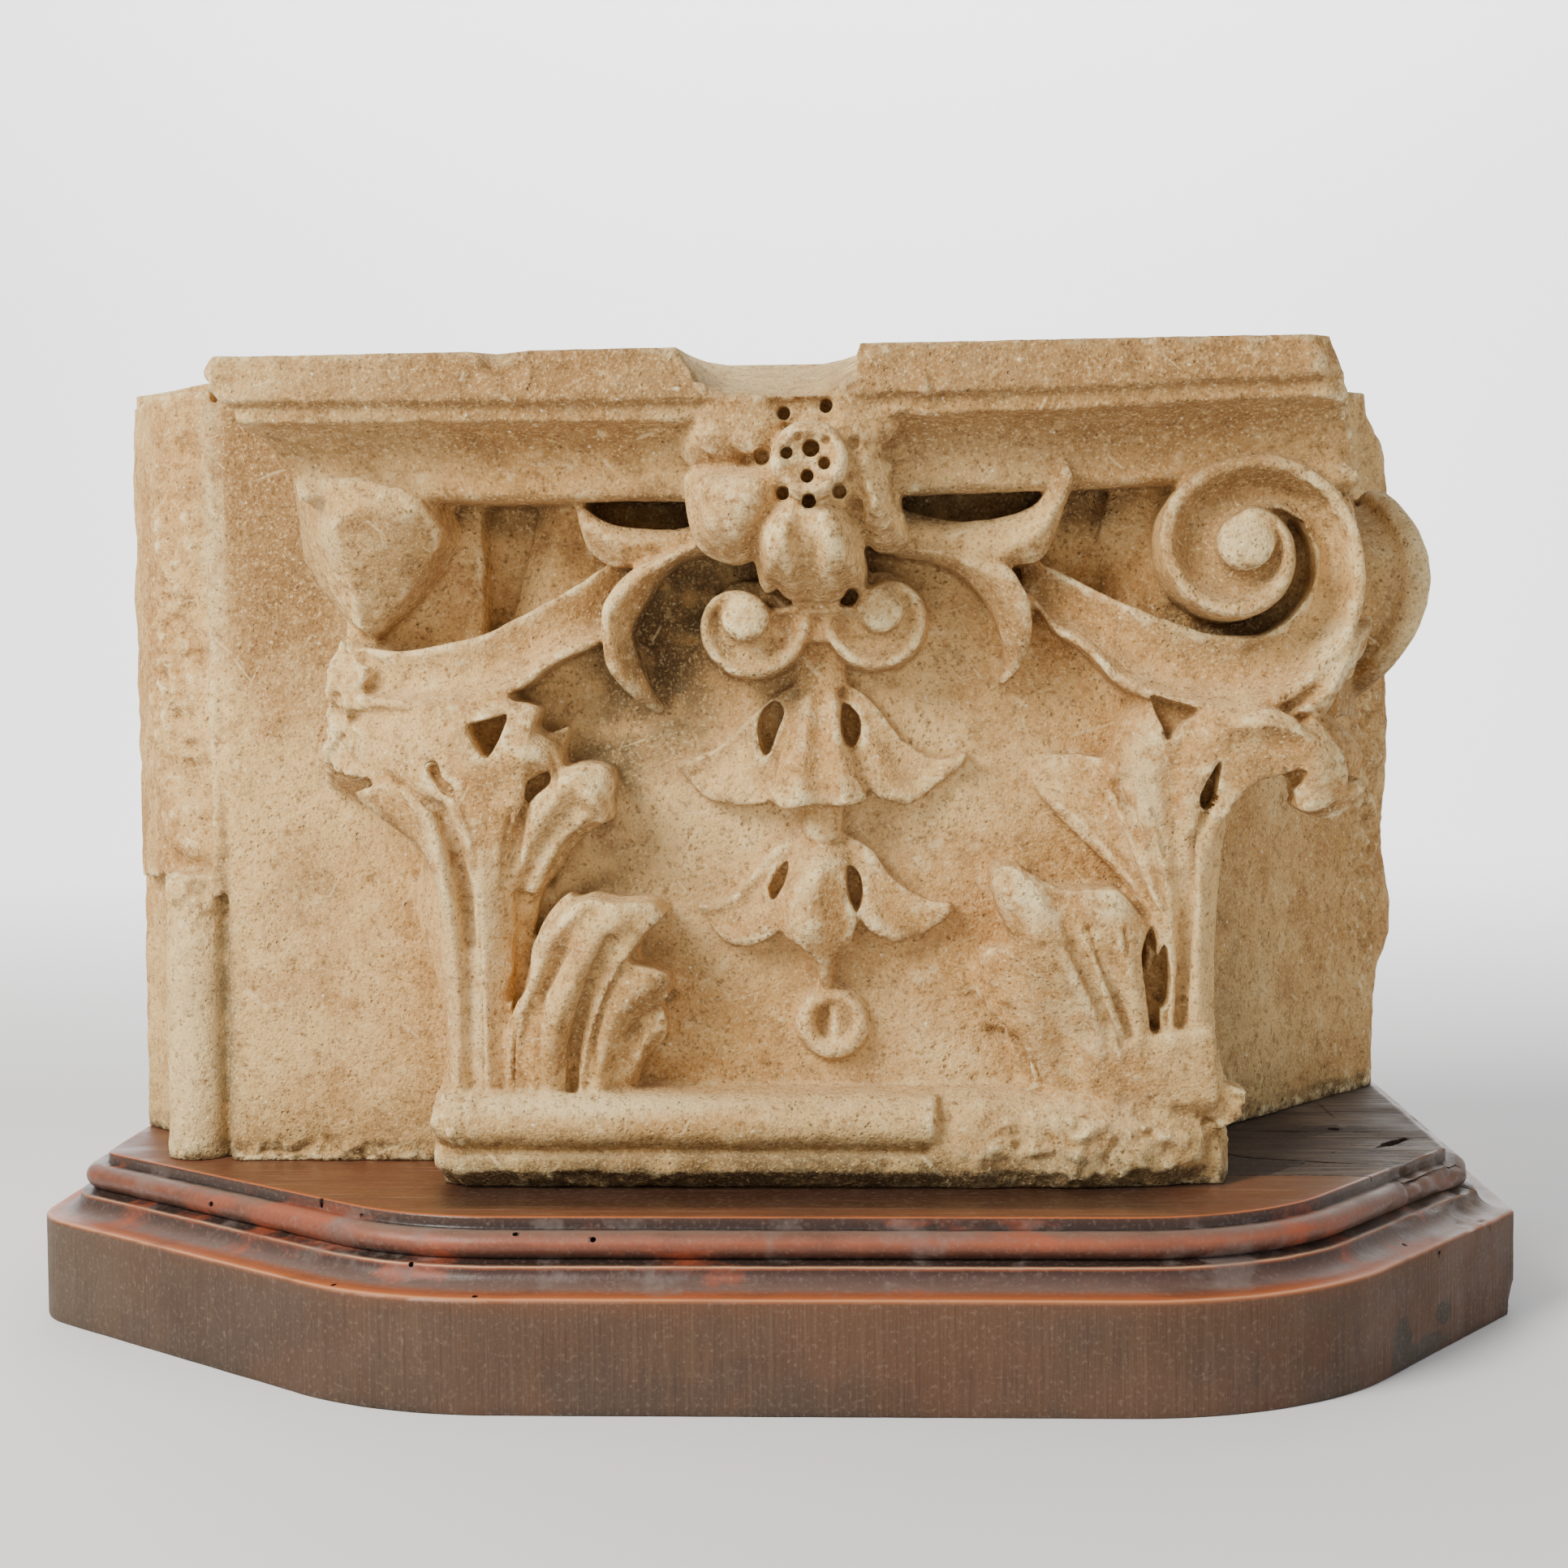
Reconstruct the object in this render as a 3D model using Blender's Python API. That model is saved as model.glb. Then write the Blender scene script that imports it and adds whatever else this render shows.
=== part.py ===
"""Carved limestone pilaster capital, a fragment, resting on its moulded wooden base.

Units are metres, +Z up, +X to the viewer's right, -Y towards the viewer. The origin is the
middle of the base's underside. The stone is one block: a wall face with an angle roll at its left
end, a canted face at its right, and the capital that stands out from it.

The carving is drawn in parts. A point is (across, up, out): across from the stone's middle, up
from its bed and out from the wall face. The stone is 506 parts wide and 290 parts high.
"""

import math

import bmesh
import bpy
import numpy as np

# Wooden base
BASE_WIDTH = 0.550
BASE_DEPTH = 0.330
FASCIA_HEIGHT = 0.038
MOULDING_HEIGHT = 0.022
MOULDING_SETBACK = 0.0236
LEFT_CANT_ACROSS = 0.151
LEFT_CANT_DEEP = 0.122
RIGHT_CANT_ACROSS = 0.097
RIGHT_CANT_DEEP = 0.136
BASE_FRONT_RADIUS = 0.110
BASE_LEFT_RADIUS = 0.036
BASE_RIGHT_RADIUS = 0.003
LEAST_RADIUS = 0.001
ARRIS_WORN = 0.0012

# Stone
STONE_WIDTH = 0.506
STONE_HEIGHT = 0.290
WALL_THICKNESS = 0.183
WALL_FACE_SETBACK = 0.117
REST_GAP = 0.0003
TOP_RISE_BACK = 0.008

# Drawing of the carving, in parts
PARTS_WIDE = 506.0
PARTS_HIGH = 290.0
VOXEL_PARTS = 2.1
STONE_TRIANGLES = 9200
TOOL_SIDES = 8

ACROSS = STONE_WIDTH / PARTS_WIDE
UP = STONE_HEIGHT / PARTS_HIGH
OUT = (ACROSS + UP) / 2
BASE_HEIGHT = FASCIA_HEIGHT + MOULDING_HEIGHT
BED_HEIGHT = BASE_HEIGHT + REST_GAP
WALL_FACE_Y = WALL_FACE_SETBACK - BASE_DEPTH / 2

ROUND = [(-1, 0), (-0.85, 0.5), (-0.6, 0.8), (-0.3, 0.95), (0, 1), (0.3, 0.95), (0.6, 0.8), (0.85, 0.5),
    (1, 0)]


def stone_point(across, up, out):
    """A drawn point in metres."""
    return (across * ACROSS, WALL_FACE_Y - out * OUT, BED_HEIGHT + up * UP)


def smooth_rows(rows, count):
    """Rows of numbers read along one smooth curve, at even steps of the rows' own count."""
    rows = np.asarray(rows, float)
    last = len(rows) - 1
    steps = np.linspace(0, last, count)
    index = np.minimum(steps.astype(int), last - 1)
    part = (steps - index).reshape((-1,) + (1,) * (rows.ndim - 1))
    before, start = rows[np.maximum(index - 1, 0)], rows[index]
    end, after = rows[index + 1], rows[np.minimum(index + 2, last)]
    curve = 2 * start + (end - before) * part
    curve += (2 * before - 5 * start + 4 * end - after) * part**2
    curve += (3 * (start - end) + after - before) * part**3
    return curve / 2


def smooth_loop(points, count):
    """A closed outline read along one smooth curve."""
    points = np.asarray(points, float)
    padded = np.concatenate([points[-2:], points, points[:3]])
    span = len(points)
    rows = smooth_rows(padded, (span + 4) * 8 + 1)
    loop = rows[16:16 + span * 8]
    pick = np.linspace(0, len(loop), count, endpoint=False).astype(int)
    return loop[pick]


class Carving:
    """Closed forms that grow into one solid."""

    def __init__(self):
        self.points = []
        self.faces = []

    def add(self, points, faces):
        start = len(self.points)
        self.points += [tuple(point) for point in points]
        self.faces += [tuple(start + index for index in face) for face in faces]

    def rings(self, rings, closed=False):
        """A skin over rings of equal length, with flat ends unless it closes on itself."""
        size = len(rings[0])
        points = [point for ring in rings for point in ring]
        faces = []
        for row in range(len(rings) - (0 if closed else 1)):
            here, there = row * size, (row + 1) % len(rings) * size
            for side in range(size):
                other = (side + 1) % size
                faces.append((here + side, here + other, there + other, there + side))
        if not closed:
            faces.append(tuple(range(size))[::-1])
            faces.append(tuple(range(len(points) - size, len(points))))
        self.add(points, faces)

    def prism(self, outline, low, high, axis="up"):
        """An outline of (across, out) raised from low to high, or of (across, up) brought out."""
        if axis == "up":
            rings = [[(across, level, out) for across, out in outline] for level in (low, high)]
        else:
            rings = [[(across, up, level) for across, up in outline] for level in (low, high)]
        self.rings(rings)

    def band(self, path, section=ROUND, count=None, root=None, thick=None):
        """A carved band. Each row of the path is (across, up, out, half width, rise)."""
        rows = smooth_rows(path, count or 8 * len(path))
        centre, half, rise = rows[:, :3], np.maximum(rows[:, 3], 0.3), rows[:, 4]
        along = np.gradient(centre, axis=0)
        along /= np.linalg.norm(along, axis=1)[:, None]
        side = np.cross(along, (0.0, 0.0, 1.0))
        side /= np.maximum(np.linalg.norm(side, axis=1), 1e-6)[:, None]
        front = np.cross(side, along)
        rings = []
        for step in range(len(rows)):
            ring = [
                centre[step] + side[step] * half[step] * across + front[step] * rise[step] * height
                for across, height in section
            ]
            for across in (section[-1][0], section[0][0]):
                foot = centre[step] + side[step] * half[step] * across
                if root is None:
                    foot = foot - front[step] * thick
                else:
                    foot[2] = root
                ring.append(foot)
            rings.append(ring)
        self.rings(rings)

    def sheet(self, rails, root=None, thick=None, along=28, across=4):
        """A carved surface through rails of (across, up, out), closed behind it."""
        lines = np.array([smooth_rows(rail, along) for rail in rails])
        front = smooth_rows(lines, (len(rails) - 1) * across + 1)
        back = front.copy()
        if root is None:
            back[..., 2] -= thick
        else:
            back[..., 2] = root
        self.rings([list(front[row]) + list(back[row][::-1]) for row in range(len(front))])

    def cove(self, lower, upper, depth, rim, root, along=40):
        """A hollowed stem between two edges, each with a narrow flat rim."""
        low, high = smooth_rows(lower, along), smooth_rows(upper, along)
        width = np.linalg.norm(high - low, axis=1)
        share = np.minimum(rim / width, 0.3)
        rings = []
        for step in range(along):
            edge = share[step]
            ring = []
            for place, drop in (
                (0.0, 0.12), (edge * 0.25, 0.0), (edge, 0.0), (edge * 1.25, 0.1), (0.25, 0.6),
                    (0.37, 0.88),
                (0.5, 1.0), (0.63, 0.9), (0.75, 0.64), (1 - edge * 1.25, 0.1), (1 - edge, 0.0),
                (1 - edge * 0.25, 0.0), (1.0, 0.12),
            ):
                spot = low[step] * (1 - place) + high[step] * place
                spot[2] -= drop * depth * min(1.0, width[step] / 14.0)
                ring.append(spot)
            for spot in (high[step].copy(), low[step].copy()):
                spot[2] = root
                ring.append(spot)
            rings.append(ring)
        self.rings(rings)

    def wind(self, eye, rows, start_turn, hand, root, steps=16):
        """A band that winds in to an eye. Rows, a quarter turn apart: (rim, gap, out, depth, flare)."""
        fine = smooth_rows(rows, (len(rows) - 1) * steps + 1)
        rings = []
        for step, (rim, gap, out, depth, flare) in enumerate(fine):
            turn = math.radians(start_turn + hand * 90.0 * step / steps)
            width = rim - gap
            flat = min(4.0, 0.3 * width)
            inner = width - flat
            section = [(rim + flare, root), (rim + 0.25 * flare, out - 6), (rim, out - 0.9),
                (rim - 0.6, out), (rim - flat, out)]
            for share, drop in ((0.06, 0.22), (0.2, 0.6), (0.38, 0.9), (0.55, 1.0), (0.75, 0.92),
                (0.9, 0.7), (1.0, 0.55)):
                section.append((rim - flat - share * inner, out - drop * depth))
            section.append((gap, root))
            rings.append([
                (eye[0] + reach * math.cos(turn), eye[1] + reach * math.sin(turn), level)
                for reach, level in section
            ])
        self.rings(rings)

    def dome(self, outline, edge, top, root, lean=(0.0, 0.0), count=28, power=2.0):
        """A pillow over a smooth outline, its skin falling from the top to the edge."""
        loop = smooth_loop(outline, count)
        middle = loop.mean(axis=0)
        rings = [[(*spot, root) for spot in loop]]
        for size in (1.0, 0.93, 0.8, 0.6, 0.35, 0.1):
            ring = []
            for spot in loop:
                place = middle + (spot - middle) * size
                level = edge + (top - edge) * (1 - size**power)
                level += lean[0] * (place[0] - middle[0]) + lean[1] * (place[1] - middle[1])
                ring.append((*place, level))
            rings.append(ring)
        self.rings(rings)

    def turned(self, centre, profile, sides=40, tilt=(0.0, 0.0)):
        """A form turned about an axis that points out; its profile is (radius, out) pairs."""
        rings = []
        for radius, out in profile:
            ring = []
            for step in range(sides):
                angle = 2 * math.pi * step / sides
                lean = out - centre[2]
                ring.append((
                    centre[0] + radius * math.cos(angle) + lean * tilt[0],
                    centre[1] + radius * math.sin(angle) + lean * tilt[1],
                    out,
                ))
            rings.append(ring)
        self.rings(rings)

    def hull(self, points):
        """A broken block: the smallest form with flat faces round some points."""
        work = bmesh.new()
        for point in points:
            work.verts.new(point)
        bmesh.ops.convex_hull(work, input=work.verts)
        loose = [vert for vert in work.verts if not vert.link_faces]
        bmesh.ops.delete(work, geom=loose, context="VERTS")
        work.verts.index_update()
        spots = [tuple(vert.co) for vert in work.verts]
        self.add(spots, [tuple(vert.index for vert in face.verts) for face in work.faces])
        work.free()

    def mesh(self, name):
        """The forms as one mesh in metres, each closed and facing out."""
        mesh = bpy.data.meshes.new(name)
        mesh.from_pydata([stone_point(*point) for point in self.points], [], self.faces)
        work = bmesh.new()
        work.from_mesh(mesh)
        bmesh.ops.recalc_face_normals(work, faces=work.faces)
        work.to_mesh(mesh)
        work.free()
        return mesh


def clear_scene():
    for item in list(bpy.data.objects):
        bpy.data.objects.remove(item, do_unlink=True)


def material(name, colour, roughness):
    look = bpy.data.materials.new(name)
    look.use_nodes = True
    shader = look.node_tree.nodes["Principled BSDF"]
    shader.inputs["Base Color"].default_value = (*colour, 1.0)
    shader.inputs["Roughness"].default_value = roughness
    return look


def put(name, mesh):
    item = bpy.data.objects.new(name, mesh)
    bpy.context.scene.collection.objects.link(item)
    return item


# The block behind the carving

WALL_LEFT = -198.0
WALL_RIGHT = 120.0
CANT_SLOPE = 1.27
BLOCK_SIDE = 251.0
BACK = -WALL_THICKNESS / OUT


def canted(across):
    """How far back the canted wall faces stand at a place across the stone."""
    if across > WALL_RIGHT:
        return -(across - WALL_RIGHT) * CANT_SLOPE
    return min(0.0, -(WALL_LEFT - across) * CANT_SLOPE)


def top_of(across, out):
    """Height of the sawn top bed, which rises a little to the right and to the back."""
    return 283.0 + 0.008 * (across + 180.0) + TOP_RISE_BACK / UP * (91.0 - out) / 274.0


RIGHT_EDGE = [
    (-3, 251), (26, 251), (34, 251.5), (48, 253.5), (60, 259), (66, 261), (78, 261), (93, 257.5),
        (110, 255.5),
    (125, 257.5), (142, 259.5), (171, 258.5), (257, 258.5), (268, 257.5), (276, 254), (284, 247),
        (296, 246),
]


def wall_block(stone):
    """The wall behind the capital: the panel, its canted ends and its broken right edge."""
    left = -BLOCK_SIDE - 1.0
    rings = []
    for up, right in RIGHT_EDGE:
        plan = [
            (WALL_LEFT, 0), (-60, 0), (60, 0), (WALL_RIGHT, 0), (186, canted(186)),
            (right - 3, canted(right - 3)), (right, canted(right) - 3), (right, BACK), (0, BACK),
            (left, BACK), (left, -120), (left, canted(left) - 4), (-238, canted(-238) - 6), (-206, -13),
            (WALL_LEFT - 3, -11), (WALL_LEFT - 2, -2),
        ]
        rings.append([(across, min(up, top_of(across, out) + 4), out) for across, out in plan])
    stone.rings(rings)


def angle_roll(stone):
    """The roll on the left angle: whole below, broken back to a rough strip above."""
    whole = [
        (-214 + 11.5 * math.cos(turn), -12 + 11.5 * math.sin(turn))
        for turn in np.linspace(0, 2 * math.pi, 28, endpoint=False)
    ]
    stone.prism(whole, -3.0, 106)
    stone.prism([(-201.5, -6), (-202, -1.5), (-205, -2), (-207, -9), (-205, -20)], 98, 279)
    rings = []
    for up, sink, slant in (
        (100, 9, 4), (110, 9, 5), (116, 5, 2), (129, 5, -3), (136, 9, 3), (148, 8, 6), (158, 4, 2),
            (174, 5, -4),
        (186, 9, 4), (202, 5, -2), (226, 4, 3), (244, 5, 0), (262, 6, 2), (272, 3, 0), (284, 4, 0),
    ):
        rings.append([
            (-204, up - slant, -4 - sink * 0.4), (-209, up - slant * 0.6, -5 - sink),
                (-218, up, -7 - sink),
            (-228, up + slant, -16 - sink * 0.5), (-230, up + slant, -22), (-250, up, -62),
                (-240, up, -80),
            (-203, up, -50),
        ])
    stone.rings(rings)
    stone.hull([(-203, 272, -4), (-208, 284, -6), (-240, 283, -40), (-246, 270, -54), (-203, 284, -30),
        (-222, 262, -50)])


def bell(stone):
    """The pilaster body that the leaves stand on; its ground leans out towards the flower."""
    stone.prism([(-108, 20), (-108, -20), (156, -60), (164, -44), (152, 20)], 20.0, 242.0)
    rings = []
    for up, lean in ((28, 0.0), (60, 0.6), (90, 1.5), (120, 2.5), (150, 4.0), (180, 5.0), (200, 4.0),
        (240, 4.0)):
        ground = 29.0 + lean
        narrow = 0.16 * max(0.0, up - 130)
        left, right = -104.0 + 1.6 * narrow, 148.0 - 1.6 * narrow
        rings.append([
            (left - 3, up, 10), (right + 3, up, 10), (right + 2, up, ground - 9),
                (right - 8, up, ground - 1),
            (22, up, ground), (left + 8, up, ground - 1), (left - 2, up, ground - 9),
        ])
    stone.rings(rings)


def abacus(stone):
    """The moulded slab on top: a fascia over a hollow, returned to the wall at its left end."""
    hollow = [
        (67 + 19 * (1 - math.cos(turn)), 240 + 22 * math.sin(turn))
        for turn in np.linspace(0.0, math.pi / 2, 12)
    ]
    profile = [(60, 234), (66, 236.5), *hollow, (87.5, 262.6), (88, 263.5), (88.3, 270.3),
        (90.5, 271.2), (91, 272), (91, 292)]
    rings = []
    for out, up in profile:
        inset = 91.0 - out
        left, right = -185.0 + inset, 190.0 + 16.0 * (285 - up) / 48.0
        rise = 0.008 * (right + 180.0) * (up - 200) / 85.0
        back = -40.0
        rings.append([
            (left, up, 0.0), (left, up, out), (-60, up + rise * 0.3, out), (60, up + rise * 0.6, out),
            (right - 9, up + rise, out), (right - 2, up + rise, out - 6), (right, up + rise, out - 22),
            (right + 6, up + rise, back), (left + 20, up, back),
        ])
    stone.rings(rings)


def astragal(stone):
    """The roll and splay along the foot, whole at the left and broken back at the right."""
    roll = [
        (47 + 10 * math.cos(turn), 23.5 + 9 * math.sin(turn))
        for turn in np.linspace(math.pi / 2, -math.pi / 2, 13)
    ]
    profile = [(20, 33), *roll, (52, 14), (55, 12.5), (55, 8), (51, -3), (20, -3)]
    rings = []
    for across, inset in ((-110, 8), (-107, 2), (-104, 0), (20, 0), (62, 0), (64, 3)):
        rings.append([(across - 3 * (out > 48), level, out - inset) for out, level in profile])
    stone.rings(rings)
    broken = [(20, 33.5), (40, 33), (47, 29), (51, 22), (53, 13), (52, 5), (49, -3), (20, -3)]
    rings = []
    for across, inset in ((58, 0), (75, -2), (90, 1), (104, -1), (118, 0), (140, 2), (152, 8),
        (160, 22)):
        lift = max(0.0, across - 125) * 0.1
        rings.append([(across, level + (lift if level < 20 else 0), out - inset) for out,
            level in broken])
    stone.rings(rings)
    stone.prism([(-113, 40), (-113, -5), (140, -30), (163, -55), (165, 20), (160, 40)], -3.0, 33.0)
    stone.hull([(150, 30, 44), (156, 37, 44), (168, 33, 46), (166, 24, 44), (160, 19, 42),
        (150, 20, 20), (166, 30, 0), (150, 34, 0)])


VOLUTE_EYE = (163.0, 221.0)


def right_volute(stone):
    """The whole corner volute: its hollowed stem rises from the flower and winds to an eye."""
    stone.cove(
        [(95, 202, 46), (102, 192, 50), (112, 185, 55), (125, 176, 60), (142, 171, 64), (158, 169, 67),
            (170, 169, 68)],
        [(88, 220, 48), (98, 216, 50), (111, 209, 54), (129, 200, 58), (144, 194, 61), (155, 190.5, 63),
            (170, 190.5, 64)],
        11, 3.2, 12,
    )
    stone.wind(
        VOLUTE_EYE,
        [
            (52, 30, 68, 12, 1), (38, 24, 70, 12, 1), (28.5, 10, 71, 9, 1), (26.5, 9.5, 72, 8, 1),
            (22.5, 9, 76, 7, 5), (16, 8.5, 79, 5, 7), (10, 8, 80, 2, 8),
        ], -90, 1, 12,
    )
    eye = VOLUTE_EYE
    stone.turned((*eye, 60), [(21, 14), (19, 50), (14, 62), (9.4, 66), (9.2, 76), (8.6, 78.5),
        (6, 79.6), (3, 80)])
    stone.turned((*eye, 40), [(46, 0), (45, 34), (36, 38), (22, 40), (4, 46)])
    stone.hull([
        (185, 166, 64), (192, 172, 66), (197, 179, 66), (199, 187, 64), (206, 191, 55), (205, 175, 45),
        (190, 163, 50), (180, 180, 30), (205, 190, 20), (195, 165, 20), (182, 190, 50),
    ])
    stone.hull([(190, 238, 64), (193, 245, 68), (202, 245, 66), (203, 238, 62), (190, 232, 50),
        (204, 240, 30), (185, 244, 30)])


def side_volute(stone):
    """The volute of the return face, seen on its edge behind the corner."""
    rings = []
    for across, reach in (
        (190, 33), (200, 36), (204, 37.5), (207, 37), (210, 33), (217, 31.5), (223, 32.5), (226, 37),
        (230, 39), (233.5, 38.5), (235, 36), (235.5, 24),
    ):
        ring = []
        for turn in np.linspace(0, 2 * math.pi, 56, endpoint=False):
            up = 205 + reach * math.sin(turn)
            bend = 0.0105 * (up - 212) ** 2
            ring.append((across - bend, up, -4 + reach * math.cos(turn) - (across - 206) * 0.35))
        rings.append(ring)
    stone.rings(rings)
    stone.prism([(160, 30), (160, -50), (222, -120), (224, -100), (212, 2), (202, 26)], 162.0, 244.0)


def left_volute(stone):
    """The corner volute that is lost: a broken wedge under the abacus and the torn stem below."""
    stone.hull([
        (-169, 255, 16), (-166, 237, 16), (-165, 221, 16), (-159, 211, 18), (-152, 202, 20),
            (-142, 195, 26),
        (-145, 246, 62), (-143, 232, 63), (-138, 214, 58), (-138, 195, 47), (-133, 246, 67),
            (-113, 241, 67),
        (-107, 233, 63), (-109, 223, 58), (-123, 205, 50), (-135, 192, 42), (-112, 245, 20),
            (-110, 225, 10),
        (-134, 192, 10), (-169, 255, -5), (-150, 200, -5), (-150, 262, 60), (-112, 262, 60),
    ])
    stone.cove(
        [(-147, 166, 40), (-139, 168, 50), (-123, 167, 55), (-113, 166, 57), (-104, 167, 58),
            (-90, 171, 58), (-80, 175, 57), (-69, 183, 55), (-53, 190, 50), (-42, 200, 46)],
        [(-147, 191, 42), (-136, 188.5, 50), (-122, 187.5, 54), (-107, 189.5, 56), (-94, 193, 56),
            (-82, 199, 55), (-69, 206, 53), (-53, 216, 50), (-42, 222, 48)],
        8, 3.0, 6,
    )
    stone.hull([
        (-149, 189, 30), (-146, 192, 44), (-150, 184, 44), (-149, 177, 46), (-144, 170, 48),
            (-144, 162, 46),
        (-152, 158, 36), (-157, 150, 28), (-150, 150, 20), (-130, 165, 20), (-130, 190, 20),
            (-136, 180, 50),
    ])
    stone.hull([(-162, 138, 2), (-158, 150, 22), (-150, 160, 34), (-130, 160, 40), (-128, 140, 30),
        (-140, 130, 6), (-120, 135, 4)])


def inner_scrolls(stone):
    """The pair of small scrolls that meet under the flower."""
    for eye, hand, reach in (((-4.0, 198.0), -1, 22.5), ((42.0, 200.5), 1, 20.5)):
        stone.wind(
            eye,
            [
                (reach, 9.5, 52, 6, 1), (20.5, 9, 54, 6, 1), (15.0, 6, 55, 4, 1),
                    (8.6, 4.5, 57, 1.5, 1),
                (6.8, 4.5, 58, 1, 1), (6.2, 4.5, 59, 1, 1),
            ], 0 if hand < 0 else 180, hand, 26,
        )
        stone.turned((*eye, 50), [(7.5, 26), (6.6, 52), (6.2, 58), (5.2, 60), (3.5, 60.6),
            (1.5, 60.6)], sides=24)
        stone.turned((*eye, 50), [(14, 24), (13, 40), (9, 41), (3, 41)], sides=24)
    stone.prism([(5, 189), (35, 189), (34, 199.5), (21, 201.5), (6, 199.5)], 26.0, 49.5, axis="out")
    stone.band([(4, 199.5, 50, 1.4, 2), (14, 200.5, 51, 1.4, 2), (20, 200, 52, 1.6, 2),
        (27, 200.5, 51, 1.4, 2), (36, 200.5, 50, 1.4, 2)], root=30)
    stone.prism([(2, 200), (2, 208), (37, 209), (36, 200)], 26.0, 43.0, axis="out")


def left_leaf(stone):
    """The acanthus under the lost volute: a stalk of pipes that opens into a spreading leaf."""
    stone.band([(-98, 30, 32, 17, 4), (-96, 80, 34, 14, 4), (-96, 120, 42, 24, 6),
        (-104, 150, 46, 40, 8)], root=5)
    stone.sheet([
        [(-113, 31, 20), (-114, 44, 20), (-119, 70, 16), (-124, 84, 12), (-129, 97, 6), (-131, 106, 2)],
        [(-111, 31, 34), (-111, 44, 34), (-115, 70, 32), (-119, 82, 28), (-124, 93, 20),
            (-127, 104, 10)],
        [(-107, 31, 36), (-107, 54, 36), (-108, 78, 36), (-112, 95, 34), (-117, 108, 30),
            (-122, 118, 22)],
    ], root=-4)
    stone.sheet([
        [(-112, 32, 38), (-111, 54, 40), (-113, 80, 42), (-114, 104, 45), (-117, 114, 47),
            (-121, 124, 48), (-128, 139, 47), (-134, 142, 43)],
        [(-107, 32, 45), (-106, 64, 47), (-107, 87, 51), (-109, 105, 55), (-111, 118, 57),
            (-114, 130, 57), (-121, 139, 55), (-129, 144, 48)],
        [(-102, 32, 40), (-102, 64, 42), (-102, 89, 45), (-103, 106, 48), (-105, 117, 51),
            (-108, 130, 52), (-113, 138, 51), (-120, 145, 48)],
        [(-98, 32, 46), (-98, 70, 48), (-98, 92, 52), (-98, 106, 55), (-100, 118, 58), (-103, 129, 60),
            (-107, 138, 60), (-112, 146, 56)],
        [(-93, 32, 43), (-93, 70, 44), (-90, 93, 49), (-90, 106, 54), (-91, 118, 57), (-95, 129, 58),
            (-99, 138, 58), (-103, 146, 56)],
        [(-90, 32, 40), (-88, 70, 42), (-86, 92, 45), (-87, 108, 51), (-87, 118, 55), (-84, 128, 58),
            (-81, 136, 60), (-80, 146, 60)],
    ], root=16, along=40)
    stone.sheet([
        [(-91, 106, 44), (-88, 116, 48), (-84, 126, 52), (-78, 136, 56), (-70, 143, 60)],
        [(-86, 105, 49), (-82, 116, 53), (-76, 127, 57), (-69, 137, 61), (-62, 146, 62)],
        [(-83, 104, 45), (-78, 115, 49), (-71, 125, 53), (-63, 134, 57), (-55, 144, 60)],
        [(-80, 103, 47), (-74, 113, 51), (-67, 122, 54), (-59, 129, 57), (-51, 137, 58)],
        [(-77, 103, 40), (-71, 111, 43), (-65, 119, 46), (-58, 125, 48), (-51, 129, 48)],
    ], root=18)
    stone.dome([(-72, 143), (-62, 148.5), (-51, 147), (-50, 139), (-53, 134), (-52, 128),
        (-60, 130)], 55, 62, 20, lean=(-0.1, 0.1))
    stone.sheet([
        [(-157, 150, 26), (-152, 158, 32), (-146, 166, 38), (-140, 172, 40)],
        [(-146, 144, 38), (-141, 152, 44), (-137, 162, 48), (-133, 173, 46)],
        [(-131, 142, 48), (-128, 151, 53), (-124, 161, 55), (-121, 173, 50)],
        [(-116, 138, 55), (-113, 150, 58), (-110, 160, 60), (-107, 172, 55)],
        [(-105, 134, 58), (-102, 147, 61), (-99, 160, 62), (-97, 172, 57)],
        [(-94, 132, 58), (-92, 146, 61), (-88, 160, 63), (-84, 170, 58)],
        [(-84, 134, 57), (-81, 146, 61), (-78, 158, 63), (-75, 168, 57)],
    ], root=14)
    stone.dome([(-84, 168), (-77, 161), (-69, 154), (-68, 147), (-74, 145), (-82, 142), (-90, 150),
        (-90, 162)], 56, 64, 20)


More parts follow.
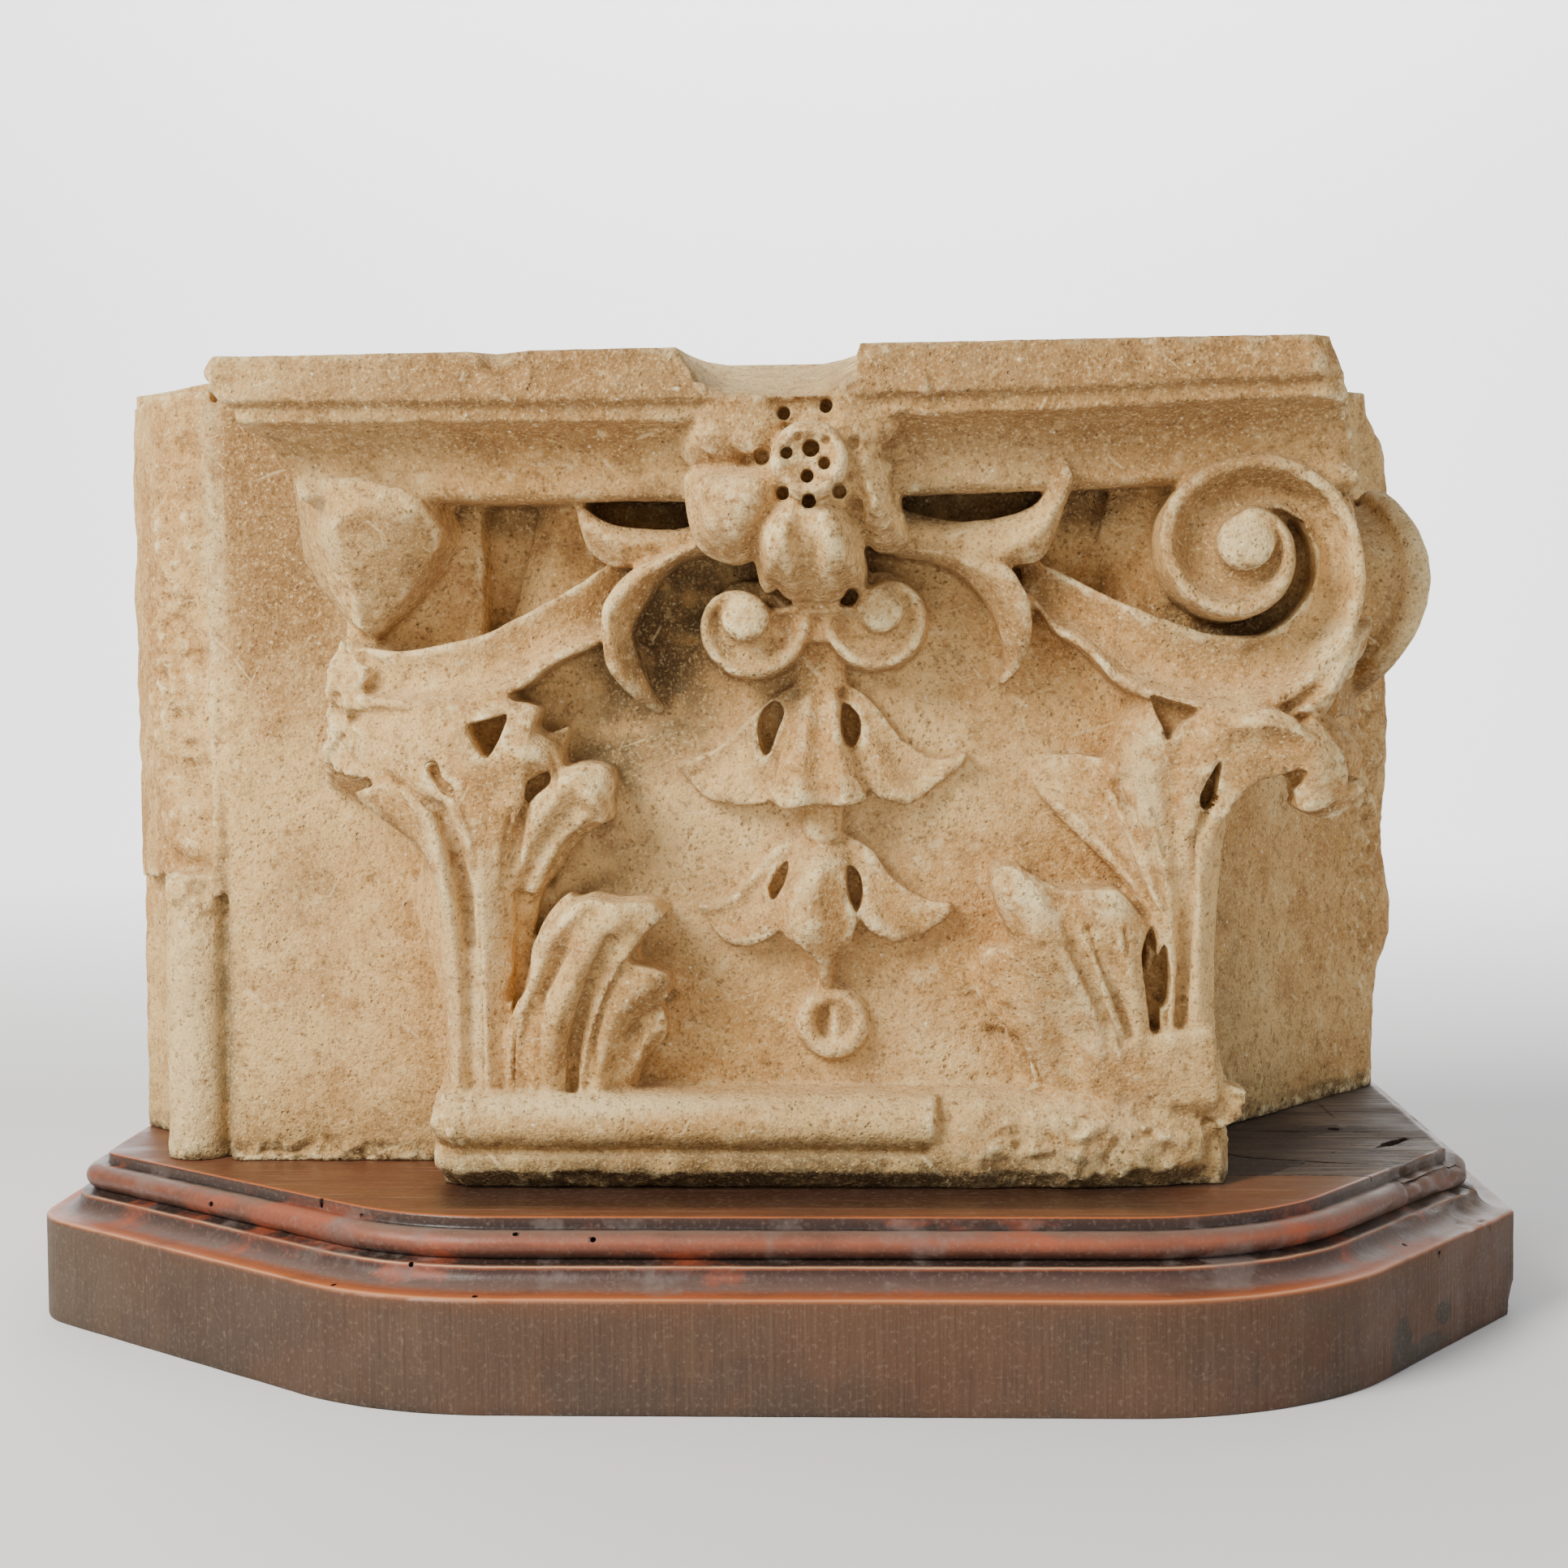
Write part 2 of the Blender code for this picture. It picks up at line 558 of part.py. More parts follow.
def lower_left_leaf(stone):
    body = [(-68, 30, 32, 21, 6), (-66, 60, 37, 19, 7), (-60, 85, 44, 18, 8), (-54, 96, 50, 14, 6)]
    stone.band(body, root=16)
    stone.sheet([
        [(-92, 31, 38), (-90, 51, 43), (-85, 64, 49), (-80, 75, 54), (-78, 86, 58), (-72, 94, 61),
            (-65, 101, 63)],
        [(-88, 31, 43), (-87, 50, 48), (-82, 64, 54), (-77, 76, 59), (-72, 87, 63), (-66, 95, 66),
            (-58, 103, 69)],
        [(-84, 31, 41), (-83, 50, 47), (-78, 64, 52), (-72, 76, 57), (-67, 86, 61), (-61, 94, 65),
            (-54, 102, 68)],
        [(-80, 31, 45), (-78, 50, 51), (-73, 65, 57), (-67, 77, 61), (-61, 87, 65), (-55, 94, 67),
            (-48, 101, 68)],
        [(-74, 31, 47), (-71, 51, 54), (-66, 67, 60), (-60, 79, 64), (-54, 88, 66), (-48, 94, 67),
            (-41, 101, 66)],
        [(-68, 31, 42), (-65, 50, 47), (-60, 66, 54), (-54, 77, 59), (-48, 86, 62), (-43, 92, 64),
            (-36, 100, 64)],
        [(-64, 31, 45), (-60, 51, 51), (-54, 66, 57), (-48, 77, 61), (-43, 84, 63), (-39, 90, 64),
            (-33, 96, 62)],
    ], root=16, along=36)
    stone.sheet([
        [(-64, 31, 42), (-60, 51, 48), (-55, 64, 54), (-50, 73, 57), (-45, 80, 59)],
        [(-59, 31, 45), (-55, 47, 50), (-49, 60, 54), (-42, 70, 57), (-35, 77, 58)],
        [(-54, 31, 41), (-51, 45, 45), (-46, 57, 49), (-39, 66, 53), (-31, 74, 55)],
        [(-50, 31, 39), (-47, 44, 43), (-43, 54, 46), (-38, 61, 49), (-32, 67, 50)],
    ], root=16)
    stone.sheet([
        [(-52, 31, 38), (-49, 40, 41), (-45, 49, 44), (-39, 58, 47), (-34, 63, 48)],
        [(-48, 31, 39), (-46, 39, 42), (-43, 46, 45), (-38, 53, 47), (-33, 57, 47)],
        [(-46, 31, 33), (-44, 37, 36), (-42, 42, 38), (-38, 47, 40), (-34, 51, 41)],
    ], root=16)
    stone.dome([(-86, 31), (-70, 26), (-55, 31), (-60, 42), (-80, 44)], 40, 50, 18)


def right_leaf(stone):
    """The acanthus under the whole volute: its stalk bends over to the right into a curled tip."""
    stone.band([(146, 30, 30, 14, 4), (146, 80, 34, 12, 5), (146, 118, 40, 14, 6),
        (150, 145, 48, 14, 6)], root=0)
    stone.sheet([
        [(139, 31, 45), (138, 55, 46), (137, 80, 48), (134, 100, 51), (131, 120, 54), (129, 134, 57),
            (128, 146, 58)],
        [(142, 31, 47), (142, 55, 48), (142, 80, 50), (140, 100, 53), (137, 120, 56), (135, 134, 59),
            (134, 148, 60)],
        [(145, 31, 43), (145, 55, 44), (145, 80, 46), (144, 100, 49), (142, 120, 53), (141, 134, 57),
            (141, 148, 60)],
        [(148, 31, 46), (148, 55, 47), (148, 80, 49), (148, 100, 52), (146, 118, 56), (145, 132, 60),
            (145, 146, 64)],
        [(151, 31, 47), (151, 55, 48), (151, 80, 50), (151, 100, 53), (150, 118, 57), (151, 132, 61),
            (154, 145, 65)],
        [(156, 31, 44), (155, 55, 44), (155, 80, 45), (155, 100, 48), (156, 116, 52), (159, 128, 55),
            (163, 138, 58)],
    ], root=16, along=40)
    stone.sheet([
        [(140, 148, 58), (142, 157, 60), (146, 163, 63), (153, 166, 66), (162, 164.5, 70),
            (171, 166, 72), (180, 163, 70)],
        [(144, 140, 60), (147, 148, 64), (151, 155, 67), (157, 160, 70), (165, 161, 73), (175, 161, 75),
            (184, 158, 72)],
        [(150, 134, 60), (153, 142, 63), (157, 149, 66), (162, 154, 68), (169, 156, 70), (178, 155, 71),
            (188, 152, 70)],
        [(152, 124, 58), (156, 134, 61), (160, 142, 64), (165, 147, 66), (171, 149, 67), (180, 149, 69),
            (190, 146, 69)],
        [(154, 114, 54), (157, 125, 58), (161, 133, 62), (167, 139, 64), (173, 142, 65), (182, 143, 67),
            (192, 140, 67)],
    ], thick=22)
    stone.sheet([
        [(187, 163, 64), (192, 158, 65), (197, 151, 65), (199, 144, 64), (198, 136, 62)],
        [(183, 158, 70), (188, 153, 71), (191, 147, 70), (192, 141, 68), (192, 133, 65)],
        [(182, 150, 70), (185, 146, 70), (186, 141, 69), (186, 136, 67), (186, 131, 64)],
        [(180, 146, 62), (181, 142, 62), (181, 139, 62), (182, 135, 61), (182, 132, 60)],
    ], thick=18)
    stone.dome([(181, 134), (186, 130), (193, 128.5), (199, 130), (206, 138), (204, 142), (196, 138),
        (188, 137)], 56, 62, 44)
    stone.sheet([
        [(196, 164, 40), (203, 158, 38), (208, 150, 36), (209, 140, 34), (206, 132, 32)],
        [(192, 162, 48), (199, 156, 48), (202, 148, 46), (203, 141, 42), (200, 134, 40)],
        [(188, 160, 50), (193, 154, 50), (196, 148, 48), (197, 142, 46), (195, 136, 44)],
    ], thick=18)
    stone.sheet([
        [(98, 151, 32), (94, 145, 36), (97, 136, 37), (105, 127, 39), (115, 117, 42), (126, 105, 44),
            (132, 90, 42)],
        [(103, 150, 38), (101, 140, 40), (106, 132, 42), (113, 125, 44), (121, 115, 46), (130, 103, 48),
            (136, 88, 46)],
        [(110, 150, 40), (109, 142, 41), (114, 136, 42), (120, 128, 44), (126, 118, 46), (132, 104, 48),
            (137, 88, 47)],
        [(117, 149, 44), (118, 142, 46), (121, 135, 48), (125, 126, 50), (129, 116, 52), (134, 102, 52),
            (138, 88, 49)],
        [(124, 148, 45), (124, 141, 47), (126, 133, 48), (129, 124, 50), (132, 114, 51), (135, 101, 51),
            (139, 88, 48)],
        [(129, 148, 52), (129, 140, 53), (130, 130, 55), (132, 119, 55), (134, 110, 54), (137, 98, 53),
            (140, 86, 50)],
    ], root=14, along=32)
    stone.sheet([
        [(118, 143, 42), (121, 152, 46), (124, 160, 48), (130, 168, 46), (134, 174, 44)],
        [(127, 143, 52), (128, 152, 56), (130, 160, 58), (135, 168, 58), (140, 174, 54)],
        [(136, 143, 58), (137, 150, 61), (139, 157, 63), (144, 164, 62), (150, 170, 58)],
        [(146, 141, 58), (147, 150, 61), (149, 157, 63), (153, 164, 62), (160, 168, 58)],
    ], root=16)


def lower_right_leaf(stone):
    stone.band([(114, 30, 30, 24, 6), (108, 60, 36, 24, 8), (102, 80, 42, 20, 8),
        (100, 90, 44, 16, 5)], root=14)
    stone.sheet([
        [(96, 31, 38), (92, 46, 43), (87, 54, 42), (80, 60, 38), (75, 66, 35), (74, 74, 34)],
        [(103, 31, 41), (98, 48, 46), (94, 58, 49), (88, 67, 48), (82, 76, 46), (79, 82, 44)],
        [(108, 31, 40), (105, 50, 44), (101, 62, 48), (96, 73, 52), (90, 82, 54), (86, 86, 52)],
        [(113, 31, 44), (111, 50, 48), (107, 63, 52), (101, 76, 57), (94, 90, 60), (84, 104, 58),
            (79, 109, 52)],
        [(118, 31, 46), (117, 50, 50), (113, 64, 54), (107, 78, 58), (101, 92, 61), (94, 104, 60),
            (88, 112, 55)],
        [(121, 31, 43), (120, 50, 48), (116, 66, 52), (111, 80, 55), (106, 90, 57), (102, 99, 57),
            (98, 105, 54)],
        [(124, 31, 46), (123, 50, 51), (119, 66, 55), (115, 80, 58), (112, 90, 59), (113, 98, 58),
            (116, 104, 56)],
        [(128, 31, 44), (127, 50, 48), (124, 66, 52), (121, 80, 55), (119, 90, 58), (121, 99, 58),
            (124, 103, 55)],
        [(131, 31, 46), (131, 48, 50), (129, 62, 53), (127, 76, 56), (125, 87, 58), (127, 94, 56),
            (131, 94, 52)],
        [(135, 31, 44), (135, 46, 47), (134, 58, 49), (132, 70, 51), (131, 80, 53), (132, 87, 52),
            (135, 92, 48)],
    ], root=14, along=36)
    stone.dome([(118, 30), (140, 26), (158, 32), (158, 45), (146, 50), (132, 48),
        (122, 42)], 44, 49, 16)


def fronds(stone):
    """Leafy sprays from behind the flower: one up under the abacus and one curling down a side."""
    stone.sheet([
        [(45, 236, 44), (60, 232, 50), (71, 230, 53), (83, 231, 55), (93, 234, 57), (99, 240, 61),
            (104, 247, 66)],
        [(45, 229, 50), (60, 227, 55), (71, 226, 58), (83, 226, 60), (93, 228, 62), (100, 233, 64),
            (107, 242, 66)],
        [(45, 224, 50), (60, 222, 54), (71, 220, 58), (83, 219, 60), (92, 221, 62), (99, 226, 62),
            (105, 236, 62)],
        [(45, 222, 46), (60, 220, 48), (71, 217, 52), (83, 215, 55), (91, 215, 57), (97, 217, 57),
            (101, 224, 56)],
    ], root=28)
    stone.sheet([
        [(48, 224, 48), (64, 222, 56), (76, 218, 60), (86, 214, 61), (91, 207, 61), (93.5, 200, 58),
            (93.5, 190, 53), (92, 181, 46)],
        [(48, 221, 52), (62, 219, 57), (74, 214, 60), (83, 208, 61), (88, 202, 60), (90, 195, 57),
            (90, 188, 53), (88, 180, 47)],
        [(48, 218, 46), (60, 216.5, 50), (69, 212, 52), (76, 205, 53), (80, 199, 52), (83, 192, 50),
            (84, 186, 47), (83, 178, 42)],
    ], root=26)
    stone.sheet([
        [(0, 232, 46), (-16, 230, 50), (-30, 228, 54), (-42, 229, 56), (-52, 231, 58), (-62, 238, 60)],
        [(0, 227, 50), (-16, 226, 55), (-30, 224, 58), (-42, 224, 60), (-52, 226, 61), (-60, 232, 60)],
        [(0, 222, 46), (-16, 220, 50), (-30, 218, 53), (-40, 216, 55), (-50, 216, 55), (-58, 222, 54)],
    ], root=26)
    stone.sheet([
        [(-4, 226, 48), (-20, 222, 56), (-39, 215, 60), (-50, 206, 61), (-53, 199, 60), (-53, 190, 59),
            (-52, 181, 57), (-48, 174, 54), (-42, 169, 50), (-36, 164.5, 44)],
        [(-4, 222, 52), (-20, 218, 58), (-36, 210, 60), (-45, 203, 61), (-49, 196, 60), (-49, 188, 58),
            (-47, 181, 56), (-44, 175, 54), (-39, 170, 51), (-34, 166, 46)],
        [(-4, 214, 46), (-21, 212, 51), (-31, 203, 53), (-36, 195, 53), (-38, 190, 53), (-39, 184, 52),
            (-38, 179, 51), (-37, 175, 50), (-35, 170, 48), (-32, 167, 45)],
    ], root=24)


FLOWER = (19.5, 248.0)


def flower(stone):
    """The flower on the abacus: a drilled boss in a ring of notched petals."""
    stone.dome([(-23, 250), (-24, 261), (-22, 270), (-15, 273.5), (-6, 272), (0, 262), (-3, 249),
        (-12, 246.5)], 77, 90, 40, lean=(0.35, 0.1), power=3)
    stone.dome([(-8, 260), (-6, 268), (0, 272), (6, 269), (10, 263), (8, 256), (2, 251),
        (-5, 252)], 89, 92.5, 50, power=4)
    stone.dome([(-23, 239), (-22, 246), (-12, 248), (2, 247), (10, 242), (8, 230), (-2, 217),
        (-12, 217), (-20, 223)], 76, 93, 40, lean=(0.35, 0.25), power=2.6)
    stone.dome([(2, 231), (9, 238), (18, 238), (18.5, 226), (18, 206), (11, 204), (7, 208), (5, 206.5),
        (2, 208), (0, 220)], 68, 93, 34, lean=(0.25, 0.55), power=2.6)
    stone.dome([(18, 238), (28, 238), (35, 228), (37.5, 214), (36, 207.5), (31, 207.5), (29, 204),
        (19, 204), (17.5, 220)], 68, 92.5, 34, lean=(-0.25, 0.55), power=2.6)
    stone.dome([(31, 250), (41, 252), (47, 246), (50, 233), (53, 222), (43, 219.5), (37, 224),
        (33, 234)], 64, 90, 34, lean=(-0.8, 0.35), power=2.0)
    stone.dome([(28, 256), (27, 268), (31, 277), (40, 277.5), (50, 273), (49, 259), (42, 253),
        (33, 252)], 86, 90, 40, lean=(-0.35, -0.05), power=5)
    stone.turned((*FLOWER, 60), [(24, 40), (23, 74), (17, 84), (12, 86)])
    stone.turned((*FLOWER, 90), [(13, 78), (12.9, 94), (12.4, 96.8), (11.2, 98.4), (9.8, 98.8),
        (8.8, 98), (7, 96), (3, 95.2)])
    stone.hull([(33, 252, 88), (42, 255, 84), (47, 247, 80), (44, 240, 84), (34, 243, 88),
        (38, 248, 92), (40, 246, 60), (32, 250, 60)])


def husks(stone):
    """Two bellflowers hung one under the other, and the ring at their foot."""
    stone.sheet([
        [(15, 176, 36), (12, 167, 42), (8, 155, 46), (5, 143, 49), (3, 135, 49)],
        [(17, 176, 40), (15, 167, 46), (12, 155, 50), (10, 143, 52.5), (9, 132, 52)],
        [(19, 176, 41), (17.5, 167, 47), (16, 155, 51.5), (15, 143, 54), (14.5, 133, 54)],
        [(21.5, 176, 40), (21, 167, 44), (21, 155, 48), (21.5, 143, 50), (22, 133, 50)],
        [(24, 176, 41), (25.5, 167, 46), (27, 155, 50.5), (29, 143, 52.5), (30, 133, 52)],
        [(26, 176, 39), (28.5, 167, 43), (30.5, 155, 46), (34, 143, 49), (37, 135, 48)],
    ], root=24, along=30)
    stone.sheet([
        [(14, 176, 36), (3, 169, 40), (-6, 161, 40), (-14, 153.5, 38.5), (-23, 149, 38),
            (-30, 147.5, 39)],
        [(14, 172, 37), (5, 165, 40), (-3, 157, 39.5), (-11, 149, 37), (-19, 145, 36),
            (-26, 142.5, 36)],
        [(14, 168, 39), (8, 160, 43), (1, 151, 43), (-6, 143, 41), (-13, 138, 39), (-18, 135, 37)],
        [(14, 162, 37), (10, 153, 41), (5, 144, 42), (0, 138, 41), (-6, 134, 40), (-10, 133, 38)],
        [(13, 156, 38), (11, 147, 43), (8, 140, 44), (5, 136, 44), (1, 133.5, 43), (-3, 133, 41)],
    ], root=24)
    stone.sheet([
        [(28, 176, 36), (37, 171, 40), (43, 164, 40), (49, 156, 38.5), (57, 150, 38), (64, 148.5, 39),
            (73, 151.5, 42)],
        [(28, 172, 37), (36, 165, 40), (42, 157, 39), (49, 150, 37), (56, 146, 37), (63, 144.5, 38),
            (71, 148, 40)],
        [(28, 168, 39), (35, 159, 42), (41, 151, 42), (47, 145, 40), (53, 142, 38), (60, 141, 38),
            (68, 144, 38)],
        [(28, 162, 38), (33, 153, 41), (39, 145, 43), (45, 139, 43), (50, 136, 42), (53, 134, 40),
            (55, 135, 38)],
        [(29, 156, 38), (33, 147, 41), (37, 140, 43), (41, 136, 43), (45, 134.5, 42), (49, 133.5, 41),
            (52, 133.5, 38)],
    ], root=24)
    stone.band([(21, 190, 36, 7, 4), (21.5, 182, 38, 8, 5), (21.5, 174, 38, 9, 5)], root=24)
    stone.sheet([
        [(15, 121, 34), (11, 111, 42), (8, 101, 44), (7, 93, 44), (8, 86, 42)],
        [(18, 121, 38), (15, 111, 47), (12, 101, 49), (11, 92, 50), (12, 85, 48)],
        [(22, 121, 39), (21, 111, 49), (18, 101, 51), (17, 91, 51), (18, 80, 46)],
        [(25, 121, 38), (26, 111, 46), (25, 101, 47), (24, 90, 48), (22, 77, 43)],
        [(28, 121, 36), (31, 111, 43), (33, 101, 44), (33, 92, 45), (29, 81, 42)],
    ], root=24, along=26)
    stone.sheet([
        [(15, 123, 34), (4, 117, 38), (-4, 107.5, 39), (-10, 101, 38.5), (-17, 98, 39),
            (-24, 98.5, 41)],
        [(15, 118, 36), (6, 111, 38), (-1, 102, 38), (-7, 96, 37), (-14, 93, 36), (-20, 93.5, 37)],
        [(14, 112, 38), (8, 104, 42), (2, 96, 42), (-4, 90, 40), (-9, 86, 39), (-14, 85, 36)],
        [(13, 106, 38), (10, 98, 42), (7, 91, 43), (4, 87, 42), (0, 84.5, 41), (-5, 82.5, 37)],
    ], root=24)
    stone.sheet([
        [(28, 123, 35), (38, 117, 39), (45, 108, 39), (52, 102, 38), (59, 98.5, 38), (66.5, 97.5, 40)],
        [(28, 118, 37), (37, 109, 40), (44, 101, 39), (51, 95, 38), (57, 92, 37), (64, 92.5, 38)],
        [(29, 112, 38), (35, 103, 42), (41, 95, 42), (47, 89, 40), (52, 87, 38), (57, 88, 37)],
        [(30, 106, 38), (33, 97, 42), (36, 91, 43), (41, 87, 42), (46, 85, 40), (51, 85.5, 37)],
    ], root=24)
    stone.band([(21.5, 134, 40, 7.5, 6), (21.5, 128, 40, 7, 5), (21.5, 122, 38, 7, 5)], root=24)
    stone.band([(20, 84, 40, 4, 4), (22, 77, 38, 3, 4), (22, 73, 35, 2.4, 4),
        (22.5, 69, 33, 2.4, 3)], root=24)
    ring = []
    for turn in np.linspace(0, 2 * math.pi, 44, endpoint=False):
        ring.append([
            (23.5 + reach * math.cos(turn), 57 + 1.12 * reach * math.sin(turn), out)
            for reach, out in ((11.8, 22), (11.6, 31), (10.6, 34.6), (8.8, 36), (6.6, 35.2), (5.2, 33),
                (4.6, 24))
        ])
    stone.rings(ring, closed=True)
    stone.dome([(22, 65), (27, 63), (28, 56), (26, 49), (22, 50), (22.5, 58)], 31, 33.5, 22)


def drill_holes():
    """Holes drilled in the flower, and the deep eyes pierced between the leaves' lobes."""
    holes = Carving()
    for across, up, out, radius, depth in (
        (20, 252, 101, 3.1, 16), (12.3, 250.3, 101, 2.2, 12), (24.3, 247, 101, 2.2, 12),
            (18.8, 243, 101, 2.4, 14),
        (16, 255.3, 101, 1.8, 5), (25, 254, 101, 1.8, 5),
        (11, 264, 96, 2.3, 16), (25, 266, 96, 2.3, 16), (3.5, 250, 96, 2.4, 16),
            (34, 253.5, 96, 2.3, 8),
        (10.5, 238, 96, 2.4, 16), (19.2, 235, 96, 2.4, 16), (29, 238.5, 96, 2.4, 16),
    ):
        holes.turned((across, up, out), [(radius, out - depth), (radius, out + 12)], sides=TOOL_SIDES)
    for outline, out, depth in (
        ([(-100, 161.5), (-93, 164), (-85.5, 165.5), (-88, 157), (-93, 150), (-97, 155)], 66, 32),
        ([(-112, 151), (-109, 148), (-104, 138), (-102, 138), (-104, 143), (-109, 151)], 64, 14),
        ([(-87, 89), (-82, 87), (-79, 81), (-80, 72), (-85, 64), (-90, 62), (-91, 66),
            (-88, 76)], 62, 24),
        ([(133, 170), (141, 168), (148.5, 165), (144, 161), (139, 155.5), (137, 160)], 68, 26),
        ([(156.5, 148.5), (152, 142), (149.5, 135), (151.5, 131), (154.5, 134), (156, 140)], 74, 26),
        ([(183, 145), (175, 142.5), (171.5, 136.5), (174, 133), (179, 136), (184, 141.5)], 76, 24),
        ([(139, 85), (135, 76), (133, 69), (135, 63.5), (139, 61.5), (141, 68), (141, 78)], 60, 26),
        ([(5, 170), (0, 165), (-1, 158), (1, 151), (3, 151), (6, 158), (9, 166)], 54, 24),
        ([(29, 169), (28, 162), (29, 155), (32, 152.5), (35, 157), (34.5, 164)], 54, 24),
        ([(9, 114), (5, 110), (2, 103), (4, 99), (8, 104), (10, 111)], 52, 20),
        ([(30, 112), (29.5, 103), (33, 95), (35.5, 101), (34.5, 109)], 52, 20),
    ):
        loop = smooth_loop(outline, TOOL_SIDES + 2)
        middle = loop.mean(axis=0)
        rings = []
        for level, size in ((out - depth, 0.85), (out + 14, 1.1)):
            rings.append([(*(middle + (spot - middle) * size), level) for spot in loop])
        holes.rings(rings)
    return holes


def fractures():
    """Pieces knocked off the abacus: over the flower, at the left notch and at the right end."""
    lost = Carving()
    lost.hull([(-30, 301, 110), (-25, 285, 104), (-18, 273, 98), (-4, 268, 98), (22, 267, 98),
        (34, 274, 100), (42, 301, 110), (-24, 301, 40), (36, 301, 40), (-10, 287, 46), (22, 286, 46)])
    lost.hull([(180, 301, 110), (186, 289, 100), (193, 282, 96), (199, 270, 90), (208, 256, 70),
        (216, 301, 100), (192, 301, 50), (212, 262, 40)])
    lost.hull([(-99, 301, 98), (-94, 282, 96), (-85, 277, 96), (-73, 280, 96), (-66, 301, 98),
        (-94, 301, 70), (-70, 301, 68), (-84, 286, 80)])
    lost.hull([(-190, 301, 110), (-192, 262, 100), (-182, 270, 86), (-176, 285, 88), (-172, 301, 92),
        (-190, 301, 70), (-190, 274, 74)])
    return lost


def level_tool(low):
    box = Carving()
    corners = [(-290, 130), (-290, -220), (290, -220), (290, 130)]
    if low:
        box.prism(corners, -60.0, 0.0)
    else:
        box.rings([[(across, top_of(across, out) + lift, out) for across,
            out in corners] for lift in (0.0, 60.0)])
    return box


def applied(item):
    """The item's mesh with its modifiers worked in."""
    bpy.context.view_layer.update()
    done = bpy.data.meshes.new_from_object(item.evaluated_get(bpy.context.evaluated_depsgraph_get()))
    item.modifiers.clear()
    item.data = done
    return done


def cut(item, tool, name):
    """Takes a tool's forms out of the item."""
    target = put(name, tool.mesh(name))
    change = item.modifiers.new(name, "BOOLEAN")
    change.operation = "DIFFERENCE"
    change.solver = "EXACT"
    change.object = target
    applied(item)
    bpy.data.objects.remove(target, do_unlink=True)


def drop_crumbs(mesh):
    """Keeps the largest body and takes away crumbs that a cut leaves loose."""
    work = bmesh.new()
    work.from_mesh(mesh)
    waiting = set(work.verts)
    bodies = []
    while waiting:
        body = {waiting.pop()}
        front = list(body)
        while front:
            vert = front.pop()
            for edge in vert.link_edges:
                other = edge.other_vert(vert)
                if other in waiting:
                    waiting.remove(other)
                    body.add(other)
                    front.append(other)
        bodies.append(body)
    bodies.sort(key=len)
    loose = [vert for body in bodies[:-1] for vert in body]
    bmesh.ops.delete(work, geom=loose, context="VERTS")
    work.to_mesh(mesh)
    work.free()


def build_stone():
    stone = Carving()
    for form in (
        wall_block, angle_roll, bell, abacus, astragal, right_volute, side_volute, left_volute,
        inner_scrolls, left_leaf, lower_left_leaf, right_leaf, lower_right_leaf, fronds, flower, husks,
    ):
        form(stone)
    item = put("capital_stone", stone.mesh("carving"))
    grow = item.modifiers.new("grow together", "REMESH")
    grow.mode = "VOXEL"
    grow.voxel_size = VOXEL_PARTS * OUT
    grown = applied(item)
    grown.calc_loop_triangles()
    thin = item.modifiers.new("fewer faces", "DECIMATE")
    thin.ratio = STONE_TRIANGLES / len(grown.loop_triangles)
    thin.use_collapse_triangulate = True
    applied(item)
    cut(item, drill_holes(), "holes")
    cut(item, fractures(), "fractures")
    cut(item, level_tool(True), "bed level")
    cut(item, level_tool(False), "top level")
    drop_crumbs(item.data)
    item.data.name = "capital_stone"
    item.data.materials.clear()
    item.data.materials.append(material("limestone", (0.53, 0.37, 0.20), 0.85))
    return item


# Wooden base

def base_outline(inset):
    """One level of the base's plan: straight sides joined by round corners, moved in from the fascia."""
    half, front, back = BASE_WIDTH / 2, -BASE_DEPTH / 2, BASE_DEPTH / 2
    plan = [
        (-half, back), (-half, front + LEFT_CANT_DEEP), (-half + LEFT_CANT_ACROSS, front),
        (half - RIGHT_CANT_ACROSS, front), (half, front + RIGHT_CANT_DEEP), (half, back),
    ]
    corners = ((BASE_LEFT_RADIUS, 5), (BASE_FRONT_RADIUS, 10), (BASE_FRONT_RADIUS, 12),
        (BASE_RIGHT_RADIUS, 3))
    outline = [(-half + inset, back)]
    for place, (whole_radius, steps) in enumerate(corners, 1):
        (back_x, back_y), (x, y), (next_x, next_y) = plan[place - 1:place + 2]
        way = math.atan2(y - back_y, x - back_x)
        turn = math.atan2(next_y - y, next_x - x) - way
        radius = max(whole_radius - inset, LEAST_RADIUS)
        middle_way = way + turn / 2 + math.pi / 2
        reach = (inset + radius) / math.cos(turn / 2)
        middle = (x + reach * math.cos(middle_way), y + reach * math.sin(middle_way))
        for step in range(steps + 1):
            angle = way + turn * step / steps - math.pi / 2
            outline.append((middle[0] + radius * math.cos(angle), middle[1] + radius * math.sin(angle)))
    return outline + [(half - inset, back)]


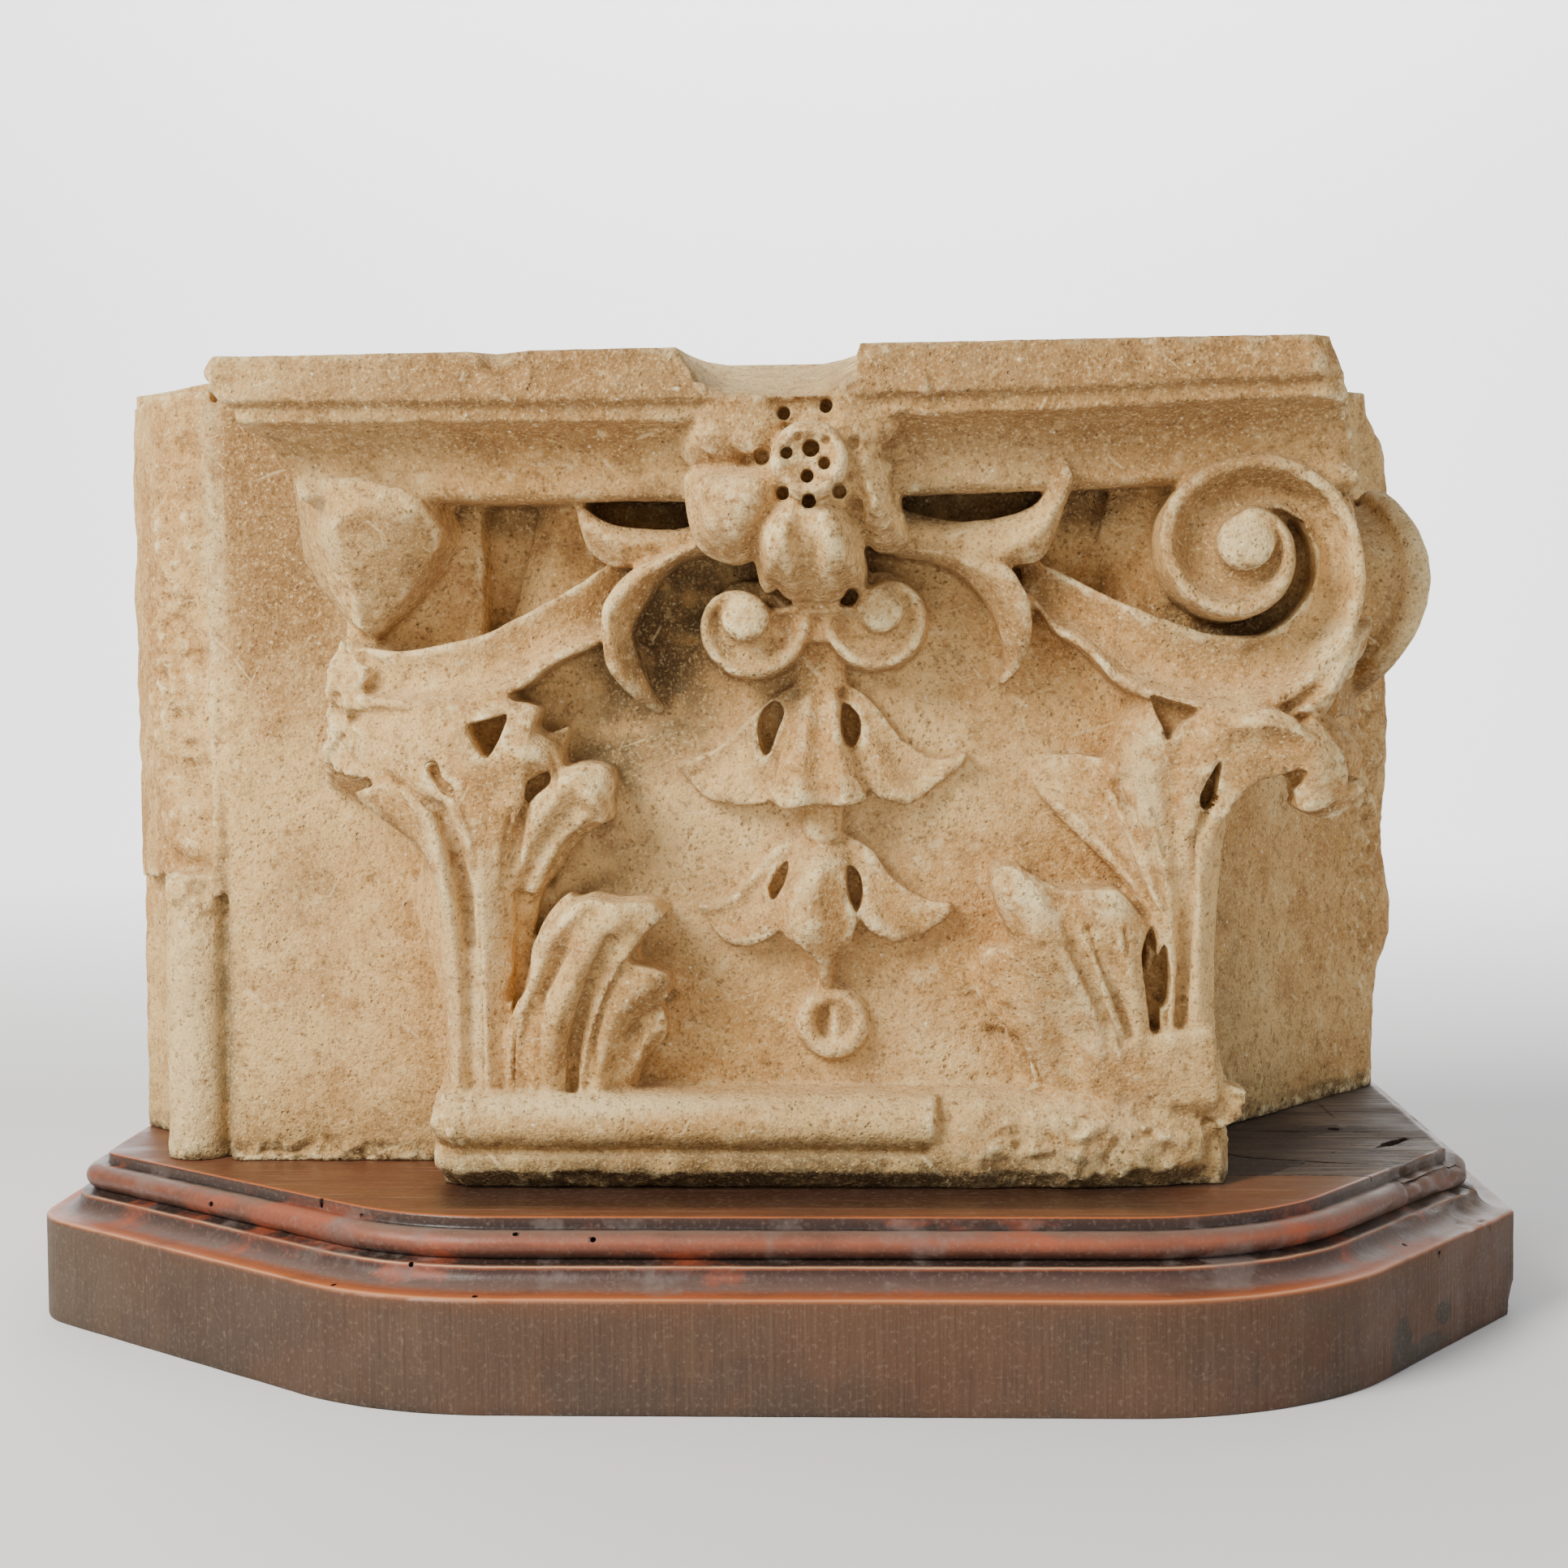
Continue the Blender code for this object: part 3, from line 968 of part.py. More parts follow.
def base_profile():
    """(inset, height) from the fascia's foot up: fascia, hollow, fillet, round and top riser.

    The mouldings are drawn as shares of their own setback and height.
    """
    rows = [(ARRIS_WORN, 0.0), (0.0, ARRIS_WORN), (0.0, FASCIA_HEIGHT - ARRIS_WORN),
        (ARRIS_WORN, FASCIA_HEIGHT)]
    shares = []
    for turn in np.linspace(0, math.pi / 2, 5):
        shares.append((0.12 + 0.43 * math.sin(turn), 0.34 * (1 - math.cos(turn))))
    shares.append((0.572, 0.42))
    for turn in np.linspace(-math.pi / 2, math.pi / 2, 7):
        shares.append((0.869 - 0.233 * math.cos(turn), 0.65 + 0.2 * math.sin(turn)))
    shares += [(0.975, 0.88), (0.975, 0.973), (1.0, 1.0)]
    return rows + [
        (inset * MOULDING_SETBACK, FASCIA_HEIGHT + height * MOULDING_HEIGHT) for inset, height in shares
    ]


def build_base():
    rings = [[(*spot, height) for spot in base_outline(inset)] for inset, height in base_profile()]
    size = len(rings[0])
    points = [point for ring in rings for point in ring]
    faces = []
    for row in range(len(rings) - 1):
        for side in range(size):
            other = (side + 1) % size
            faces.append((row * size + side, row * size + other, (row + 1) * size + other,
                (row + 1) * size + side))
    faces.append(tuple(range(size))[::-1])
    faces.append(tuple(range(len(points) - size, len(points))))
    mesh = bpy.data.meshes.new("wooden_base")
    mesh.from_pydata(points, [], faces)
    look = material("stained wood", (0.10, 0.045, 0.025), 0.5)
    item = put("wooden_base", mesh)
    mesh.materials.append(look)
    mesh.shade_smooth()
    mesh.set_sharp_from_angle(angle=math.radians(35))
    return item


def main():
    clear_scene()
    build_base()
    build_stone()


main()
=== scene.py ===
"""Looks of the carved limestone pilaster capital on its moulded wooden base.

The stone's carving is drawn in parts, as (across, up, out): across from the stone's middle, up
from its bed and out from the wall face. The stone is 506 parts wide and 290 parts high.
"""

import math

import bmesh
import bpy
import numpy as np
from mathutils import Matrix, Vector
from mathutils.kdtree import KDTree


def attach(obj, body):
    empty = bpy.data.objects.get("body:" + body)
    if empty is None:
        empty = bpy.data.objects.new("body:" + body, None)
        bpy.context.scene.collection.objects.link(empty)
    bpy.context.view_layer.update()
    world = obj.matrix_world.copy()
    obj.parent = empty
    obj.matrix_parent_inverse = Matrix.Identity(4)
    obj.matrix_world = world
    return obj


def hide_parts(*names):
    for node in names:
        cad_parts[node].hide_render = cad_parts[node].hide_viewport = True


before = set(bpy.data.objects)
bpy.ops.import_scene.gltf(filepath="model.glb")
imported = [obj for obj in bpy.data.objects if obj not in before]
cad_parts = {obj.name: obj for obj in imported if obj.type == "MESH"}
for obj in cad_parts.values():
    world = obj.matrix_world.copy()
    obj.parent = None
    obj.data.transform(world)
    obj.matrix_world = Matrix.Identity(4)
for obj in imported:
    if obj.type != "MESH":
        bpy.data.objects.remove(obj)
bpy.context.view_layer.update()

BASE_WIDTH = 0.550
BASE_DEPTH = 0.330
FASCIA_HEIGHT = 0.038
MOULDING_HEIGHT = 0.022
MOULDING_SETBACK = 0.0236
LEFT_CANT_ACROSS = 0.151
LEFT_CANT_DEEP = 0.122
RIGHT_CANT_ACROSS = 0.097
RIGHT_CANT_DEEP = 0.136
BASE_FRONT_RADIUS = 0.110
BASE_LEFT_RADIUS = 0.036
BASE_RIGHT_RADIUS = 0.003
LEAST_RADIUS = 0.001
STONE_WIDTH = 0.506
STONE_HEIGHT = 0.290
WALL_THICKNESS = 0.183
WALL_FACE_SETBACK = 0.117
REST_GAP = 0.0003
VOXEL_PARTS = 1.15
STONE_TRIANGLES = 188000
SHARP_ANGLE = math.radians(40)
HOLE_SHADE_REACH = 0.002

ACROSS = STONE_WIDTH / 506.0
UP = STONE_HEIGHT / 290.0
OUT = (ACROSS + UP) / 2
BASE_HEIGHT = FASCIA_HEIGHT + MOULDING_HEIGHT
BED_HEIGHT = BASE_HEIGHT + REST_GAP
WALL_FACE_Y = WALL_FACE_SETBACK - BASE_DEPTH / 2

# A band's rounded section, from one edge to the other: share of its half width, share of its rise
ROUND = [(-1, 0), (-0.85, 0.5), (-0.6, 0.8), (-0.3, 0.95), (0, 1), (0.3, 0.95), (0.6, 0.8), (0.85, 0.5), (1, 0)]
BAND_STEPS = 8
SHEET_STEPS = 4
STEM_STEPS = 40
WIND_STEPS = 16
DOME_SIDES = 28

# The square millimetres that the carving's relief is read over
RELIEF_SIZE = (540, 320)
RELIEF_CORNER = (-270, -10)
RELIEF_LOWEST = -60.0

# The camera that was fitted to the photo; lengths in pixels, then in metres
PHOTO_SIZE = 1932
FOCAL_LENGTH = 3100
VANISHING_SHIFT = (134, 146)
CAMERA_ROLL = math.radians(0.45)
CAMERA_SPOT = (0.046, -0.963, 0.2417)
SENSOR_WIDTH = 36.0

FLOOR_SIDE = 6.0
FLOOR_BEND_Y = 2.6
FLOOR_BEND_RADIUS = 0.9
BACKDROP_TOP = 4.0
FLOOR_COLOUR = (0.88, 0.88, 0.88, 1)
WORLD_COLOUR = (0.98, 0.98, 1.0, 1)
WORLD_STRENGTH = 0.52


def stone_point(across, up, out):
    return (across * ACROSS, WALL_FACE_Y - out * OUT, BED_HEIGHT + up * UP)


def in_metres(x, y, z):
    return (x, y, z)


def in_millimetres(x, y, z):
    return (x * 0.001, y * 0.001, z * 0.001)


def smooth_rows(rows, count):
    """Rows of numbers read along one smooth curve, at even steps of the rows' own count."""
    rows = np.asarray(rows, float)
    last = len(rows) - 1
    steps = np.linspace(0, last, count)
    index = np.minimum(steps.astype(int), last - 1)
    part = (steps - index).reshape((-1,) + (1,) * (rows.ndim - 1))
    before, start = rows[np.maximum(index - 1, 0)], rows[index]
    end, after = rows[index + 1], rows[np.minimum(index + 2, last)]
    curve = 2 * start + (end - before) * part
    curve += (2 * before - 5 * start + 4 * end - after) * part**2
    curve += (3 * (start - end) + after - before) * part**3
    return curve / 2


def smooth_loop(points, count):
    """A closed outline read along one smooth curve."""
    points = np.asarray(points, float)
    padded = np.concatenate([points[-2:], points, points[:3]])
    span = len(points)
    rows = smooth_rows(padded, (span + 4) * 8 + 1)
    loop = rows[16:16 + span * 8]
    pick = np.linspace(0, len(loop), count, endpoint=False).astype(int)
    return loop[pick]


class Carving:
    """Closed forms that grow into one solid."""

    def __init__(self):
        self.points = []
        self.faces = []

    def add(self, points, faces):
        start = len(self.points)
        self.points += [tuple(point) for point in points]
        self.faces += [tuple(start + index for index in face) for face in faces]

    def rings(self, rings, closed=False):
        """A skin over rings of equal length, with flat ends unless it closes on itself."""
        size = len(rings[0])
        points = [point for ring in rings for point in ring]
        faces = []
        for row in range(len(rings) - (0 if closed else 1)):
            here, there = row * size, (row + 1) % len(rings) * size
            for side in range(size):
                other = (side + 1) % size
                faces.append((here + side, here + other, there + other, there + side))
        if not closed:
            faces.append(tuple(range(size))[::-1])
            faces.append(tuple(range(len(points) - size, len(points))))
        self.add(points, faces)

    def prism(self, outline, low, high, axis="up"):
        """An outline of (across, out) raised from low to high, or of (across, up) brought out."""
        if axis == "up":
            rings = [[(across, level, out) for across, out in outline] for level in (low, high)]
        else:
            rings = [[(across, up, level) for across, up in outline] for level in (low, high)]
        self.rings(rings)

    def band(self, path, root):
        """A carved band. Each row of the path is (across, up, out, half width, rise)."""
        rows = smooth_rows(path, BAND_STEPS * len(path))
        centre, half, rise = rows[:, :3], np.maximum(rows[:, 3], 0.3), rows[:, 4]
        along = np.gradient(centre, axis=0)
        along /= np.linalg.norm(along, axis=1)[:, None]
        side = np.cross(along, (0.0, 0.0, 1.0))
        side /= np.maximum(np.linalg.norm(side, axis=1), 1e-6)[:, None]
        front = np.cross(side, along)
        rings = []
        for step in range(len(rows)):
            ring = [
                centre[step] + side[step] * half[step] * across + front[step] * rise[step] * height
                for across, height in ROUND
            ]
            for across in (1, -1):
                foot = centre[step] + side[step] * half[step] * across
                foot[2] = root
                ring.append(foot)
            rings.append(ring)
        self.rings(rings)

    def sheet(self, rails, root=None, thick=None, along=28):
        """A carved surface through rails of (across, up, out), closed behind it."""
        lines = np.array([smooth_rows(rail, along) for rail in rails])
        front = smooth_rows(lines, (len(rails) - 1) * SHEET_STEPS + 1)
        back = front.copy()
        if root is None:
            back[..., 2] -= thick
        else:
            back[..., 2] = root
        rows = [list(front[row]) + list(back[row][::-1]) for row in range(len(front))]
        side, other = (list(back[row]) + list(back[row][::-1]) for row in (0, -1))
        self.rings([side, *rows, other])

    def cove(self, lower, upper, depth, rim, root):
        """A hollowed stem between two edges: a narrow flat rim on the lower one, the upper one bare."""
        low, high = smooth_rows(lower, STEM_STEPS), smooth_rows(upper, STEM_STEPS)
        width = np.linalg.norm(high - low, axis=1)
        share = np.minimum(rim / width, 0.3)
        rings = []
        for step in range(STEM_STEPS):
            edge = share[step]
            ring = []
            for place, drop in (
                (0.0, 0.12), (edge * 0.25, 0.0), (edge, 0.0), (edge * 1.25, 0.1), (0.25, 0.6), (0.37, 0.88),
                (0.5, 1.0), (0.63, 0.9), (0.75, 0.78), (0.84, 0.66), (0.92, 0.55), (0.97, 0.48), (1.0, 0.55),
            ):
                spot = low[step] * (1 - place) + high[step] * place
                spot[2] -= drop * depth * min(1.0, width[step] / 14.0)
                ring.append(spot)
            for spot in (high[step].copy(), low[step].copy()):
                spot[2] = root
                ring.append(spot)
            rings.append(ring)
        self.rings(rings)

    def wind(self, eye, rows, start_turn, hand, root):
        """A band that winds in to an eye. Rows, a quarter turn apart: (rim, gap, out, depth, flare)."""
        fine = smooth_rows(rows, (len(rows) - 1) * WIND_STEPS + 1)
        rings = []
        for step, (rim, gap, out, depth, flare) in enumerate(fine):
            turn = math.radians(start_turn + hand * 90.0 * step / WIND_STEPS)
            width = rim - gap
            flat = min(4.0, 0.3 * width)
            inner = width - flat
            section = [
                (rim + flare, root), (rim + 0.25 * flare, out - 6), (rim, out - 0.9), (rim - 0.6, out),
                (rim - flat, out),
            ]
            for share, drop in (
                (0.06, 0.22), (0.2, 0.6), (0.38, 0.9), (0.55, 1.0), (0.75, 0.92), (0.9, 0.7), (1.0, 0.55),
            ):
                section.append((rim - flat - share * inner, out - drop * depth))
            section.append((gap, root))
            rings.append([
                (eye[0] + reach * math.cos(turn), eye[1] + reach * math.sin(turn), level)
                for reach, level in section
            ])
        self.rings(rings)

    def dome(self, outline, edge, top, root, lean=(0.0, 0.0), power=2.0):
        """A pillow over a smooth outline, its skin falling from the top to the edge."""
        loop = smooth_loop(outline, DOME_SIDES)
        middle = loop.mean(axis=0)
        rings = [[(*spot, root) for spot in loop]]
        for size in (1.0, 0.93, 0.8, 0.6, 0.35, 0.1):
            ring = []
            for spot in loop:
                place = middle + (spot - middle) * size
                level = edge + (top - edge) * (1 - size**power)
                level += lean[0] * (place[0] - middle[0]) + lean[1] * (place[1] - middle[1])
                ring.append((*place, level))
            rings.append(ring)
        self.rings(rings)

    def turned(self, centre, profile, sides=40):
        """A form turned about an axis that points out; its profile is (radius, out) pairs."""
        turns = [2 * math.pi * step / sides for step in range(sides)]
        self.rings([
            [(centre[0] + radius * math.cos(turn), centre[1] + radius * math.sin(turn), out) for turn in turns]
            for radius, out in profile
        ])

    def hull(self, points):
        """A broken block: the smallest form with flat faces round some points."""
        work = bmesh.new()
        for point in points:
            work.verts.new(point)
        bmesh.ops.convex_hull(work, input=work.verts)
        loose = [vert for vert in work.verts if not vert.link_faces]
        bmesh.ops.delete(work, geom=loose, context="VERTS")
        work.verts.index_update()
        spots = [tuple(vert.co) for vert in work.verts]
        self.add(spots, [tuple(vert.index for vert in face.verts) for face in work.faces])
        work.free()

    def mesh(self, name, placed=stone_point):
        """The forms as one mesh, each closed and facing out; every point goes through placed."""
        mesh = bpy.data.meshes.new(name)
        mesh.from_pydata([placed(*point) for point in self.points], [], self.faces)
        work = bmesh.new()
        work.from_mesh(mesh)
        bmesh.ops.recalc_face_normals(work, faces=work.faces)
        work.to_mesh(mesh)
        work.free()
        return mesh


def put(name, mesh):
    item = bpy.data.objects.new(name, mesh)
    bpy.context.scene.collection.objects.link(item)
    return item


# The block behind the carving

WALL_LEFT = -198.0
WALL_RIGHT = 120.0
CANT_SLOPE = 1.27
BLOCK_SIDE = 251.0
BACK = -WALL_THICKNESS / OUT


def canted(across):
    if across > WALL_RIGHT:
        return -(across - WALL_RIGHT) * CANT_SLOPE
    return min(0.0, -(WALL_LEFT - across) * CANT_SLOPE)


TOP_LINE = ((-180, -30, 40, 170), (284.6, 282.7, 282.6, 287.4))


def top_of(across, out):
    """The height of the stone's top bed, which rises a little to the back."""
    return np.interp(across, *TOP_LINE) + 8.0 * (91.0 - out) / 274.0


RIGHT_EDGE = [
    (-3, 251), (26, 251), (34, 251.5), (48, 253.5), (60, 259), (66, 261), (78, 261), (93, 257.5), (110, 255.5),
    (125, 257.5), (142, 259.5), (171, 258.5), (257, 258.5), (268, 257.5), (276, 254), (284, 247), (296, 246),
]


def wall_block(stone):
    """The wall behind the capital: the panel, its canted ends and its broken right edge."""
    left = -BLOCK_SIDE - 1.0
    rings = []
    for up, right in RIGHT_EDGE:
        plan = [
            (WALL_LEFT, 0), (-60, 0), (60, 0), (WALL_RIGHT, 0), (186, canted(186)),
            (right - 3, canted(right - 3)), (right, canted(right) - 3), (right, BACK), (0, BACK),
            (left, BACK), (left, -120), (left, canted(left) - 4), (-238, canted(-238) - 6), (-206, -13),
            (WALL_LEFT - 3, -11), (WALL_LEFT - 2, -2),
        ]
        rings.append([(across, min(up, top_of(across, out) + 4), out) for across, out in plan])
    stone.rings(rings)


def angle_roll(stone):
    """The roll on the left angle: whole below, broken back to a rough strip above."""
    whole = [
        (-214 + 11.5 * math.cos(turn), -12 + 11.5 * math.sin(turn))
        for turn in np.linspace(0, 2 * math.pi, 28, endpoint=False)
    ]
    stone.prism(whole, -3.0, 106)
    stone.prism([(-201.5, -6), (-202, -1.5), (-205, -2), (-207, -9), (-205, -20)], 98, 279)
    rings = []
    for up, sink, slant in (
        (100, 9, 4), (110, 9, 5), (116, 5, 2), (129, 5, -3), (136, 9, 3), (148, 8, 6), (158, 4, 2),
        (174, 5, -4),
        (186, 9, 4), (202, 5, -2), (226, 4, 3), (244, 5, 0), (262, 6, 2), (272, 3, 0), (284, 4, 0),
    ):
        rings.append([
            (-204, up - slant, -4 - sink * 0.4), (-209, up - slant * 0.6, -5 - sink), (-218, up, -7 - sink),
            (-228, up + slant, -16 - sink * 0.5), (-230, up + slant, -22), (-250, up, -62), (-240, up, -80),
            (-203, up, -50),
        ])
    stone.rings(rings)
    stone.hull([
        (-203, 272, -4), (-208, 284, -6), (-240, 283, -40), (-246, 270, -54), (-203, 284, -30),
        (-222, 262, -50),
    ])


def bell(stone):
    """The pilaster body that the leaves stand on; its ground leans out towards the flower."""
    stone.prism([(-108, 20), (-108, -20), (156, -60), (164, -44), (152, 20)], 20.0, 242.0)
    rings = []
    for up, lean in (
        (28, 0.0), (60, 0.6), (90, 1.5), (120, 2.5), (150, 4.0), (180, 5.0), (200, 4.0), (240, 4.0),
    ):
        ground = 29.0 + lean
        narrow = 0.16 * max(0.0, up - 130)
        left, right = -104.0 + 1.6 * narrow, 148.0 - 1.6 * narrow
        rings.append([
            (left - 3, up, 10), (right + 3, up, 10), (right + 2, up, ground - 9), (right - 8, up, ground - 1),
            (22, up, ground), (left + 8, up, ground - 1), (left - 2, up, ground - 9),
        ])
    stone.rings(rings)


# up, then across: the abacus' broken left end; across, then how much it rises
ABACUS_END = (
    (238, 248, 256, 262, 267, 269.5, 273.5, 279, 285, 292),
    (-155, -157, -163, -170, -171, -175.5, -180, -180, -178, -176),
)
ABACUS_RISE = ((-180, -20, 55, 110, 160, 190), (1.0, 0.0, 1.3, 2.6, 5.0, 5.5))


def abacus(stone):
    """The moulded slab on top: a fascia over a hollow, returned to the wall at its left end."""
    hollow = [
        (67 + 19 * (1 - math.cos(turn)), 240.3 + 21 * math.sin(turn))
        for turn in np.linspace(0.0, math.pi / 2, 12)
    ]
    profile = [
        (57, 237.4), (65, 237.6), (67, 239.6), *hollow, (87.6, 261.6), (88, 262.4), (88.2, 267.2), (91, 267.9),
        (92, 269.0), (91.8, 272.5), (90.6, 278), (90.4, 292),
    ]
    rings = []
    for out, up in profile:
        left = np.interp(up, *ABACUS_END)
        right = 190.0 + 16.0 * (285 - up) / 48.0
        front = [left + 2, *ABACUS_RISE[0][1:-1], right - 9]
        plan = [(left, 0.0), (left, out - 2), *[(across, out) for across in front]]
        plan += [(right - 2, out - 6), (right, out - 22), (right + 6, -40.0), (left + 20, -40.0)]
        rings.append([(across, up + np.interp(across, *ABACUS_RISE), level) for across, level in plan])
    stone.rings(rings)


def astragal(stone):
    """The roll and splay along the foot, whole at the left and broken back at the right."""
    roll = [
        (46 + 11.5 * math.cos(turn), 22.8 + 9.8 * math.sin(turn))
        for turn in np.linspace(math.pi / 2, -math.pi / 2, 13)
    ]
    profile = [(20, 33.4), *roll, (50, 12.4), (54.5, 11.6), (54.5, 6.6), (46, -0.5), (44, -3), (20, -3)]
    rings = []
    for across, inset in ((-113, 12), (-110, 5), (-104, 0), (20, 0), (62, 0), (64, 3)):
        rings.append([(across - 3 * (out > 48), level, out - inset) for out, level in profile])
    stone.rings(rings)
    broken = [(20, 33.5), (40, 33), (47, 29), (51, 22), (53, 13), (52, 6), (46, -1), (44, -3), (20, -3)]
    rings = []
    for across, inset in ((58, 0), (75, -2), (90, 1), (104, -1), (118, 0), (140, 2), (152, 8), (160, 22)):
        lift = max(0.0, across - 125) * 0.1
        rings.append([(across, level + (lift if level < 20 else 0), out - inset) for out, level in broken])
    stone.rings(rings)
    stone.prism([(-113, 40), (-113, -5), (140, -30), (163, -55), (165, 20), (160, 40)], -3.0, 33.0)
    stone.hull([
        (150, 30, 44), (156, 37, 44), (168, 33, 46), (166, 24, 44), (160, 19, 42), (150, 20, 20), (166, 30, 0),
        (150, 34, 0),
    ])


VOLUTE_EYE = (163.0, 221.0)


def right_volute(stone):
    """The whole corner volute: its hollowed stem rises from the flower and winds to an eye."""
    stone.cove(
        [
            (95, 202, 46), (102, 192, 50), (112, 185, 55), (124, 173, 60), (141, 166, 64), (157, 163.5, 67),
            (170, 163.5, 68),
        ],
        [
            (88, 220, 48), (98, 216, 50), (111, 209, 54), (129, 200, 58), (144, 194, 61), (155, 190.5, 63),
            (170, 190.5, 64),
        ],
        11, 3.2, 12,
    )
    stone.wind(
        VOLUTE_EYE,
        [
            (57.5, 32, 68, 12, 1), (39.5, 24.5, 70, 12, 1), (29, 10, 71, 10, 1), (27.5, 9.5, 72, 9, 1),
            (24, 9, 76, 8, 4), (14.5, 8.5, 79, 5, 6.5), (9.6, 8, 80, 2, 7),
        ], -90, 1, 12,
    )
    stone.turned(
        VOLUTE_EYE, [(21, 14), (19, 50), (14, 62), (9.4, 66), (9.2, 76), (8.6, 78.5), (6, 79.6), (3, 80)],
    )
    stone.turned(VOLUTE_EYE, [(46, 0), (45, 34), (36, 38), (22, 40), (4, 46)])
    stone.hull([
        (184, 165, 67), (192, 171, 69), (197, 179, 69), (200, 188, 68), (207, 194, 62), (209, 197, 52),
        (204, 178, 45),
        (190, 164, 50), (180, 180, 30), (205, 190, 20), (195, 165, 20), (182, 190, 50), (176, 163, 62),
        (190, 161, 60),
        (178, 160, 30),
    ])
    stone.hull([
        (190, 238, 64), (193, 245, 68), (202, 245, 66), (203, 238, 62), (190, 232, 50), (204, 240, 30),
        (185, 244, 30),
    ])
    stone.prism([(178, 188), (183, 190), (183, 195), (178, 195)], 20.0, 51.0, axis="out")


def side_volute(stone):
    """The volute of the return face, seen on its edge behind the corner."""
    rings = []
    for across, reach in (
        (190, 33), (200, 36), (204, 37.5), (207, 37), (210, 33), (217, 31.5), (223, 32.5), (226, 37),
        (230, 39), (233.5, 38.5), (235, 36), (235.5, 24),
    ):
        ring = []
        for turn in np.linspace(0, 2 * math.pi, 56, endpoint=False):
            up = 205 + reach * math.sin(turn)
            bend = 0.0105 * (up - 212) ** 2
            ring.append((across - bend, up, -4 + reach * math.cos(turn) - (across - 206) * 0.35))
        rings.append(ring)
    stone.rings(rings)
    stone.prism([(160, 30), (160, -50), (222, -120), (224, -100), (212, 2), (202, 26)], 162.0, 244.0)


def left_volute(stone):
    """The corner volute that is lost: a broken wedge under the abacus and the torn stem below."""
    stone.hull([
        (-169, 255, 16), (-166, 237, 16), (-165, 221, 16), (-159, 211, 18), (-152, 202, 20), (-142, 195, 26),
        (-144, 246, 70), (-131, 245.5, 72), (-119, 242, 73), (-112.4, 238.5, 71), (-141, 244, 73),
        (-127, 238.7, 75),
        (-115.6, 234.4, 73.5), (-143, 230, 70), (-138, 214, 61), (-138, 195, 47), (-108, 229, 66),
        (-109, 223, 60),
        (-123, 205, 52), (-135, 192, 42), (-106, 236, 40), (-112, 245, 20), (-104, 225, 28), (-118, 205, 28),
        (-134, 192, 10), (-169, 255, -5), (-150, 200, -5),
    ])
    stone.prism([(-150, 5), (-148, 27), (-118, 31), (-98, 33), (-94, 5)], 178.0, 243.0)
    stone.cove(
        [
            (-147, 166, 40), (-139, 168, 50), (-123, 167, 55), (-113, 166, 57), (-104, 167, 58), (-90, 171, 58),
            (-80, 175, 57), (-69, 183, 55), (-53, 190, 50), (-42, 200, 46),
        ],
        [
            (-147, 191, 42), (-136, 188.5, 50), (-122, 187.5, 54), (-107, 189.5, 56), (-94, 193, 56),
            (-82, 199, 55), (-69, 206, 53), (-53, 216, 50), (-42, 222, 48),
        ],
        8, 3.0, 6,
    )
    stone.hull([
        (-149, 189, 30), (-146, 192, 44), (-150, 184, 44), (-149, 177, 46), (-144, 170, 48), (-144, 162, 46),
        (-152, 158, 36), (-157, 150, 28), (-150, 150, 20), (-130, 165, 20), (-130, 190, 20), (-136, 180, 50),
    ])
    stone.hull([
        (-162, 138, 2), (-158, 150, 22), (-150, 160, 34), (-130, 160, 40), (-128, 140, 30), (-140, 130, 6),
        (-120, 135, 4),
    ])


def inner_scrolls(stone):
    """The pair of small scrolls that meet under the flower."""
    for eye, hand, reach in (((-4.0, 198.0), -1, 22.5), ((42.0, 200.5), 1, 20.5)):
        stone.wind(
            eye,
            [
                (reach, 9.5, 52, 3.5, 2), (20.5, 9, 54, 3.5, 2), (15.0, 6.5, 55, 3, 2), (8.8, 4.5, 57, 1.5, 1),
                (6.8, 4.5, 58, 1, 1), (6.2, 4.5, 59, 1, 1),
            ], 0 if hand < 0 else 180, hand, 26,
        )
        stone.turned(eye, [(9, 26), (8.3, 52), (8, 57.5), (7, 59.6), (4.5, 60.6), (1.5, 60.6)], sides=24)
        stone.turned(eye, [(14, 24), (13, 40), (9, 41), (3, 41)], sides=24)
    stone.prism([(5, 189), (35, 189), (34, 199.5), (21, 201.5), (6, 199.5)], 26.0, 49.5, axis="out")
    stone.band(
        [
            (4, 199.5, 50, 1.4, 2), (14, 200.5, 51, 1.4, 2), (20, 200, 52, 1.6, 2), (27, 200.5, 51, 1.4, 2),
            (36, 200.5, 50, 1.4, 2),
        ],
        root=30,
    )
    stone.prism([(2, 200), (2, 208), (37, 209), (36, 200)], 26.0, 43.0, axis="out")


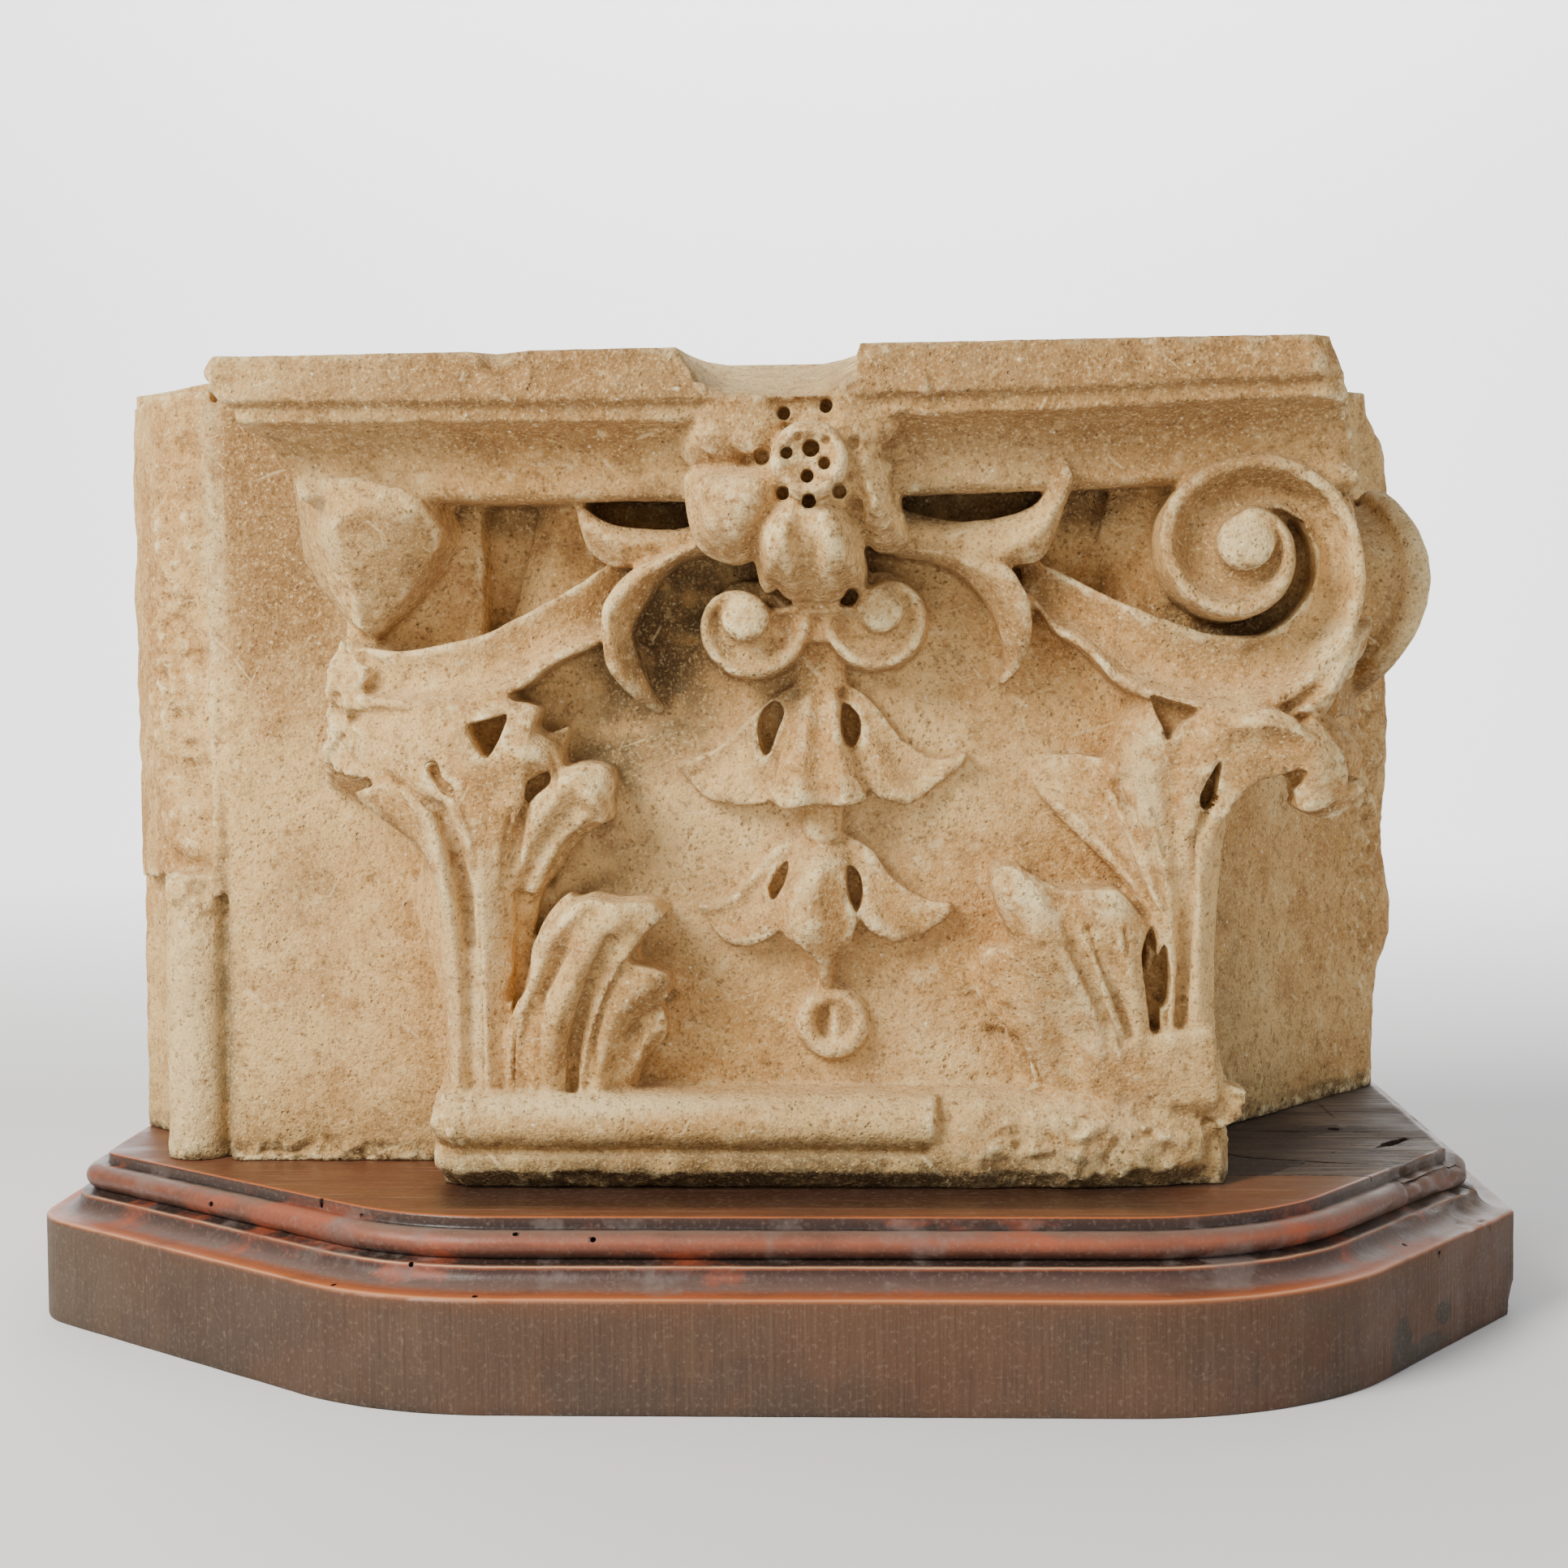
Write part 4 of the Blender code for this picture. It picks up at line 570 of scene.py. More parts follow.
def left_leaf(stone):
    """The acanthus under the lost volute: a stalk of pipes that opens into a spreading leaf."""
    stone.band(
        [(-98, 30, 32, 17, 4), (-96, 80, 34, 14, 4), (-96, 120, 42, 24, 6), (-104, 150, 46, 40, 8)], root=5,
    )
    stone.sheet([
        [(-113, 31, 20), (-114, 44, 20), (-119, 70, 16), (-124, 84, 12), (-129, 97, 6), (-131, 106, 2)],
        [(-111, 31, 34), (-111, 44, 34), (-115, 70, 32), (-119, 82, 28), (-124, 93, 20), (-127, 104, 10)],
        [(-107, 31, 36), (-107, 54, 36), (-108, 78, 36), (-112, 95, 34), (-117, 108, 30), (-122, 118, 22)],
    ], root=-4)
    stone.sheet([
        [
            (-112, 32, 38), (-111, 54, 40), (-113, 80, 42), (-114, 104, 45), (-117, 114, 47), (-121, 124, 48),
            (-128, 139, 47), (-134, 142, 43),
        ],
        [
            (-107, 32, 45), (-106, 64, 47), (-107, 87, 51), (-109, 105, 55), (-111, 118, 57), (-114, 130, 57),
            (-121, 139, 55), (-129, 144, 48),
        ],
        [
            (-102, 32, 40), (-102, 64, 42), (-102, 89, 45), (-103, 106, 48), (-105, 117, 51), (-108, 130, 52),
            (-113, 138, 51), (-120, 145, 48),
        ],
        [
            (-98, 32, 46), (-98, 70, 48), (-98, 92, 52), (-98, 106, 55), (-100, 118, 58), (-103, 129, 60),
            (-107, 138, 60), (-112, 146, 56),
        ],
        [
            (-93, 32, 43), (-93, 70, 44), (-90, 93, 49), (-90, 106, 54), (-91, 118, 57), (-95, 129, 58),
            (-99, 138, 58), (-103, 146, 56),
        ],
        [
            (-90, 32, 40), (-88, 70, 42), (-86, 92, 45), (-87, 108, 51), (-87, 118, 55), (-84, 128, 58),
            (-81, 136, 60), (-80, 146, 60),
        ],
    ], root=16, along=40)
    stone.sheet([
        [(-91, 106, 44), (-88, 116, 48), (-84, 126, 52), (-78, 136, 56), (-70, 143, 60)],
        [(-86, 105, 49), (-82, 116, 53), (-76, 127, 57), (-69, 137, 61), (-62, 146, 62)],
        [(-83, 104, 45), (-78, 115, 49), (-71, 125, 53), (-63, 134, 57), (-55, 144, 60)],
        [(-80, 103, 47), (-74, 113, 51), (-67, 122, 54), (-59, 129, 57), (-51, 137, 58)],
        [(-77, 103, 40), (-71, 111, 43), (-65, 119, 46), (-58, 125, 48), (-51, 129, 48)],
    ], root=18)
    stone.dome(
        [(-72, 143), (-62, 148.5), (-51, 147), (-50, 139), (-53, 134), (-52, 128), (-60, 130)], 55, 62, 20,
        lean=(-0.1, 0.1),
    )
    stone.sheet([
        [(-157, 150, 26), (-152, 158, 32), (-146, 166, 38), (-140, 172, 40)],
        [(-146, 144, 38), (-141, 152, 44), (-137, 162, 48), (-133, 173, 46)],
        [(-131, 142, 48), (-128, 151, 53), (-124, 161, 55), (-121, 173, 50)],
        [(-116, 138, 55), (-113, 150, 58), (-110, 160, 60), (-107, 172, 55)],
        [(-105, 134, 58), (-102, 147, 61), (-99, 160, 62), (-97, 172, 57)],
        [(-94, 132, 58), (-92, 146, 61), (-88, 160, 63), (-84, 170, 58)],
        [(-84, 134, 57), (-81, 146, 61), (-78, 158, 63), (-75, 168, 57)],
    ], root=14)
    stone.dome(
        [(-84, 168), (-77, 161), (-69, 154), (-68, 147), (-74, 145), (-82, 142), (-90, 150), (-90, 162)], 56,
        64, 20,
    )


def lower_left_leaf(stone):
    """The small leaf at the left leaf's foot, turned to the middle."""
    stone.band(
        [(-68, 30, 32, 21, 6), (-66, 60, 37, 19, 7), (-60, 85, 44, 18, 8), (-54, 96, 50, 14, 6)], root=16,
    )
    stone.sheet([
        [
            (-92, 31, 38), (-90, 51, 43), (-85, 64, 49), (-80, 75, 54), (-78, 86, 58), (-72, 94, 61),
            (-65, 101, 63),
        ],
        [
            (-88, 31, 43), (-87, 50, 48), (-82, 64, 54), (-77, 76, 59), (-72, 87, 63), (-66, 95, 66),
            (-58, 103, 69),
        ],
        [
            (-84, 31, 41), (-83, 50, 47), (-78, 64, 52), (-72, 76, 57), (-67, 86, 61), (-61, 94, 65),
            (-54, 102, 68),
        ],
        [
            (-80, 31, 45), (-78, 50, 51), (-73, 65, 57), (-67, 77, 61), (-61, 87, 65), (-55, 94, 67),
            (-48, 101, 68),
        ],
        [
            (-74, 31, 47), (-71, 51, 54), (-66, 67, 60), (-60, 79, 64), (-54, 88, 66), (-48, 94, 67),
            (-41, 101, 66),
        ],
        [
            (-68, 31, 42), (-65, 50, 47), (-60, 66, 54), (-54, 77, 59), (-48, 86, 62), (-43, 92, 64),
            (-36, 100, 64),
        ],
        [
            (-64, 31, 45), (-60, 51, 51), (-54, 66, 57), (-48, 77, 61), (-43, 84, 63), (-39, 90, 64),
            (-33, 96, 62),
        ],
    ], root=16, along=36)
    stone.sheet([
        [(-64, 31, 42), (-60, 51, 48), (-55, 64, 54), (-50, 73, 57), (-45, 80, 59)],
        [(-59, 31, 45), (-55, 47, 50), (-49, 60, 54), (-42, 70, 57), (-35, 77, 58)],
        [(-54, 31, 41), (-51, 45, 45), (-46, 57, 49), (-39, 66, 53), (-31, 74, 55)],
        [(-50, 31, 39), (-47, 44, 43), (-43, 54, 46), (-38, 61, 49), (-32, 67, 50)],
    ], root=16)
    stone.sheet([
        [(-52, 31, 38), (-49, 40, 41), (-45, 49, 44), (-39, 58, 47), (-34, 63, 48)],
        [(-48, 31, 39), (-46, 39, 42), (-43, 46, 45), (-38, 53, 47), (-33, 57, 47)],
        [(-46, 31, 33), (-44, 37, 36), (-42, 42, 38), (-38, 47, 40), (-34, 51, 41)],
    ], root=16)


def right_leaf(stone):
    """The acanthus under the whole volute: its stalk bends over to the right into a curled tip."""
    stone.band(
        [(146, 30, 30, 14, 4), (146, 80, 34, 12, 5), (146, 118, 40, 14, 6), (150, 145, 48, 14, 6)], root=0,
    )
    stone.sheet([
        [
            (139, 31, 45), (138, 55, 46), (137, 80, 48), (134, 100, 51), (131, 120, 54), (129, 134, 57),
            (128, 146, 58),
        ],
        [
            (142, 31, 47), (142, 55, 48), (142, 80, 50), (140, 100, 53), (137, 120, 56), (135, 134, 59),
            (134, 148, 60),
        ],
        [
            (145, 31, 43), (145, 55, 44), (145, 80, 46), (144, 100, 49), (142, 120, 53), (141, 134, 57),
            (141, 148, 60),
        ],
        [
            (148, 31, 46), (148, 55, 47), (148, 80, 49), (148, 100, 52), (146, 118, 56), (145, 132, 60),
            (145, 146, 64),
        ],
        [
            (151, 31, 47), (151, 55, 48), (151, 80, 50), (151, 100, 53), (150, 118, 57), (151, 132, 61),
            (154, 145, 65),
        ],
        [
            (156, 31, 44), (155, 55, 44), (155, 80, 45), (155, 100, 48), (156, 116, 52), (159, 128, 55),
            (163, 138, 58),
        ],
    ], root=16, along=40)
    stone.sheet([
        [
            (140, 148, 58), (142, 157, 60), (146, 163, 63), (153, 166, 66), (162, 164.5, 70), (171, 166, 72),
            (180, 163, 70),
        ],
        [
            (144, 140, 60), (147, 148, 64), (151, 155, 67), (157, 160, 70), (165, 161, 73), (175, 161, 75),
            (184, 158, 72),
        ],
        [
            (150, 134, 60), (153, 142, 63), (157, 149, 66), (162, 154, 68), (169, 156, 70), (178, 155, 71),
            (188, 152, 70),
        ],
        [
            (152, 124, 58), (156, 134, 61), (160, 142, 64), (165, 147, 66), (171, 149, 67), (180, 149, 69),
            (190, 146, 69),
        ],
        [
            (154, 114, 54), (157, 125, 58), (161, 133, 62), (167, 139, 64), (173, 142, 65), (182, 143, 67),
            (192, 140, 67),
        ],
    ], thick=22)
    stone.sheet([
        [(187, 163, 64), (192, 158, 65), (197, 151, 65), (199, 144, 64), (198, 136, 62)],
        [(183, 158, 70), (188, 153, 71), (191, 147, 70), (192, 141, 68), (192, 133, 65)],
        [(182, 150, 70), (185, 146, 70), (186, 141, 69), (186, 136, 67), (186, 131, 64)],
        [(180, 146, 62), (181, 142, 62), (181, 139, 62), (182, 135, 61), (182, 132, 60)],
    ], thick=18)
    stone.dome(
        [(181, 134), (186, 130), (193, 128.5), (199, 130), (206, 138), (204, 142), (196, 138), (188, 137)], 56,
        62, 44,
    )
    stone.sheet([
        [(196, 164, 40), (203, 158, 38), (208, 150, 36), (209, 140, 34), (206, 132, 32)],
        [(192, 162, 48), (199, 156, 48), (202, 148, 46), (203, 141, 42), (200, 134, 40)],
        [(188, 160, 50), (193, 154, 50), (196, 148, 48), (197, 142, 46), (195, 136, 44)],
    ], thick=18)
    stone.sheet([
        [
            (98, 151, 32), (94, 145, 36), (97, 136, 37), (105, 127, 39), (115, 117, 42), (126, 105, 44),
            (132, 90, 42),
        ],
        [
            (103, 150, 38), (101, 140, 40), (106, 132, 42), (113, 125, 44), (121, 115, 46), (130, 103, 48),
            (136, 88, 46),
        ],
        [
            (110, 150, 40), (109, 142, 41), (114, 136, 42), (120, 128, 44), (126, 118, 46), (132, 104, 48),
            (137, 88, 47),
        ],
        [
            (117, 149, 44), (118, 142, 46), (121, 135, 48), (125, 126, 50), (129, 116, 52), (134, 102, 52),
            (138, 88, 49),
        ],
        [
            (124, 148, 45), (124, 141, 47), (126, 133, 48), (129, 124, 50), (132, 114, 51), (135, 101, 51),
            (139, 88, 48),
        ],
        [
            (129, 148, 52), (129, 140, 53), (130, 130, 55), (132, 119, 55), (134, 110, 54), (137, 98, 53),
            (140, 86, 50),
        ],
    ], root=14, along=32)
    stone.sheet([
        [(118, 143, 42), (121, 152, 46), (124, 160, 48), (130, 168, 46), (134, 174, 44)],
        [(127, 143, 52), (128, 152, 56), (130, 160, 58), (135, 168, 58), (140, 174, 54)],
        [(136, 143, 58), (137, 150, 61), (139, 157, 63), (144, 164, 62), (150, 170, 58)],
        [(146, 141, 58), (147, 150, 61), (149, 157, 63), (153, 164, 62), (160, 168, 58)],
    ], root=16)


def lower_right_leaf(stone):
    """Its broken fellow at the right, with a stub of the leaf that stood before it."""
    stone.hull([
        (120, 50, 49), (140, 54, 51), (156, 56, 50), (158, 30, 48), (157, 24, 44), (119, 28, 46), (119, 50, 20),
        (158, 57, 20), (158, 24, 20), (119, 28, 20),
    ])
    stone.band(
        [(114, 30, 30, 24, 6), (108, 60, 36, 24, 8), (102, 80, 42, 20, 8), (100, 90, 44, 16, 5)], root=14,
    )
    stone.sheet([
        [(96, 31, 38), (92, 46, 43), (87, 54, 42), (80, 60, 38), (75, 66, 35), (74, 74, 34)],
        [(103, 31, 41), (98, 48, 46), (94, 58, 49), (88, 67, 48), (82, 76, 46), (79, 82, 44)],
        [(108, 31, 40), (105, 50, 44), (101, 62, 48), (96, 73, 52), (90, 82, 54), (86, 86, 52)],
        [
            (113, 31, 44), (111, 50, 48), (107, 63, 52), (101, 76, 57), (94, 90, 60), (84, 104, 58),
            (79, 109, 52),
        ],
        [
            (118, 31, 46), (117, 50, 50), (113, 64, 54), (107, 78, 58), (101, 92, 61), (94, 104, 60),
            (88, 112, 55),
        ],
        [
            (121, 31, 43), (120, 50, 48), (116, 66, 52), (111, 80, 55), (106, 90, 57), (102, 99, 57),
            (98, 105, 54),
        ],
        [
            (124, 31, 46), (123, 50, 51), (119, 66, 55), (115, 80, 58), (112, 90, 59), (113, 98, 58),
            (116, 104, 56),
        ],
        [
            (128, 31, 44), (127, 50, 48), (124, 66, 52), (121, 80, 55), (119, 90, 58), (121, 99, 58),
            (124, 103, 55),
        ],
        [
            (131, 31, 46), (131, 48, 50), (129, 62, 53), (127, 76, 56), (125, 87, 58), (127, 94, 56),
            (131, 94, 52),
        ],
        [
            (135, 31, 44), (135, 46, 47), (134, 58, 49), (132, 70, 51), (131, 80, 53), (132, 87, 52),
            (135, 92, 48),
        ],
    ], root=14, along=36)
    stone.dome([(118, 30), (140, 26), (158, 32), (158, 45), (146, 50), (132, 48), (122, 42)], 44, 49, 16)


def fronds(stone):
    """Leafy sprays from behind the flower: one up under the abacus and one curling down a side."""
    stone.sheet([
        [
            (45, 236, 44), (60, 232, 50), (71, 230, 53), (83, 231, 55), (93, 234, 58), (99, 240, 65),
            (104, 248, 73),
        ],
        [
            (45, 229, 50), (60, 227, 55), (71, 226, 58), (83, 226, 60), (93, 228, 62), (100, 233, 67),
            (106.5, 243, 73),
        ],
        [
            (45, 224, 50), (60, 222, 54), (71, 220, 58), (83, 219, 60), (92, 221, 62), (99, 226, 62),
            (105, 236, 62),
        ],
        [
            (45, 222, 46), (60, 220, 48), (71, 217, 52), (83, 215, 55), (91, 215, 57), (97, 217, 57),
            (101, 224, 56),
        ],
    ], root=28)
    stone.sheet([
        [
            (48, 224, 48), (64, 222, 56), (76, 218, 60), (86, 214, 61), (91, 207, 61), (93.5, 200, 58),
            (93.5, 190, 53), (90, 180, 47), (84, 174.5, 42),
        ],
        [
            (48, 221, 52), (62, 219, 57), (74, 214, 60), (83, 208, 61), (88, 202, 60), (90, 195, 57),
            (90, 188, 53), (87.5, 180, 47), (83.5, 174.7, 42),
        ],
        [
            (48, 218, 46), (60, 216.5, 50), (69, 212, 52), (76, 205, 53), (80, 199, 52), (83, 192, 50),
            (84.5, 185, 46), (84, 179, 43), (83, 175, 40),
        ],
    ], root=26)
    stone.sheet([
        [(0, 232, 46), (-16, 230, 50), (-30, 228, 54), (-42, 229, 56), (-52, 231, 58), (-62, 238, 60)],
        [(0, 227, 50), (-16, 226, 55), (-30, 224, 58), (-42, 224, 60), (-52, 226, 61), (-60, 232, 60)],
        [(0, 222, 46), (-16, 220, 50), (-30, 218, 53), (-40, 216, 55), (-50, 216, 55), (-58, 222, 54)],
    ], root=26)
    stone.sheet([
        [
            (-4, 227, 48), (-20, 224, 56), (-40, 216, 60), (-50, 206, 61), (-53, 199, 60), (-53, 190, 59),
            (-52, 182, 57), (-48, 176, 54), (-42, 170, 50), (-35, 165, 44),
        ],
        [
            (-4, 225, 54), (-20, 222, 60), (-38, 212, 63), (-47, 203, 63), (-50, 196, 62), (-49, 188, 60),
            (-47.5, 181, 58), (-44.5, 175, 55), (-40, 170, 51), (-34.5, 166, 45),
        ],
        [
            (-4, 222, 46), (-21, 220, 50), (-33, 212, 52), (-40, 201, 52), (-43, 195, 52), (-42.5, 189, 51),
            (-41, 183, 50), (-39, 177, 49), (-36.5, 171, 47), (-33.5, 167, 44),
        ],
    ], root=24)


FLOWER = (19.5, 248.0)


def flower(stone):
    """The flower on the abacus: a drilled boss in a ring of notched petals."""
    stone.dome(
        [(-23, 250), (-24, 261), (-22, 270), (-15, 273.5), (-6, 272), (0, 262), (-3, 249), (-12, 246.5)], 77,
        90, 40, lean=(0.35, 0.1), power=3,
    )
    stone.dome(
        [(-8, 260), (-6, 268), (0, 272), (6, 269), (10, 263), (8, 256), (2, 251), (-5, 252)], 89, 92.5, 50,
        power=4,
    )
    stone.dome(
        [(-23, 239), (-22, 246), (-12, 248), (2, 247), (10, 242), (8, 230), (-2, 217), (-12, 217), (-20, 223)],
        76, 93, 40, lean=(0.35, 0.25), power=2.6,
    )
    stone.dome(
        [
            (2, 231), (9, 238), (18, 238), (18.5, 226), (18, 206), (11, 204), (7, 208), (5, 206.5), (2, 208),
            (0, 220),
        ],
        68, 93, 34, lean=(0.25, 0.55), power=2.6,
    )
    stone.dome(
        [
            (18, 238), (28, 238), (35, 228), (37.5, 214), (36, 207.5), (31, 207.5), (29, 204), (19, 204),
            (17.5, 220),
        ],
        68, 92.5, 34, lean=(-0.25, 0.55), power=2.6,
    )
    stone.dome(
        [(9, 238), (28, 238), (30, 224), (27, 206.5), (19, 204), (10, 206.5), (7, 222)], 68, 89, 34,
        lean=(0.0, 0.6), power=3,
    )
    stone.dome(
        [(31, 250), (41, 252), (47, 246), (50, 233), (53, 222), (43, 219.5), (37, 224), (33, 234)], 64, 90, 34,
        lean=(-0.8, 0.35), power=2.0,
    )
    stone.dome(
        [(28, 256), (27, 268), (31, 277), (40, 277.5), (50, 273), (49, 259), (42, 253), (33, 252)], 86, 90, 40,
        lean=(-0.35, -0.05), power=5,
    )
    stone.turned(FLOWER, [(24, 40), (23, 74), (17, 84), (12, 86)])
    stone.turned(
        FLOWER, [(13, 78), (12.9, 94), (12.4, 96.8), (11.2, 98.4), (9.8, 98.8), (8.8, 98), (7, 96), (3, 95.2)],
    )
    stone.hull([
        (33, 252, 88), (42, 255, 84), (47, 247, 80), (44, 240, 84), (34, 243, 88), (38, 248, 92), (40, 246, 60),
        (32, 250, 60),
    ])


def husks(stone):
    """Two bellflowers hung one under the other, and the ring at their foot."""
    stone.sheet([
        [(15, 176, 36), (12, 167, 42), (8, 155, 46), (5, 143, 49), (3, 135, 49)],
        [(17, 176, 40), (15, 167, 46), (12, 155, 50), (10, 143, 52.5), (9, 132, 52)],
        [(19, 176, 41), (17.5, 167, 47), (16, 155, 51.5), (15, 143, 54), (14.5, 133, 54)],
        [(21.5, 176, 40), (21, 167, 44), (21, 155, 48), (21.5, 143, 50), (22, 133, 50)],
        [(24, 176, 41), (25.5, 167, 46), (27, 155, 50.5), (29, 143, 52.5), (30, 133, 52)],
        [(26, 176, 39), (28.5, 167, 43), (30.5, 155, 46), (34, 143, 49), (37, 135, 48)],
    ], root=24, along=30)
    stone.sheet([
        [(14, 176, 36), (3, 169, 40), (-6, 161, 40), (-14, 153.5, 38.5), (-23, 149, 38), (-30, 147.5, 39)],
        [(14, 172, 37), (5, 165, 40), (-3, 157, 39.5), (-11, 149, 37), (-19, 145, 36), (-26, 142.5, 36)],
        [(14, 168, 39), (8, 160, 43), (1, 151, 43), (-6, 143, 41), (-13, 138, 39), (-18, 135, 37)],
        [(14, 162, 37), (10, 153, 41), (5, 144, 42), (0, 138, 41), (-6, 134, 40), (-10, 133, 38)],
        [(13, 156, 38), (11, 147, 43), (8, 140, 44), (5, 136, 44), (1, 133.5, 43), (-3, 133, 41)],
    ], root=24)
    stone.sheet([
        [
            (28, 176, 36), (37, 171, 40), (43, 164, 40), (49, 156, 38.5), (57, 150, 38), (64, 148.5, 39),
            (73, 151.5, 42),
        ],
        [
            (28, 172, 37), (36, 165, 40), (42, 157, 39), (49, 150, 37), (56, 146, 37), (63, 144.5, 38),
            (71, 148, 40),
        ],
        [
            (28, 168, 39), (35, 159, 42), (41, 151, 42), (47, 145, 40), (53, 142, 38), (60, 141, 38),
            (68, 144, 38),
        ],
        [
            (28, 162, 38), (33, 153, 41), (39, 145, 43), (45, 139, 43), (50, 136, 42), (53, 134, 40),
            (55, 135, 38),
        ],
        [
            (29, 156, 38), (33, 147, 41), (37, 140, 43), (41, 136, 43), (45, 134.5, 42), (49, 133.5, 41),
            (52, 133.5, 38),
        ],
    ], root=24)
    stone.band([(21, 190, 36, 7, 4), (21.5, 182, 38, 8, 5), (21.5, 174, 38, 9, 5)], root=24)
    stone.sheet([
        [(15, 121, 34), (11, 111, 42), (8, 101, 44), (7, 93, 44), (8, 86, 42)],
        [(18, 121, 38), (15, 111, 47), (12, 101, 49), (11, 92, 50), (12, 85, 48)],
        [(22, 121, 39), (21, 111, 49), (18, 101, 51), (17, 91, 51), (18, 80, 46)],
        [(25, 121, 38), (26, 111, 46), (25, 101, 47), (24, 90, 48), (22, 77, 43)],
        [(28, 121, 36), (31, 111, 43), (33, 101, 44), (33, 92, 45), (29, 81, 42)],
    ], root=24, along=26)
    stone.sheet([
        [(15, 123, 34), (4, 117, 38), (-4, 107.5, 39), (-10, 101, 38.5), (-17, 98, 39), (-24, 98.5, 41)],
        [(15, 118, 36), (6, 111, 38), (-1, 102, 38), (-7, 96, 37), (-14, 93, 36), (-20, 93.5, 37)],
        [(14, 112, 38), (8, 104, 42), (2, 96, 42), (-4, 90, 40), (-9, 86, 39), (-14, 85, 36)],
        [(13, 106, 38), (10, 98, 42), (7, 91, 43), (4, 87, 42), (0, 84.5, 41), (-5, 82.5, 37)],
    ], root=24)
    stone.sheet([
        [(28, 123, 35), (38, 117, 39), (45, 108, 39), (52, 102, 38), (59, 98.5, 38), (66.5, 97.5, 40)],
        [(28, 118, 37), (37, 109, 40), (44, 101, 39), (51, 95, 38), (57, 92, 37), (64, 92.5, 38)],
        [(29, 112, 38), (35, 103, 42), (41, 95, 42), (47, 89, 40), (52, 87, 38), (57, 88, 37)],
        [(30, 106, 38), (33, 97, 42), (36, 91, 43), (41, 87, 42), (46, 85, 40), (51, 85.5, 37)],
    ], root=24)
    stone.band([(21.5, 134, 40, 7.5, 6), (21.5, 128, 40, 7, 5), (21.5, 122, 38, 7, 5)], root=24)
    stone.band([(20, 84, 40, 4, 4), (22, 77, 38, 3, 4), (22, 73, 35, 2.4, 4), (22.5, 69, 33, 2.4, 3)], root=24)
    ring = []
    for turn in np.linspace(0, 2 * math.pi, 44, endpoint=False):
        ring.append([
            (24.5 + reach * math.cos(turn), 55.6 + 1.02 * reach * math.sin(turn), out)
            for reach, out in (
                (14, 22), (13.6, 30), (12.2, 34.6), (9.8, 36.4), (7.6, 35.6), (6.2, 33), (5.6, 24),
            )
        ])
    stone.rings(ring, closed=True)
    stone.dome([(23, 66), (28, 64), (30, 56), (27, 47), (23, 48), (23.5, 57)], 31.5, 35.5, 22)


def drill_holes():
    """Holes drilled in the flower, and the deep eyes pierced between the leaves' lobes."""
    holes = Carving()
    for across, up, out, radius, depth in (
        (20, 252, 101, 3.1, 16), (12.3, 250.3, 101, 2.2, 12), (24.3, 247, 101, 2.2, 12),
        (18.8, 243, 101, 2.4, 14),
        (16, 255.3, 101, 1.8, 5), (25, 254, 101, 1.8, 5),
        (11, 264, 96, 2.3, 16), (25, 266, 96, 2.3, 16), (3.5, 250, 96, 2.4, 16), (34, 253.5, 96, 2.3, 8),
        (10.5, 238, 96, 2.4, 16), (19.2, 235, 96, 2.4, 16), (29, 238.5, 96, 2.4, 16),
    ):
        bit = [
            (radius * 0.7, out - depth), (radius, out - depth + 2), (radius, out + 3), (radius * 1.2, out + 12),
        ]
        holes.turned((across, up), bit, sides=20)
    for outline, out, depth in (
        ([(-100, 161.5), (-93, 164), (-85.5, 165.5), (-88, 157), (-93, 150), (-97, 155)], 66, 20),
        (
            [
                (-114, 149), (-110, 149.5), (-108, 144), (-104.5, 141), (-104, 137), (-108, 138), (-112, 142),
                (-115, 146),
            ],
            62, 9,
        ),
        ([(162, 212), (160, 207), (163, 203.5), (168, 208), (170.5, 213.5)], 80, 8),
        ([(-87, 89), (-82, 87), (-79, 81), (-80, 72), (-85, 64), (-90, 62), (-91, 66), (-88, 76)], 62, 24),
        ([(133, 170), (141, 168), (148.5, 165), (144, 161), (139, 155.5), (137, 160)], 66, 12),
        ([(156.5, 148.5), (152, 142), (149.5, 135), (151.5, 131), (154.5, 134), (156, 140)], 74, 26),
        ([(183, 145), (175, 142.5), (171.5, 136.5), (174, 133), (179, 136), (184, 141.5)], 76, 24),
        ([(139, 85), (135, 76), (133, 69), (135, 63.5), (139, 61.5), (141, 68), (141, 78)], 60, 26),
        ([(5, 170), (0, 165), (-1, 158), (1, 151), (3, 151), (6, 158), (9, 166)], 54, 24),
        ([(29, 169), (28, 162), (29, 155), (32, 152.5), (35, 157), (34.5, 164)], 54, 24),
        ([(9, 114), (5, 110), (2, 103), (4, 99), (8, 104), (10, 111)], 52, 20),
        ([(30, 112), (29.5, 103), (33, 95), (35.5, 101), (34.5, 109)], 52, 20),
    ):
        loop = smooth_loop(outline, 20)
        middle = loop.mean(axis=0)
        rings = []
        for level, size in ((out - depth, 0.75), (out - depth + 5, 0.92), (out - 6, 1.0), (out + 14, 1.15)):
            rings.append([(*(middle + (spot - middle) * size), level) for spot in loop])
        holes.rings(rings)
    return holes


